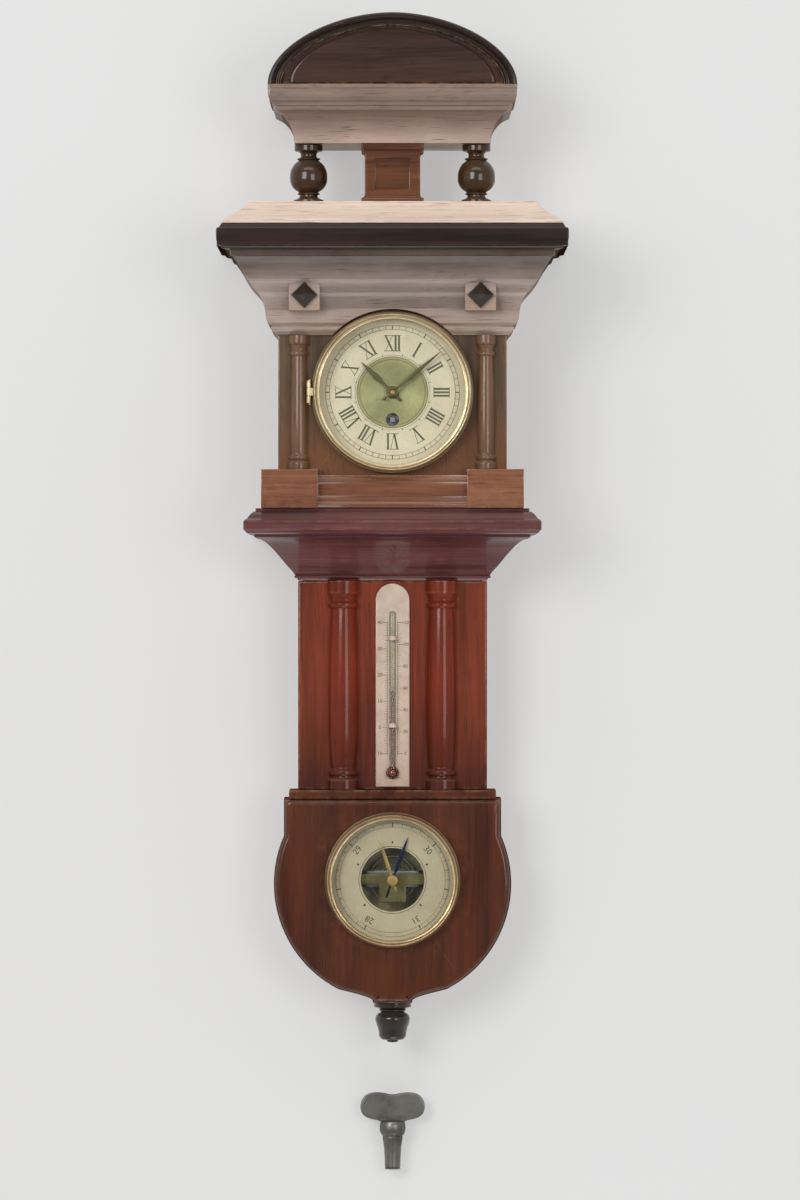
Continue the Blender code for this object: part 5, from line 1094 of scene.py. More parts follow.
def clock_box(finish):
    """The open box of the movement."""
    low, high = box_of("box_shell")
    made = mesh_object("Clock box", block(low, high))
    wall = BOX_WALL
    cut(made, block(
        (low.x + wall, low.y - CUT_PAST, low.z + wall), (high.x - wall, high.y + CUT_PAST, high.z - wall)))
    place(softened(made, EDGE_SOFT), "case", finish, "box_shell")


def front_board(finish):
    """The board on the front of the box with its round opening."""
    low, high = box_of("front_board")
    made = mesh_object("Front board", block(low, high))
    centre = dial_middle("clock_glass")
    cut(made, rod(BEZEL_BORE, low.y - CUT_PAST, high.y + CUT_PAST, centre, sides=SIDES_FINE))
    place(softened(made, EDGE_FINE), "case", finish, "front_board")


def half_columns(name, node, profile, finish):
    """Two turned half-columns against a board; their profile is in shares of their radius and height."""
    wall = high_of(f"{node}_left").y
    for side in PAIR:
        low, high = box_of(f"{node}_{side}")
        shape = levels_between(profile, low.z, high.z, (high.x - low.x) / 2)
        shell = half_lathe(shape, (low.x + high.x) / 2, wall)
        piece(f"{name} {side}", shell, "case", finish, f"{node}_{side}")


# Base and cap with rings, and a shaft that swells a little
BOX_COLUMN_PROFILE = outline(
    [(0.97, 0), (1, 0.004), (1, 0.045)],
    [(0.97, 0.05), (0.86, 0.056), (0.82, 0.066)],
    [(0.9, 0.07), (0.95, 0.08), (0.95, 0.09), (0.9, 0.1)],
    [(0.82, 0.105), (0.77, 0.115), (0.78, 0.14), (0.83, 0.3), (0.8, 0.58), (0.73, 0.8), (0.72, 0.845)],
    [(0.82, 0.85), (0.88, 0.86), (0.88, 0.87), (0.82, 0.88)],
    [(0.74, 0.885), (0.76, 0.905), (0.88, 0.93)],
    [(0.97, 0.935), (1, 0.945), (1, 0.996), (0.98, 1)],
    steps=7,
)

# The same kind, fuller in its shaft
TRUNK_COLUMN_PROFILE = outline(
    [(0.97, 0), (1, 0.003), (1, 0.045)],
    [(0.97, 0.048), (0.82, 0.055), (0.8, 0.064)],
    [(0.9, 0.068), (0.96, 0.076), (0.96, 0.086), (0.9, 0.094)],
    [(0.84, 0.098), (0.8, 0.106), (0.84, 0.13), (0.93, 0.24), (0.96, 0.4),
     (0.95, 0.55), (0.87, 0.76), (0.8, 0.868)],
    [(0.9, 0.872), (0.96, 0.88), (0.96, 0.89), (0.9, 0.898)],
    [(0.82, 0.903), (0.84, 0.92), (0.94, 0.936)],
    [(1, 0.94), (1, 0.997), (0.98, 1)],
    steps=7,
)


def box_columns(finish):
    """The half-columns at the sides of the clock's dial."""
    half_columns("Box half-column", "box_column", BOX_COLUMN_PROFILE, finish)


def trunk_columns(finish):
    """The half-columns at the sides of the thermometer."""
    half_columns("Trunk half-column", "trunk_column", TRUNK_COLUMN_PROFILE, finish)


# How wide a boss is and how far out, from its back to its point, in shares of its solid
BOSS_STEPS = ((1, 0), (1, 0.25), (0.93, 0.35), (0.9, 0.35), (0.5, 0.62), (0.22, 0.86), (0.05, 1))


def diamond_bosses(finish):
    """Cut pyramids set on their corners, their facets a little hollow and their ridges soft."""
    corners = np.array([(1, 0), (0, 1), (-1, 0), (0, -1)])
    share = np.linspace(0, 1, 8, endpoint=False)[None, :, None]
    around = (corners[:, None] + (np.roll(corners, -1, axis=0) - corners)[:, None] * share).reshape(-1, 2)
    for side in PAIR:
        low, high = box_of(f"diamond_boss_{side}")
        centre, half, depth = (low + high) / 2, (high.x - low.x) / 2, high.y - low.y
        spot = (centre.x, centre.z)
        layers = [(around * half * scale + spot, high.y - depth * out) for scale, out in BOSS_STEPS]
        made = mesh_object(f"Diamond boss {side}", stacked(layers))
        place(softened(made, EDGE_CRISP), "case", finish, f"diamond_boss_{side}")


# A torus, a hollow, a flat and an ogee
PLINTH_PROFILE = outline(
    [(0.98, 0), (1, 0.02), (1, 0.1)],
    [(0.9, 0.12), (0.83, 0.2), (0.78, 0.3)],
    [(0.74, 0.32), (0.74, 0.78)],
    [(0.73, 0.8), (0.66, 0.83), (0.6, 0.9), (0.56, 0.94)],
    [(0.5, 0.95), (0.5, 1)],
)


def plinth(finish):
    """Base moulding of the box with a block under each half-column."""
    low, high = box_of("plinth")
    board, box = low_of("front_board"), high_of("box_shell")
    levels = levels_between(PLINTH_PROFILE, low.z, low.z + PLINTH_HEIGHT)
    made = mesh_object("Plinth", moulding(
        levels, box.x, high.y, board.y, PLINTH_REACH - PLINTH_SIDE_STEP, PLINTH_REACH, CORNICE_CORNER))
    inner = abs(middle("box_column_left").x) - PLINTH_BLOCK_WIDTH / 2
    blocks = block((-high.x, low.y, low.z), (-inner, high.y, high.z)), block((inner, low.y, low.z), high)
    joined(made, *blocks)
    cut(made, box_space(low.z - CUT_PAST, high.z + CUT_PAST))
    place(softened(made, EDGE_WORKED), "case", finish, "plinth")


# A bead, a long cove, a bead and a corona
LOWER_PROFILE = outline(
    [(0.0, 0), (0.015, 0.03)],
    [(0.06, 0.035), (0.07, 0.05), (0.06, 0.065)],
    [(0.05, 0.07), (0.11, 0.13), (0.22, 0.22), (0.34, 0.33), (0.47, 0.44), (0.6, 0.53), (0.74, 0.585)],
    [(0.78, 0.59), (0.8, 0.6), (0.8, 0.625)],
    [(0.84, 0.63), (0.93, 0.65), (0.98, 0.69)],
    [(1, 0.7), (1, 0.81)],
    [(0.985, 0.83), (0.93, 0.86), (0.88, 0.91), (0.82, 0.95)],
    [(0.78, 0.955), (0.78, 1)],
    steps=8,
)


def lower_cornice(finish):
    """Cornice under the box whose long cove runs in to the trunk."""
    low, high = box_of("lower_cornice")
    trunk_low, trunk_high = box_of("trunk_case")
    side_run, front_run = high.x - trunk_high.x, trunk_low.y - low.y
    moulded("Lower cornice", "lower_cornice", LOWER_PROFILE, side_run, front_run, CORNICE_CORNER, finish)


def trunk(finish):
    """The shallow case behind the thermometer, open at its back."""
    low, high = box_of("trunk_case")
    made = mesh_object("Trunk", block(low, high))
    wall = BOX_WALL
    cut(made, block(
        (low.x + wall, low.y + wall, low.z + wall), (high.x - wall, high.y + CUT_PAST, high.z - wall)))
    place(softened(made, EDGE_BOARD, 3), "case", finish, "trunk_case")


def housing_outline():
    """Half of the housing: a straight shoulder, an arc, then a curve in to the pendant."""
    low, high = box_of("barometer_housing")
    half_width, top = high.x, high.z - HOUSING_STEP
    centre = (0, middle("barometer_glass").z - HOUSING_DROP)
    shoulder = half_width * HOUSING_SHOULDER
    side = arc(centre, half_width, math.acos(HOUSING_SHOULDER), math.radians(-63), 48)
    rise = np.linspace(top, side[0][1], 7)[:-1]
    side = np.vstack([np.stack([np.full_like(rise, shoulder), rise], axis=-1), side])
    x_end, z_end = side[-1]
    drop = z_end - low.z
    tail = curve([(x_end * across, low.z + drop * up) for across, up in HOUSING_TAIL], 8)
    return np.vstack([[(shoulder - HOUSING_EDGE - 3 * HOLD, top)], side, tail[1:]])


def inset_outline(points, inset):
    """A closed outline moved inwards along its normals, and kept that far above its lowest line."""
    before, after = np.roll(points, 1, axis=0), np.roll(points, -1, axis=0)
    run_in, run_out = points - before, after - points
    run_in /= np.linalg.norm(run_in, axis=1)[:, None]
    run_out /= np.linalg.norm(run_out, axis=1)[:, None]
    normal = np.stack([run_in[:, 1] + run_out[:, 1], -run_in[:, 0] - run_out[:, 0]], axis=-1)
    length = np.linalg.norm(normal, axis=1)[:, None]
    normal /= length
    mitre = 2 / np.maximum(length, 0.8)
    area = np.sum(points[:, 0] * after[:, 1] - after[:, 0] * points[:, 1])
    moved = points - normal * mitre * inset * np.sign(area)
    moved[:, 1] = np.maximum(moved[:, 1], points[:, 1].min() + inset)
    return moved


SHELF_PROFILE = ((0.5, 0), (0.92, 0.12), (1, 0.35), (1, 0.8), (0.9, 1))


def barometer_housing(finish):
    """The round case: a rounded and stepped front edge, a shelf on top and the bore for the pan."""
    low, high = box_of("barometer_housing")
    closed = both_sides(housing_outline())
    front, back, edge, step = low.y, high.y, HOUSING_EDGE, HOUSING_QUIRK
    shoulder = front + edge
    side_end = shoulder + HOUSING_QUIRK_DEPTH
    turn = np.linspace(0, math.pi / 2, 7)
    steps = [
        (0, back), (0, back - HOLD), (0, side_end + HOLD), (0, side_end),
        (step, shoulder + HOUSING_QUIRK_DEPTH / 2), (step, shoulder),
        *zip(step + (edge - step) * (1 - np.cos(turn)), front + edge * (1 - np.sin(turn))),
        (edge + HOLD, front),
    ]
    made = mesh_object("Barometer case", stacked([(inset_outline(closed, inset), y) for inset, y in steps]))
    side, reach = SHELF_REACH
    joined(made, moulding(
        levels_between(SHELF_PROFILE, high.z - HOUSING_SHELF, high.z), high.x * HOUSING_LEDGE - side, back,
        front + reach, side, reach, EDGE_SOFT,
    ))
    centre, floor = dial_middle("barometer_glass"), high_of("barometer_pan").y + GAP
    cut(made, rod(BAROMETER_BORE, front - CUT_PAST, floor, centre, sides=SIDES_FINE))
    place(with_held_faces(made), "case", finish, "barometer_housing")


# A button, a swelling drop, a ring and a cap
PENDANT_PROFILE = outline(
    [(0.02, 0), (0.2, 0.008), (0.3, 0.03), (0.28, 0.055)],
    [(0.36, 0.06), (0.6, 0.085), (0.72, 0.16), (0.74, 0.24)],
    [(0.74, 0.25), (0.8, 0.36), (0.9, 0.5), (0.93, 0.6), (0.84, 0.69), (0.66, 0.75)],
    [(0.6, 0.765), (0.66, 0.775), (0.72, 0.79), (0.72, 0.81)],
    [(0.66, 0.82), (0.8, 0.85), (0.96, 0.875)],
    [(1, 0.885), (1, 0.985), (0.97, 1)],
    steps=8,
)


def pendant_finial(finish):
    """The turned drop at the bottom."""
    turned_piece("Pendant finial", "pendant_finial", PENDANT_PROFILE, finish)


def back_board(finish):
    """The back board, a little inside the case's outline, with the hanger's pocket and screw holes."""
    low, high = box_of("back_board")
    box, trunk_half, edge = high_of("box_shell").x, high_of("trunk_case").x, BACK_EDGE
    corners = [
        (box, high.z), (box, low_of("box_shell").z), (trunk_half, high_of("lower_cornice").z),
        (trunk_half, high_of("barometer_housing").z),
    ]
    right = np.vstack([corners, housing_outline()]) - (edge, 0)
    made = mesh_object("Back board", prism(both_sides(right), high.y, low.y))
    plate_low, plate_high = box_of("hanger_plate")
    recess = block(
        (plate_low.x - GAP, plate_low.y - GAP, plate_low.z - GAP),
        (plate_high.x + GAP, CUT_PAST, plate_high.z + GAP),
    )
    hole = HANGER_HOLE
    pocket = block((-hole, -HANGER_POCKET, -hole), (hole, CUT_PAST, HANGER_SLOT_TOP + hole))
    shanks = []
    for side in PAIR:
        screw, end = middle(f"hanger_screw_{side}"), low_of(f"hanger_screw_{side}").y
        shanks.append(rod(SCREW_SHANK + GAP, CUT_PAST, end - GAP, (screw.x, screw.z), sides=SIDES_SMALL))
    cut(made, recess, pocket, *shanks)
    place(softened(made, EDGE_WORKED, 1), "case", finish, "back_board")


def hanger(brass, steel):
    """The keyhole plate and its slotted, countersunk screws with threads."""
    low, high = box_of("hanger_plate")
    far, hole, head, shank = low.y - CUT_PAST, HANGER_HOLE, SCREW_HEAD, SCREW_SHANK
    seat = -SCREW_HEAD_DEPTH
    made = mesh_object("Hanger plate", block(low, high))
    heads = []
    for side in PAIR:
        name = f"hanger_screw_{side}"
        screw, end = middle(name), low_of(name).y
        centre = (screw.x, screw.z)
        heads.append(lathe([
            (0, CUT_PAST), (head + GAP, CUT_PAST), (head + GAP, seat - GAP), (shank + GAP, seat - GAP),
            (shank + GAP, far), (0, far),
        ], centre, "y"))
        heights = np.linspace(seat - THREAD_END, end + THREAD_END, THREAD_STEPS)
        thread = [(shank * THREAD_SHARES[step % 2], y) for step, y in enumerate(heights)]
        profile = [
            (0, 0), (head - 0.0004, 0), (head - 0.0001, -0.0002), (head, -0.0005), (head, seat),
            (shank, seat), *thread, (shank * 0.4, end), (0, end),
        ]
        screw_made = mesh_object(f"Hanger screw {side}", lathe(profile, centre, "y"))
        half = SCREW_SLOT_HALF
        cut(screw_made, block(
            (screw.x - head, -2 * half, screw.z - half), (screw.x + head, 0.001, screw.z + half)))
        place(screw_made, "case", steel, name)
    slot = block((-HANGER_SLOT, far, 0), (HANGER_SLOT, CUT_PAST, HANGER_SLOT_TOP))
    cut(made, rod(hole, CUT_PAST, far, (0, 0)), slot, *heads)
    place(softened(made, EDGE_METAL), "case", brass, "hanger_plate")


# Dials, bezels and hands

def bezel(radius, rim, back, front, glass_back, glass_front, groove, centre):
    """A turned bezel: its section runs from the back lip round the front to the groove of its glass."""
    lip = radius - rim

    def at(inwards, forwards):
        """A point of the section from shares of the rim's width and of its depth."""
        return radius - rim * inwards, back + (front - back) * forwards

    section = outline(
        [(lip, back), (radius - 0.0003, back)],
        [at(0, 0.03), at(0, 0.3)],
        [at(0, 0.3), at(0.04, 0.38), at(0.1, 0.4)],
        [at(0.1, 0.44), at(0.08, 0.62), at(0.22, 0.86), at(0.42, 1), at(0.62, 0.93)],
        [at(0.64, 0.9), at(0.72, 0.9)],
        [at(0.74, 0.92), at(0.9, 0.9), (lip, glass_front + (front - glass_front) * 0.35)],
        [(lip, glass_front - GAP), (groove, glass_front - GAP)],
        [(groove, glass_back + GAP), (lip, glass_back + GAP)],
    )
    return lathe(section, centre, "y", SIDES_FINE, closed=True)


def bezel_of(node, glass, radius, rim, centre):
    """A bezel as deep as one solid that holds the glass of another."""
    low, high = box_of(node)
    glass_low, glass_high = box_of(glass)
    return bezel(radius, rim, high.y, low.y, glass_high.y, glass_low.y, glass_high.x + GAP, centre)


def glass_disc(node, inner, centre, closed):
    """A pane with softened rims, round a bore or without one."""
    low, high = box_of(node)
    radius, soft = high.x, EDGE_METAL
    section = outline(
        [(inner, high.y), (radius - soft, high.y)],
        [(radius, high.y - soft), (radius, low.y + soft)],
        [(radius - soft, low.y), (inner, low.y)],
    )
    return lathe(section, centre, "y", SIDES_FINE, closed)


def hinge_pin(radius, reach, axis, centre_z):
    """An upright pin that reaches as far up as down from its middle."""
    return rod(radius, centre_z - reach, centre_z + reach, axis, "z", SIDES_SMALL)


def clock_bezel(brass, glass):
    """The hinged bezel with its lug, its pane, and the hinge on the board."""
    centre = dial_middle("clock_glass")
    z = centre[1]
    axis, knuckle, third = joint_at("bezel_door_hinge")[:2], HINGE_RADIUS, HINGE_LENGTH / 3
    radius = high_of("clock_bezel").z - z
    made = mesh_object("Clock bezel", bezel_of("clock_bezel", "clock_glass", radius, BEZEL_RIM, centre))
    flat = axis[0] + HINGE_LAP
    lug = np.vstack([
        arc(axis, knuckle, math.pi / 2, math.pi * 3 / 2, 14),
        [(flat, axis[1] - knuckle), (flat, axis[1] + knuckle)],
    ])
    joined(made, upright_prism(lug, z - third / 2, z + third / 2))
    cut(made, hinge_pin(HINGE_PIN + GAP / 2, third, axis, z))
    place(made, "bezel_door", brass, "clock_bezel")
    piece("Clock glass", glass_disc("clock_glass", 0, centre, False), "bezel_door", glass, "clock_glass")

    low, high = box_of("bezel_hinge")
    right = axis[0] + knuckle - GAP
    left = right - HINGE_LEG
    start, end = (math.acos((edge - axis[0]) / knuckle) for edge in (right, left))
    foot = high.y - 0.0005
    leg = np.vstack([arc(axis, knuckle, start, end - math.tau, 26), [(left, foot), (right, foot)]])
    made = mesh_object("Bezel hinge", block((left, high.y - HINGE_LEAF, low.z), (right, high.y, high.z)))
    joined(
        made,
        upright_prism(leg, z - HINGE_LENGTH / 2, z - third / 2 - GAP),
        upright_prism(leg, z + third / 2 + GAP, z + HINGE_LENGTH / 2),
        hinge_pin(HINGE_PIN, third * 1.2, axis, z),
    )
    place(softened(made, EDGE_HINGE, 1), "case", brass, "bezel_hinge")


def flat_ring(node, inner, centre):
    """A flat ring with soft front edges and a face that rises a little at its middle."""
    low, high = box_of(node)
    outer, back, front, soft = high.x, high.y, low.y, RING_SOFT
    halfway, rise = (inner + outer) / 2, soft * 0.8
    section = outline(
        [(inner, back), (outer, back)],
        [(outer, front + soft * 1.5), (outer - soft, front + rise)],
        [(outer - soft, front + rise), ((halfway + outer) / 2, front + rise * 0.3), (halfway, front),
         ((halfway + inner) / 2, front + rise * 0.3), (inner + soft, front + rise)],
        [(inner, front + soft * 1.5), (inner, back)],
    )
    return lathe(section, centre, "y", SIDES_FINE, closed=True)


def dial_pan(brass):
    """The pan with its flange and the hole over the winding square."""
    centre = dial_middle("clock_glass")
    low, high = box_of("dial_pan")
    wall, inner, bore, sheet = PAN_WALL, PAN_WALL - PAN_SHEET, PAN_BORE, PAN_SHEET
    seat, back, flange = low.y + sheet, high.y, high.z - centre[1]
    section = outline(
        [(bore, back), (wall - PAN_BEND, back)],
        [(wall, back - PAN_BEND), (wall, seat)],
        [(flange, seat), (flange, low.y)],
        [(inner + PAN_LIP, low.y), (inner, low.y + PAN_LIP)],
        [(inner, back - sheet - EDGE_FINE), (inner - EDGE_FINE, back - sheet)],
        [(bore, back - sheet), (bore, back - sheet)],
    )
    made = mesh_object("Dial pan", lathe(section, centre, "y", SIDES_FINE, closed=True))
    cut(made, winding_hole(back + CUT_PAST, back - 0.003))
    place(made, "case", brass, "dial_pan")


def winding_hole(back, front):
    """The round hole over the winding square."""
    x, _, z = joint_at("winding_turn")
    return rod(WINDING_HOLE, back, front, (x, z))


# How far in from the border's edge and how deep, then how far out from the bore and how deep
GILT_BORDER = np.array([
    (0, 0.0003), (0.0003, 0), (0.0003, 0), (0.0012, 0), (0.0014, 0.0003), (0.0022, 0.0003),
    (0.0024, 0.00005), (0.0034, 0.00005), (0.0036, 0.0002),
])
GILT_LIP = np.array([(0.0018, 0.0002), (0.0015, 0), (0, 0)])


def dial_centre(gilt):
    """The gilt centre: a raised border, rings from a cosine of the radius, and the winding hole."""
    low, high = box_of("dial_centre")
    outer, bore, front = high.x, CENTRE_BORE, low.y
    start, end = GILT_RINGS
    radii = np.linspace(outer - start, bore + end, 90)
    waves = front + 0.00014 + GILT_DEPTH * np.cos(radii / GILT_PITCH * math.tau)
    rings = np.stack([radii, waves], axis=-1)
    section = np.vstack([
        [(bore, high.y), (outer, high.y)], (outer, front) + GILT_BORDER * (-1, 1), rings[:1], rings,
        (bore, front) + GILT_LIP, [(bore, high.y)],
    ])
    shell = lathe(section, dial_middle("clock_glass"), "y", SIDES_FINE, closed=True)
    made = mesh_object("Dial centre", shell)
    cut(made, winding_hole(high.y + CUT_PAST, low.y - CUT_PAST))
    place(made, "case", gilt, "dial_centre")


def chapter_ring(ivory):
    """The enamelled ring that carries the hours."""
    ring = flat_ring("chapter_ring", CHAPTER_INNER, dial_middle("clock_glass"))
    piece("Chapter ring", ring, "case", ivory, "chapter_ring")


# Marks: thin raised strokes on a face, in (along, up) of their own spot

def stroke(start, end, width):
    """Corners of a straight stroke; its ends are square to it."""
    start, end = np.asarray(start, float), np.asarray(end, float)
    along_it = (end - start) / np.hypot(*(end - start))
    side = np.array([-along_it[1], along_it[0]]) * width / 2
    return np.array([start - side, end - side, end + side, start + side])


def slanting(foot, top, height, width):
    """Corners of a stroke from a foot on the line 0 to a top, its ends level."""
    half = width / 2
    return np.array([(foot - half, 0), (foot + half, 0), (top + half, height), (top - half, height)])


def raised(outlines, back, front):
    """Outlines as one shell of thin plates."""
    return together(*[prism(points, back, front) for points in outlines])


def roman(number, height, thick, thin):
    """Strokes of a Roman number, its feet on the line 0 and its middle at 0."""
    widths = {"I": thick * 1.75, "V": height * 0.56, "X": height * 0.6}
    signs = ROMAN_HOURS[number - 1]
    total = sum(widths[sign] for sign in signs)
    strokes, left = [], -total / 2
    for sign in signs:
        centre = left + widths[sign] / 2
        half = widths[sign] / 2 - thick * 0.55
        slants = {"I": [(0, 0, thick)], "V": [(0, -half, thick), (0, half, thin)],
                  "X": [(half, -half, thick), (-half, half, thin)]}[sign]
        strokes += [slanting(centre + foot, centre + top, height, width) for foot, top, width in slants]
        left += widths[sign]
    reach = total / 2 + thick * 0.1
    for level in (thin / 2, height - thin / 2):
        strokes.append(stroke((-reach, level), (reach, level), thin))
    return strokes


def ticks(centre, inner, outer, width, angles):
    """Strokes on a circle that point at its centre."""
    return [turned_clockwise(stroke((0, inner), (0, outer), width), centre, angle) for angle in angles]


def thin_ring(inner, outer, back, front, centre):
    """A thin raised line round a centre."""
    section = [(inner, back), (outer, back), (outer, front), (inner, front)]
    return lathe(section, centre, "y", SIDES_FINE, closed=True)


def number_shell(number, size, back, front):
    """A number's outlines as a thin raised shell whose middle is at the origin."""
    drawn = bpy.data.curves.new("number", "FONT")
    drawn.body = str(number)
    drawn.size = size
    drawn.align_x = drawn.align_y = "CENTER"
    drawn.extrude = abs(back - front) / 2
    drawn.resolution_u = 3
    made = bpy.data.objects.new("number", drawn)
    bpy.context.scene.collection.objects.link(made)
    bpy.context.view_layer.update()
    mesh = made.to_mesh()
    points = np.empty(len(mesh.vertices) * 3)
    mesh.vertices.foreach_get("co", points)
    x, z, depth = points.reshape(-1, 3).T
    faces = [list(face.vertices) for face in mesh.polygons]
    made.to_mesh_clear()
    bpy.data.objects.remove(made, do_unlink=True)
    bpy.data.curves.remove(drawn)
    return np.stack([x, (back + front) / 2 - depth, z], axis=-1), faces


def hour_marks(black):
    """Roman hours and the minute track on the chapter ring."""
    centre = dial_middle("clock_glass")
    face = low_of("chapter_ring").y
    back, front = face + MARK_BACK, face - MARK_RISE
    outlines = []
    for hour in range(1, 13):
        outlines += [
            turned_clockwise(points + (0, NUMERAL_FOOT), centre, math.tau * hour / 12)
            for points in roman(hour, NUMERAL_HEIGHT, NUMERAL_THICK, NUMERAL_THIN)
        ]
    minutes = [math.tau * minute / 60 for minute in range(60)]
    between = [turn for number, turn in enumerate(minutes) if number % 5]
    half_hours = [math.tau * (hour + 0.5) / 12 for hour in range(12)]
    foot, top = (CHAPTER_INNER + reach for reach in HALF_HOUR_ENDS)
    outlines += ticks(centre, TRACK_INNER, TRACK_OUTER, MINUTE_WIDTH, between)
    outlines += ticks(centre, TRACK_INNER, TRACK_OUTER, HOUR_WIDTH, minutes[::5])
    outlines += ticks(centre, foot, top, HALF_HOUR_WIDTH, half_hours)
    rings = [(radius - TRACK_LINE, radius + TRACK_LINE) for radius in (TRACK_INNER, TRACK_OUTER)]
    rings.append((CHAPTER_INNER + 0.001, foot))
    shells = [thin_ring(inner, outer, back, front, centre) for inner, outer in rings]
    piece("Hours and minutes", together(raised(outlines, back, front), *shells), "case", black)


def hand_shape(length, tail, half, boss, belly):
    """A hand along +Z: a long leaf, a neck, a round boss and a short tail with a rounded end."""
    start = math.radians(68)
    return both_sides(outline(
        [(0.00008, length), (half * 0.3, length * 0.9), (half * 0.82, length * 0.6), (half, length * belly),
         (half * 0.72, length * (belly - 0.12)), (half * 0.42, boss * 1.55)],
        arc((0, 0), boss, start, -start, 14),
        [(half * 0.42, -boss * 1.4), (half * 0.6, -tail * 0.8), (half * 0.45, -tail * 0.96),
         (0.00005, -tail)],
    ))


def hand(name, shape, centre, angle, back, front, body, finish, bore=None, extra=()):
    """A flat hand turned to its hour, with its bore or with what is riveted to it."""
    made = mesh_object(name, prism(turned_clockwise(hand_shape(*shape), centre, angle), back, front))
    if bore:
        cut(made, rod(bore, back + CUT_PAST, front - CUT_PAST, centre))
    softened(made, EDGE_HAND)
    if extra:
        joined(made, *extra)
    place(made, body, finish, name.lower().replace(" ", "_"))


def clock_hands(finish):
    """The hour hand and, over it, the minute hand."""
    centre = dial_middle("clock_glass")
    for name, shape, angle, bore in CLOCK_HANDS:
        low, high = box_of(f"{name.lower()}_hand")
        hand(f"{name} hand", shape, centre, angle, high.y, low.y, name.lower(), finish, bore)


# Barometer

def barometer_bezel(brass, glass):
    """The fixed bezel and its pane, bored for the set hand's stem."""
    centre = dial_middle("barometer_glass")
    radius = high_of("barometer_bezel").x
    ring = bezel_of("barometer_bezel", "barometer_glass", radius, BAROMETER_RIM, centre)
    piece("Barometer bezel", ring, "case", brass, "barometer_bezel")
    disc = glass_disc("barometer_glass", SET_STEM + GAP, centre, True)
    piece("Barometer glass", disc, "case", glass, "barometer_glass")


def barometer_pan(finish):
    """The closed pan with its flange and a faint turned line in its floor."""
    low, high = box_of("barometer_pan")
    wall, inner, sheet = BAROMETER_WALL, BAROMETER_WALL - PAN_SHEET, PAN_SHEET
    back, front, floor = high.y, low.y, high.y - sheet
    section = outline(
        [(0, back), (wall - BAROMETER_BEND, back)],
        [(wall, back - BAROMETER_BEND), (wall, front + sheet)],
        [(high.x, front + sheet), (high.x, front)],
        [(inner + PAN_LIP, front), (inner, front + PAN_LIP)],
        [(inner, floor - PAN_BEND), (inner - PAN_BEND, floor)],
        [(radius, floor - deep) for radius, deep in FLOOR_LINE],
        [(0.02, floor), (0, floor)],
    )
    shell = lathe(section, dial_middle("barometer_glass"), "y", SIDES_FINE)
    piece("Barometer pan", shell, "case", finish, "barometer_pan")


def barometer_dial(ivory, black):
    """The open dial ring, its scale in inches of mercury, and plain diamonds inside the scale."""
    centre = dial_middle("barometer_glass")
    ring = flat_ring("barometer_dial", BAROMETER_INNER, centre)
    piece("Barometer dial", ring, "case", ivory, "barometer_dial")
    face = low_of("barometer_dial").y
    back, front = face + MARK_BACK, face - MARK_RISE
    end, outer, inner = SCALE_END, SCALE_RADIUS, BAROMETER_INNER
    tenths = np.linspace(-end, end, 31)
    between = [turn for number, turn in enumerate(tenths) if number % 5]
    outlines = []
    for (length, width), turns in zip(SCALE_STROKES, (between, tenths[::5], np.linspace(-end, end, 121))):
        outlines += ticks(centre, outer - length, outer, width, turns)
    diamond = np.array(DIAMOND) + (0, inner + DIAMOND_PLACE)
    turns = np.linspace(-end + DIAMOND_START, end - DIAMOND_START, 5)
    outlines += [turned_clockwise(diamond, centre, turn) for turn in turns]
    rings = (
        (outer - 0.0001, outer + 0.00012), (outer - 0.0031, outer - 0.0029),
        (inner + 0.0012, inner + 0.0015),
    )
    shells = [raised(outlines, back, front)]
    shells += [thin_ring(*radii, back, front, centre) for radii in rings]
    for number, turn in zip(SCALE_INCHES, tenths[::10]):
        points, faces = number_shell(number, INCH_SIZE, back, front)
        flat = turned_clockwise(points[:, [0, 2]] + (0, outer - INCH_PLACE), centre, turn)
        shells.append((np.stack([flat[:, 0], points[:, 1], flat[:, 1]], axis=-1), faces))
    piece("Barometer scale", together(*shells), "case", black)


def capsule(silver):
    """The corrugated vacuum box: ridges from a cosine of the radius on both faces."""
    low, high = box_of("aneroid_capsule")
    centre = middle("aneroid_capsule")
    radius, post = high.x, CAPSULE_POST
    back, front = high.y - CAPSULE_STEM, low.y + CAPSULE_STEM
    wide, narrow = CAPSULE_FLAT
    radii = np.linspace(radius * wide, radius * narrow, 90)
    share = (radii / radius - narrow) / (wide - narrow)
    wave = CAPSULE_RIDGE * (0.5 - 0.5 * np.cos(share * math.tau * CAPSULE_RIDGES))
    rim = outline(
        [(radius * 0.95, back), (radius - 0.0003, back)],
        [(radius, back - 0.0006), (radius * 0.985, (back + front) / 2), (radius, front + 0.0006)],
        [(radius - 0.0003, front), (radius * 0.95, front)],
    )
    section = np.vstack([
        [(0, high.y), (post, high.y), (post, back)], np.stack([radii, back - wave], axis=-1)[::-1], rim,
        np.stack([radii, front + wave], axis=-1),
        [(post, front), (post, low.y + 0.0004), (post - 0.0004, low.y), (0, low.y)],
    ])
    shell = lathe(section, (centre.x, centre.z), "y", SIDES_FINE)
    piece("Aneroid capsule", shell, "case", silver, "aneroid_capsule")


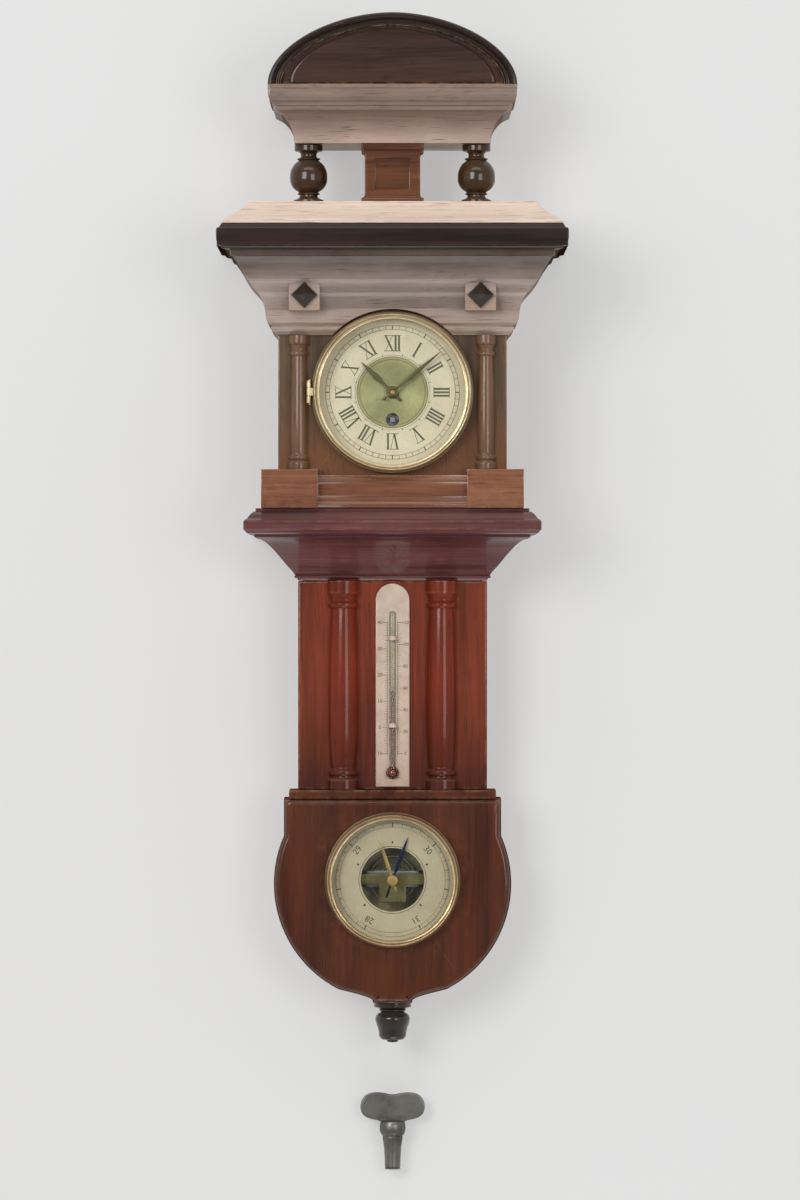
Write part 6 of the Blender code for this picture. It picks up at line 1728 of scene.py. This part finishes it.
def barometer_hands(blue, brass):
    """The pressure hand on its arbor, and the set hand riveted to its stem and knob."""
    centre = dial_middle("barometer_glass")
    low, high = box_of("barometer_hand")
    back = low.y + HAND_THICK
    arbor = lathe([
        (0, high.y), (0.0009, high.y), (0.001, high.y - 0.0001), (0.001, back - 0.0002), (0, back - 0.0002),
    ], centre, "y", SIDES_SMALL)
    hand(
        "Barometer hand", PRESSURE_HAND, centre, PRESSURE_ANGLE, back, low.y, "pressure_hand", blue,
        extra=[arbor],
    )
    low, high = box_of("set_hand")
    front = high.y - HAND_THICK
    knob, knob_back = KNOB_RADIUS, low_of("barometer_glass").y - GAP
    depth = knob_back - low.y
    turned = outline(
        [(0, front + 0.0002), (SET_STEM, front + 0.0002)],
        [(SET_STEM, knob_back), (knob * 0.8, knob_back)],
        [(knob * 0.84, knob_back - depth * 0.1), (knob, knob_back - depth * 0.2)],
        [(knob, knob_back - depth * 0.72), (knob * 0.92, low.y + depth * 0.1),
         (knob * 0.7, low.y + depth * 0.02), (0, low.y)],
    )
    stem = lathe(turned, centre, "y")
    hand("Set hand", SET_HAND, centre, SET_ANGLE, high.y, front, "set_pointer", brass, extra=[stem])


def capsule_spring(finish):
    """A bent steel strip: its outer and inner outline with rounded bends, carried along its width."""
    low, high = box_of("capsule_spring")
    thick, bend = SPRING_THICK, SPRING_BEND
    foot, seat, arch = high.x - bend, high.y, low.y
    inner, small = foot - thick, bend - thick
    outside = np.vstack([
        [(high.x, seat), (high.x, seat - thick)],
        [(foot + 0.0008, seat - thick), (foot + 0.0002, seat - thick - 0.0002),
         (foot, seat - thick - 0.0008)],
        arc((foot - bend, arch + bend), bend, 0, -math.pi / 2, 8),
    ])
    inside = np.vstack([arc((inner - small, arch + bend), small, -math.pi / 2, 0, 8), [(inner, seat)]])
    points = np.vstack([both_sides(outside), inside[::-1] * (-1, 1), inside])
    made = mesh_object("Capsule spring", upright_prism(points, low.z, high.z))
    place(softened(made, EDGE_METAL), "case", finish, "capsule_spring")


def laid_along_x(shell):
    """A shell turned about Z laid along X."""
    points, faces = shell
    return points[:, [2, 0, 1]], faces


def barometer_bridge(brass, steel):
    """The bar over the capsule with rounded ends, its posts with screw heads, and the lever's two ears."""
    low, high = box_of("barometer_bridge")
    z = dial_middle("barometer_glass")[1]
    thick, half, post = BRIDGE_THICK, BRIDGE_HALF, BRIDGE_POST
    front, back, bottom = low.y, low.y + thick, low.z
    post_x = high.x - post - GAP
    outer = EAR_OUTER
    right_end = arc((high.x - half, z), half, -math.pi / 2, math.pi / 2, 16)
    flap = np.array([(outer, z - half), (outer, bottom + 0.001), (outer - 0.001, bottom)])
    shape = both_sides(np.vstack([flap[::-1], right_end]))
    made = softened(mesh_object("Barometer bridge", prism(shape, back, front)), EDGE_METAL)
    _, lever_y, lever_z = joint_at("capsule_lever_rock")
    extra = []
    for side in (-1, 1):
        ear_low, ear_high = sorted((side * outer, side * (outer - EAR_WALL)))
        extra.append(rod(post, high.y, front - 0.0001, (side * post_x, z), sides=SIDES_SMALL))
        top = (ear_high, lever_y + EAR_DEEP, lever_z + EAR_ABOVE)
        extra.append(block((ear_low, back - thick / 2, bottom), top))
    joined(made, *extra)
    span = outer + CUT_PAST
    bore = laid_along_x(rod(LEVER_ARBOR + 0.0002, -span, span, (lever_y, lever_z), "z", SIDES_SMALL))
    eye = rod(BRIDGE_EYE, back + CUT_PAST, front - CUT_PAST, (0, z), sides=SIDES_SMALL)
    cut(made, bore, eye)
    place(made, "case", brass, "barometer_bridge")
    radius = SCREW_HEAD_SMALL
    for side, name in zip((-1, 1), PAIR):
        centre = (side * post_x, z)
        head = lathe([
            (0, front + 0.0001), (radius, front + 0.0001), (radius, front - 0.0006),
            (radius - 0.0003, front - 0.0009), (0, front - 0.001),
        ], centre, "y")
        screw = mesh_object(f"Bridge screw {name}", head)
        reach = radius * 1.2
        slot = turned_clockwise(stroke((-reach, 0), (reach, 0), 0.0004), centre, 0.5 + side)
        cut(screw, prism(slot, front - 0.0005, front - 0.002))
        place(screw, "case", steel)


def capsule_lever(finish):
    """The rocking arbor with its short arm towards the hand."""
    high = high_of("capsule_lever")
    _, y, z = joint_at("capsule_lever_rock")
    radius, end, half = LEVER_ARBOR, high.x, 0.0015
    section = outline(
        [(0, -end), (radius * 0.6, -end)],
        [(radius, -end + 0.0006), (radius, end - 0.0006)],
        [(radius * 0.6, end), (0, end)],
    )
    made = mesh_object("Capsule lever", laid_along_x(lathe(section, (y, z), "z", SIDES_SMALL)))
    arm = np.vstack([arc((0, high.z - half), half, 0, math.pi, 12), [(-half, z), (half, z)]])
    joined(made, prism(arm, y + 0.0006, y - 0.0006))
    place(made, "capsule_arm", finish, "capsule_lever")


# Thermometer and key

def thermometer(plate_finish, glass, spirit, black):
    """The plate with an arched top and two straps, the tube with its bulb, the spirit and the scale."""
    low, high = box_of("thermometer_plate")
    tube_low, tube_high = box_of("thermometer_tube")
    half, back, front = high.x, high.y, high.y - PLATE_THICK
    bulb, tube = tube_high.x, TUBE_RADIUS
    bulb_z, tube_y, tube_top = tube_low.z + bulb, (tube_low.y + tube_high.y) / 2, tube_high.z - tube
    at = (0, tube_y)
    points = np.vstack([[(half, low.z), (-half, low.z)], arc((0, high.z - half), half, math.pi, 0, 48)])
    made = mesh_object("Thermometer plate", prism(points, back, front))
    cut(made, rod(bulb + GAP, back + CUT_PAST, front - CUT_PAST, (0, bulb_z)))
    softened(made, EDGE_FINE)
    outer = tube + GAP + STRAP_THICK
    foot, top, sunk = outer + STRAP_FOOT, front - STRAP_THICK, front + STRAP_SUNK
    strap = np.vstack([
        [(foot, top), (outer, top)], arc(at, outer, 0, -math.pi, 16), [(-outer, top), (-foot, top)],
        [(-foot, sunk), (foot, sunk)],
    ])
    straps = []
    for share in STRAP_SHARES:
        z = bulb_z + (tube_top - bulb_z) * share
        straps.append(upright_prism(strap, z - STRAP_WIDTH / 2, z + STRAP_WIDTH / 2))
    joined(made, *straps)
    cut(made, rod(tube + GAP, bulb_z, tube_top + CUT_PAST, at, "z"))
    place(made, "case", plate_finish, "thermometer_plate")

    round_bulb = arc((0, bulb_z), bulb, -math.pi / 2, math.radians(52), 24)
    neck = curve([round_bulb[-1], (tube * 1.02, bulb_z + bulb * 0.95), (tube, bulb_z + bulb * 1.3)], 6)
    section = np.vstack([
        round_bulb, neck[1:], [(tube, tube_top)], arc((0, tube_top), tube, 0, math.pi / 2, 10)[1:]])
    piece("Thermometer tube", lathe(section, at, "z"), "case", glass, "thermometer_tube")
    level = bulb_z + (tube_top - bulb_z) * SPIRIT_SHARE
    inner, core = bulb * 0.84, tube * 0.34
    section = np.vstack([
        arc((0, bulb_z), inner, -math.pi / 2, math.radians(66), 24),
        [(core, bulb_z + inner * 1.25), (core, level - core)],
        arc((0, level - core), core, 0, math.pi / 2, 6)[1:],
    ])
    piece("Thermometer spirit", lathe(section, at, "z"), "case", spirit)

    back, front = front + MARK_BACK, front - MARK_RISE
    bottom, top, edge = bulb_z + DEGREES_BELOW, tube_top - DEGREES_ABOVE, tube + DEGREES_BESIDE
    outlines = []
    for side, steps, *_ in THERMOMETER_SCALES:
        for number, z in enumerate(np.linspace(bottom, top, steps * 10 + 1)):
            reach, width = DEGREE_MARKS[0 if number % 5 else 1 if number % 10 else 2]
            outlines.append(stroke((side * edge, z), (side * (edge + reach), z), width))
    for side in (-1, 1):
        foot, head = (side * edge, bottom - 0.001), (side * edge, top + 0.001)
        outlines.append(stroke(foot, head, DEGREES_LINE))
    shells = [raised(outlines, back, front)]
    for _, steps, first, each, size, x in THERMOMETER_SCALES:
        for number, z in enumerate(np.linspace(bottom, top, steps + 1)):
            points, faces = number_shell(abs(first + number * each), size, back, front)
            shells.append((points + (x, 0, z), faces))
    piece("Thermometer scale", together(*shells), "case", black)


# Half the outline of the wings from the dip between them, in shares of their reach and height
KEY_WING = outline([
    (0, 0.925), (0.1, 0.935), (0.3, 0.985), (0.5, 1.0), (0.7, 0.97), (0.86, 0.87), (0.97, 0.68),
    (1, 0.47), (0.96, 0.26), (0.85, 0.12), (0.7, 0.04), (0.5, -0.01), (0.4, -0.05), (0.36, -0.14),
    (0.3, -0.4),
], steps=4)

# A foot, a tapering barrel, a fillet and a dome
KEY_BARREL = outline(
    [(0, 0), (0.54, 0), (0.59, 0.012), (0.6, 0.03)],
    [(0.57, 0.035), (0.57, 0.05)],
    [(0.6, 0.055), (0.61, 0.2), (0.65, 0.4), (0.72, 0.55), (0.78, 0.64)],
    [(0.76, 0.65), (0.76, 0.68)],
    [(0.82, 0.69), (0.95, 0.75), (1, 0.84), (0.95, 0.93), (0.78, 0.985), (0, 1)],
    steps=8,
)


def winding_key(finish):
    """The key: flat wings with rounded edges over a turned barrel that holds a square socket."""
    low, high = box_of("winding_key")
    y = (low.y + high.y) / 2
    shoulder = low.z + KEY_BARREL_LENGTH
    wings = KEY_WING * (high.x, KEY_WING_HEIGHT) + (0, shoulder)
    half = KEY_THICKNESS / 2
    made = mesh_object("Winding key", prism(both_sides(wings), y + half, y - half))
    softened(made, EDGE_KEY, 4)
    joined(made, lathe(levels_between(KEY_BARREL, low.z, shoulder, KEY_BARREL_RADIUS), (0, y), "z"))
    side = KEY_SOCKET
    cut(made, block((-side, y - side, low.z - CUT_PAST), (side, y + side, low.z + KEY_SOCKET_DEPTH)))
    place(made, "key", finish, "winding_key")


def hidden_work(names, finish):
    """A finish for solids that stay as they are, inside the closed box."""
    for name in names:
        solid = frame["nodes"][name]
        solid.data.materials.clear()
        solid.data.materials.append(finish)


# Wall, lamps and camera

def wall_finish():
    """Pale paint, clear from behind and to soft light, so that the clock can be seen from behind."""
    made, look, surface, place_of = material("Pale wall")
    tone = look.spread(look.noise(place_of, 1.3, 3), 0.3, 0.7)
    look.fill(surface, {
        "Base Color": look.mixed(tone, WALL_LIGHT, WALL_DARK), "Roughness": 0.9, "Specular IOR Level": 0.1})
    look.bump(surface, look.noise(place_of, 420, 4, 0.6), 0.05, 0.0002)
    rays = look.node("LightPath").outputs
    seen = look.most(rays["Is Camera Ray"], rays["Is Glossy Ray"], rays["Is Transmission Ray"])
    lit = look.node("Emission", {"Color": WALL_LIGHT})
    painted = look.blend(look.times(seen, WALL_SHARE), surface, lit)
    behind = look.node("NewGeometry").outputs["Backfacing"]
    open_to = look.most(behind, rays["Is Diffuse Ray"], rays["Is Shadow Ray"])
    look.show(look.blend(open_to, painted, look.node("BsdfTransparent")))
    return made


def wall():
    """The wall behind the clock, wider than every view of it."""
    half, y = WALL_HALF, WALL_PLACE
    mesh = bpy.data.meshes.new("Wall")
    corners = [(-half, y, -half), (half, y, -half), (half, y, half), (-half, y, half)]
    mesh.from_pydata(corners, [], [(0, 1, 2, 3)])
    mesh.materials.append(wall_finish())
    in_scene(bpy.data.objects.new("Wall", mesh))


def in_scene(made):
    """The object after it is put in the scene."""
    bpy.context.scene.collection.objects.link(made)
    return made


def lamp(name, spot, target, size, power):
    """A rectangular lamp at a spot, turned to its target."""
    data = bpy.data.lights.new(name, "AREA")
    data.shape = "RECTANGLE"
    data.size, data.size_y = size
    data.energy = power
    made = in_scene(bpy.data.objects.new(name, data))
    made.location = spot
    made.rotation_euler = (Vector(target) - Vector(spot)).to_track_quat("-Z", "Y").to_euler()


def surroundings():
    """A plain white world, a little dimmer behind the camera so that glass and polish stay clear."""
    world = bpy.data.worlds.new("Studio")
    world.use_nodes = True
    look = Shading(world.node_tree)
    front = look.times(look.part(look.node("TexCoord").outputs["Generated"], 1), -1.0)
    strength = look.spread(front, *AMBIENT_EDGE, AMBIENT, AMBIENT_BEHIND_CAMERA)
    look.fill(world.node_tree.nodes["Background"], {"Color": (1, 1, 1, 1), "Strength": strength})
    bpy.context.scene.world = world


def camera():
    """A long lens straight in front, as far off as its frame's height asks."""
    data = bpy.data.cameras.new("Camera")
    data.lens, data.sensor_width, data.clip_end = LENS, SENSOR, 60
    made = in_scene(bpy.data.objects.new("Camera", data))
    made.location = (VIEW_X, FOCUS_Y - FRAME_HEIGHT * LENS / SENSOR, VIEW_Z)
    made.rotation_euler = (math.pi / 2, 0, 0)
    bpy.context.scene.camera = made
    bpy.context.scene.view_settings.view_transform = "Standard"


def finishes():
    """Every finish of the clock by its short name."""
    woods = {
        "corona": ("Dark mahogany of the corona", "#150c0a", "#33211b", "#45302a", "x", 0.3, 0.4),
        # Painted sheen: the cove's pale mauve browns are partly the wood's own and partly its polish
        # mirroring the wall
        "cornice": ("Mauve mahogany of the cove", "#8a776c", "#ab998e", "#c0afa4", "x", 0.3, 0.5),
        "roof": ("Dark mahogany of the roof", "#170e0a", "#2f2118", "#3f2d21", "x", 0.32, 0.4),
        "panel": ("Mahogany of the arch panel", "#22150d", "#483029", "#5f3f33", "x", 0.38, 0.3),
        # The slope's very pale browns are partly the wood's own and partly a painted highlight of its gloss
        "slope": ("Pale wood", "#d2b7a3", "#edd8c7", "#f4e6da", "x", 0.4, 0.3),
        "block": ("Red mahogany", "#3d1f10", "#77472c", "#8f5a38", "x", 0.34, 0.4),
        "turned": ("Turned dark wood", "#1e1208", "#49311b", "#5c4224", "z", 0.3, 0.5),
        "case": ("Mahogany", "#36261a", "#645040", "#7c664d", "z", 0.36, 0.35),
        "trunk": ("Red mahogany of the trunk", "#4a1a09", "#883824", "#9d4b2a", "z", 0.36, 0.35),
        # Painted sheen: the hood's pale mauve-grey browns are partly the wood's own and partly the gloss of
        # its polish
        "hood": ("Polished mahogany of the hood", "#68574e", "#8c796e", "#a28d81", "x", 0.3, 0.6),
        "plinth": ("Red mahogany of the plinth", "#55291a", "#8c5b42", "#a67250", "x", 0.34, 0.4),
        "lower": ("Mahogany of the lower cornice", "#3a1718", "#744343", "#8f5c59", "x", 0.3, 0.5),
        "box_columns": ("Wood of the half-columns", "#42291b", "#785842", "#93714f", "z", 0.34, 0.4),
        "columns": ("Red wood of the trunk half-columns", "#4f1404", "#7e2609", "#993a14", "z", 0.38, 0.3),
        "housing": ("Mahogany of the barometer case", "#270d04", "#562510", "#7a4226", "z", 0.34, 0.4),
        "back": ("Plain back board", "#6e563f", "#93775a", "#a98c6c", "z", 0.7, 0.0),
        "ebony": ("Ebonised wood", "#120d0a", "#2d251f", "#3f352c", "z", 0.25, 0.8),
    }
    wood_extras = {
        # Painted shade: the cove darkens towards its top, under the overhanging corona
        "cornice": {"fade": ("#3e2f28", 0.008, 0.026, 0.92)},
        "slope": {"worn": "#eadccf", "dust": 0.1},
        "case": {"fade": ("#7a4a2c", -0.06, -0.12, 0.7)},
        # Painted shade: the trunk darkens towards its foot, above the barometer case
        "trunk": {"fade": ("#34140a", -0.28, -0.36, 0.75)},
        # The hood's cove grows paler towards its bottom edge
        "hood": {"fade": ("#c0a699", 0.131, 0.1145, 0.9)},
        # Painted shade: the trunk half-columns darken towards their feet
        "columns": {"fade": ("#3a1506", -0.28, -0.355, 0.85)},
        "back": {"worn": "#c2a887"},
        "ebony": {"worn": "#5a4535"},
    }
    dial_z, barometer_z = middle("clock_glass").z, middle("barometer_glass").z
    metals = {
        "brass": ("Old lacquered brass", "#ddcba6", "#b09b76", 0.34, dial_z),
        "barometer_brass": ("Brass of the barometer bezel", "#c9b08a", "#94795a", 0.34, barometer_z),
        "plate_brass": ("Brass plate", "#b39a66", "#7f6a42", 0.34),
        # Painted shade: the bridge's brass is darkened to stand for the shade inside the barometer's pan
        "bridge_brass": ("Darkened brass", "#77704a", "#514a2e", 0.42),
        "gear_brass": ("Wheel brass", "#c6a45f", "#937544", 0.3),
        "gilt": ("Matted gilt", "#b3ae80", "#938f66", 0.46, dial_z, 0.35, 0.5),
        "pan": ("Dull brass of the pan", "#b7ae88", "#8d8562", 0.5, barometer_z),
        "silver": ("Silvered metal", "#8f8c76", "#6a6651", 0.38, barometer_z),
        "steel": ("Steel", "#9b9ca0", "#6f7074", 0.3),
        "dark_steel": ("Dark steel", "#7f7e78", "#4b4a46", 0.36),
        "blue": ("Blued steel", "#1d2440", "#12131f", 0.24, None, 0.2),
        "hand": ("Bronzed steel of the hands", "#5b563d", "#69633f", 0.34, None, 0.2),
        "scale_plate": ("Silvered brass of the scale plate", "#d6c2b1", "#b79f8c", 0.42, None, 0.35, 0.3,
                        ("#b39582", -0.22, -0.36, 0.6)),
    }
    return {
        **{name: wood(*values, **wood_extras.get(name, {})) for name, values in woods.items()},
        **{name: metal(*values) for name, values in metals.items()},
        "ivory": card("Ivory enamel", "#f0e4cc", "#dccfb2", 0.5, 0.25),
        "dial_card": card("Cream enamel", "#cdc1a4", "#b3a086", 0.45, 0.4),
        "ink": ink("Faded grey-green marks", "#565844", "#86866c"),
        "black": ink("Black marks", "#2b2820", "#57503f"),
        "glass": pane("Window glass", "#fdfefc"),
        "tube": pane("Tube glass", "#eef2ec"),
        "spirit": liquid("Red spirit", "#8f1a12"),
    }


def main():
    """Makes every piece with the finishes it uses, then the wall, the light and the camera."""
    look = finishes()
    pieces = (
        (hood_cornice, "hood"), (arched_roof, "roof"), (arch_panel, "panel"), (cornice_slope, "slope"),
        (gallery_block, "block"), (gallery_columns, "turned"), (upper_cornice, "cornice", "corona"),
        (clock_box, "case"), (front_board, "case"), (box_columns, "box_columns"),
        (trunk_columns, "columns"), (diamond_bosses, "ebony"), (plinth, "plinth"),
        (lower_cornice, "lower"), (trunk, "trunk"), (barometer_housing, "housing"),
        (pendant_finial, "ebony"), (back_board, "back"),
        (hanger, "plate_brass", "steel"), (clock_bezel, "brass", "glass"), (dial_pan, "plate_brass"),
        (chapter_ring, "ivory"), (dial_centre, "gilt"), (hour_marks, "ink"), (clock_hands, "hand"),
        (barometer_bezel, "barometer_brass", "glass"), (barometer_pan, "pan"),
        (barometer_dial, "dial_card", "black"), (capsule, "silver"), (capsule_spring, "steel"),
        (barometer_bridge, "bridge_brass", "steel"), (capsule_lever, "steel"),
        (barometer_hands, "blue", "plate_brass"), (thermometer, "scale_plate", "tube", "spirit", "black"),
        (winding_key, "dark_steel"),
    )
    for make, *names in pieces:
        make(*[look[name] for name in names])
    for names, finish in HIDDEN_WORK:
        hidden_work(names, look[finish])
    wall()
    surroundings()
    for values in LAMPS:
        lamp(*values)
    camera()


main()
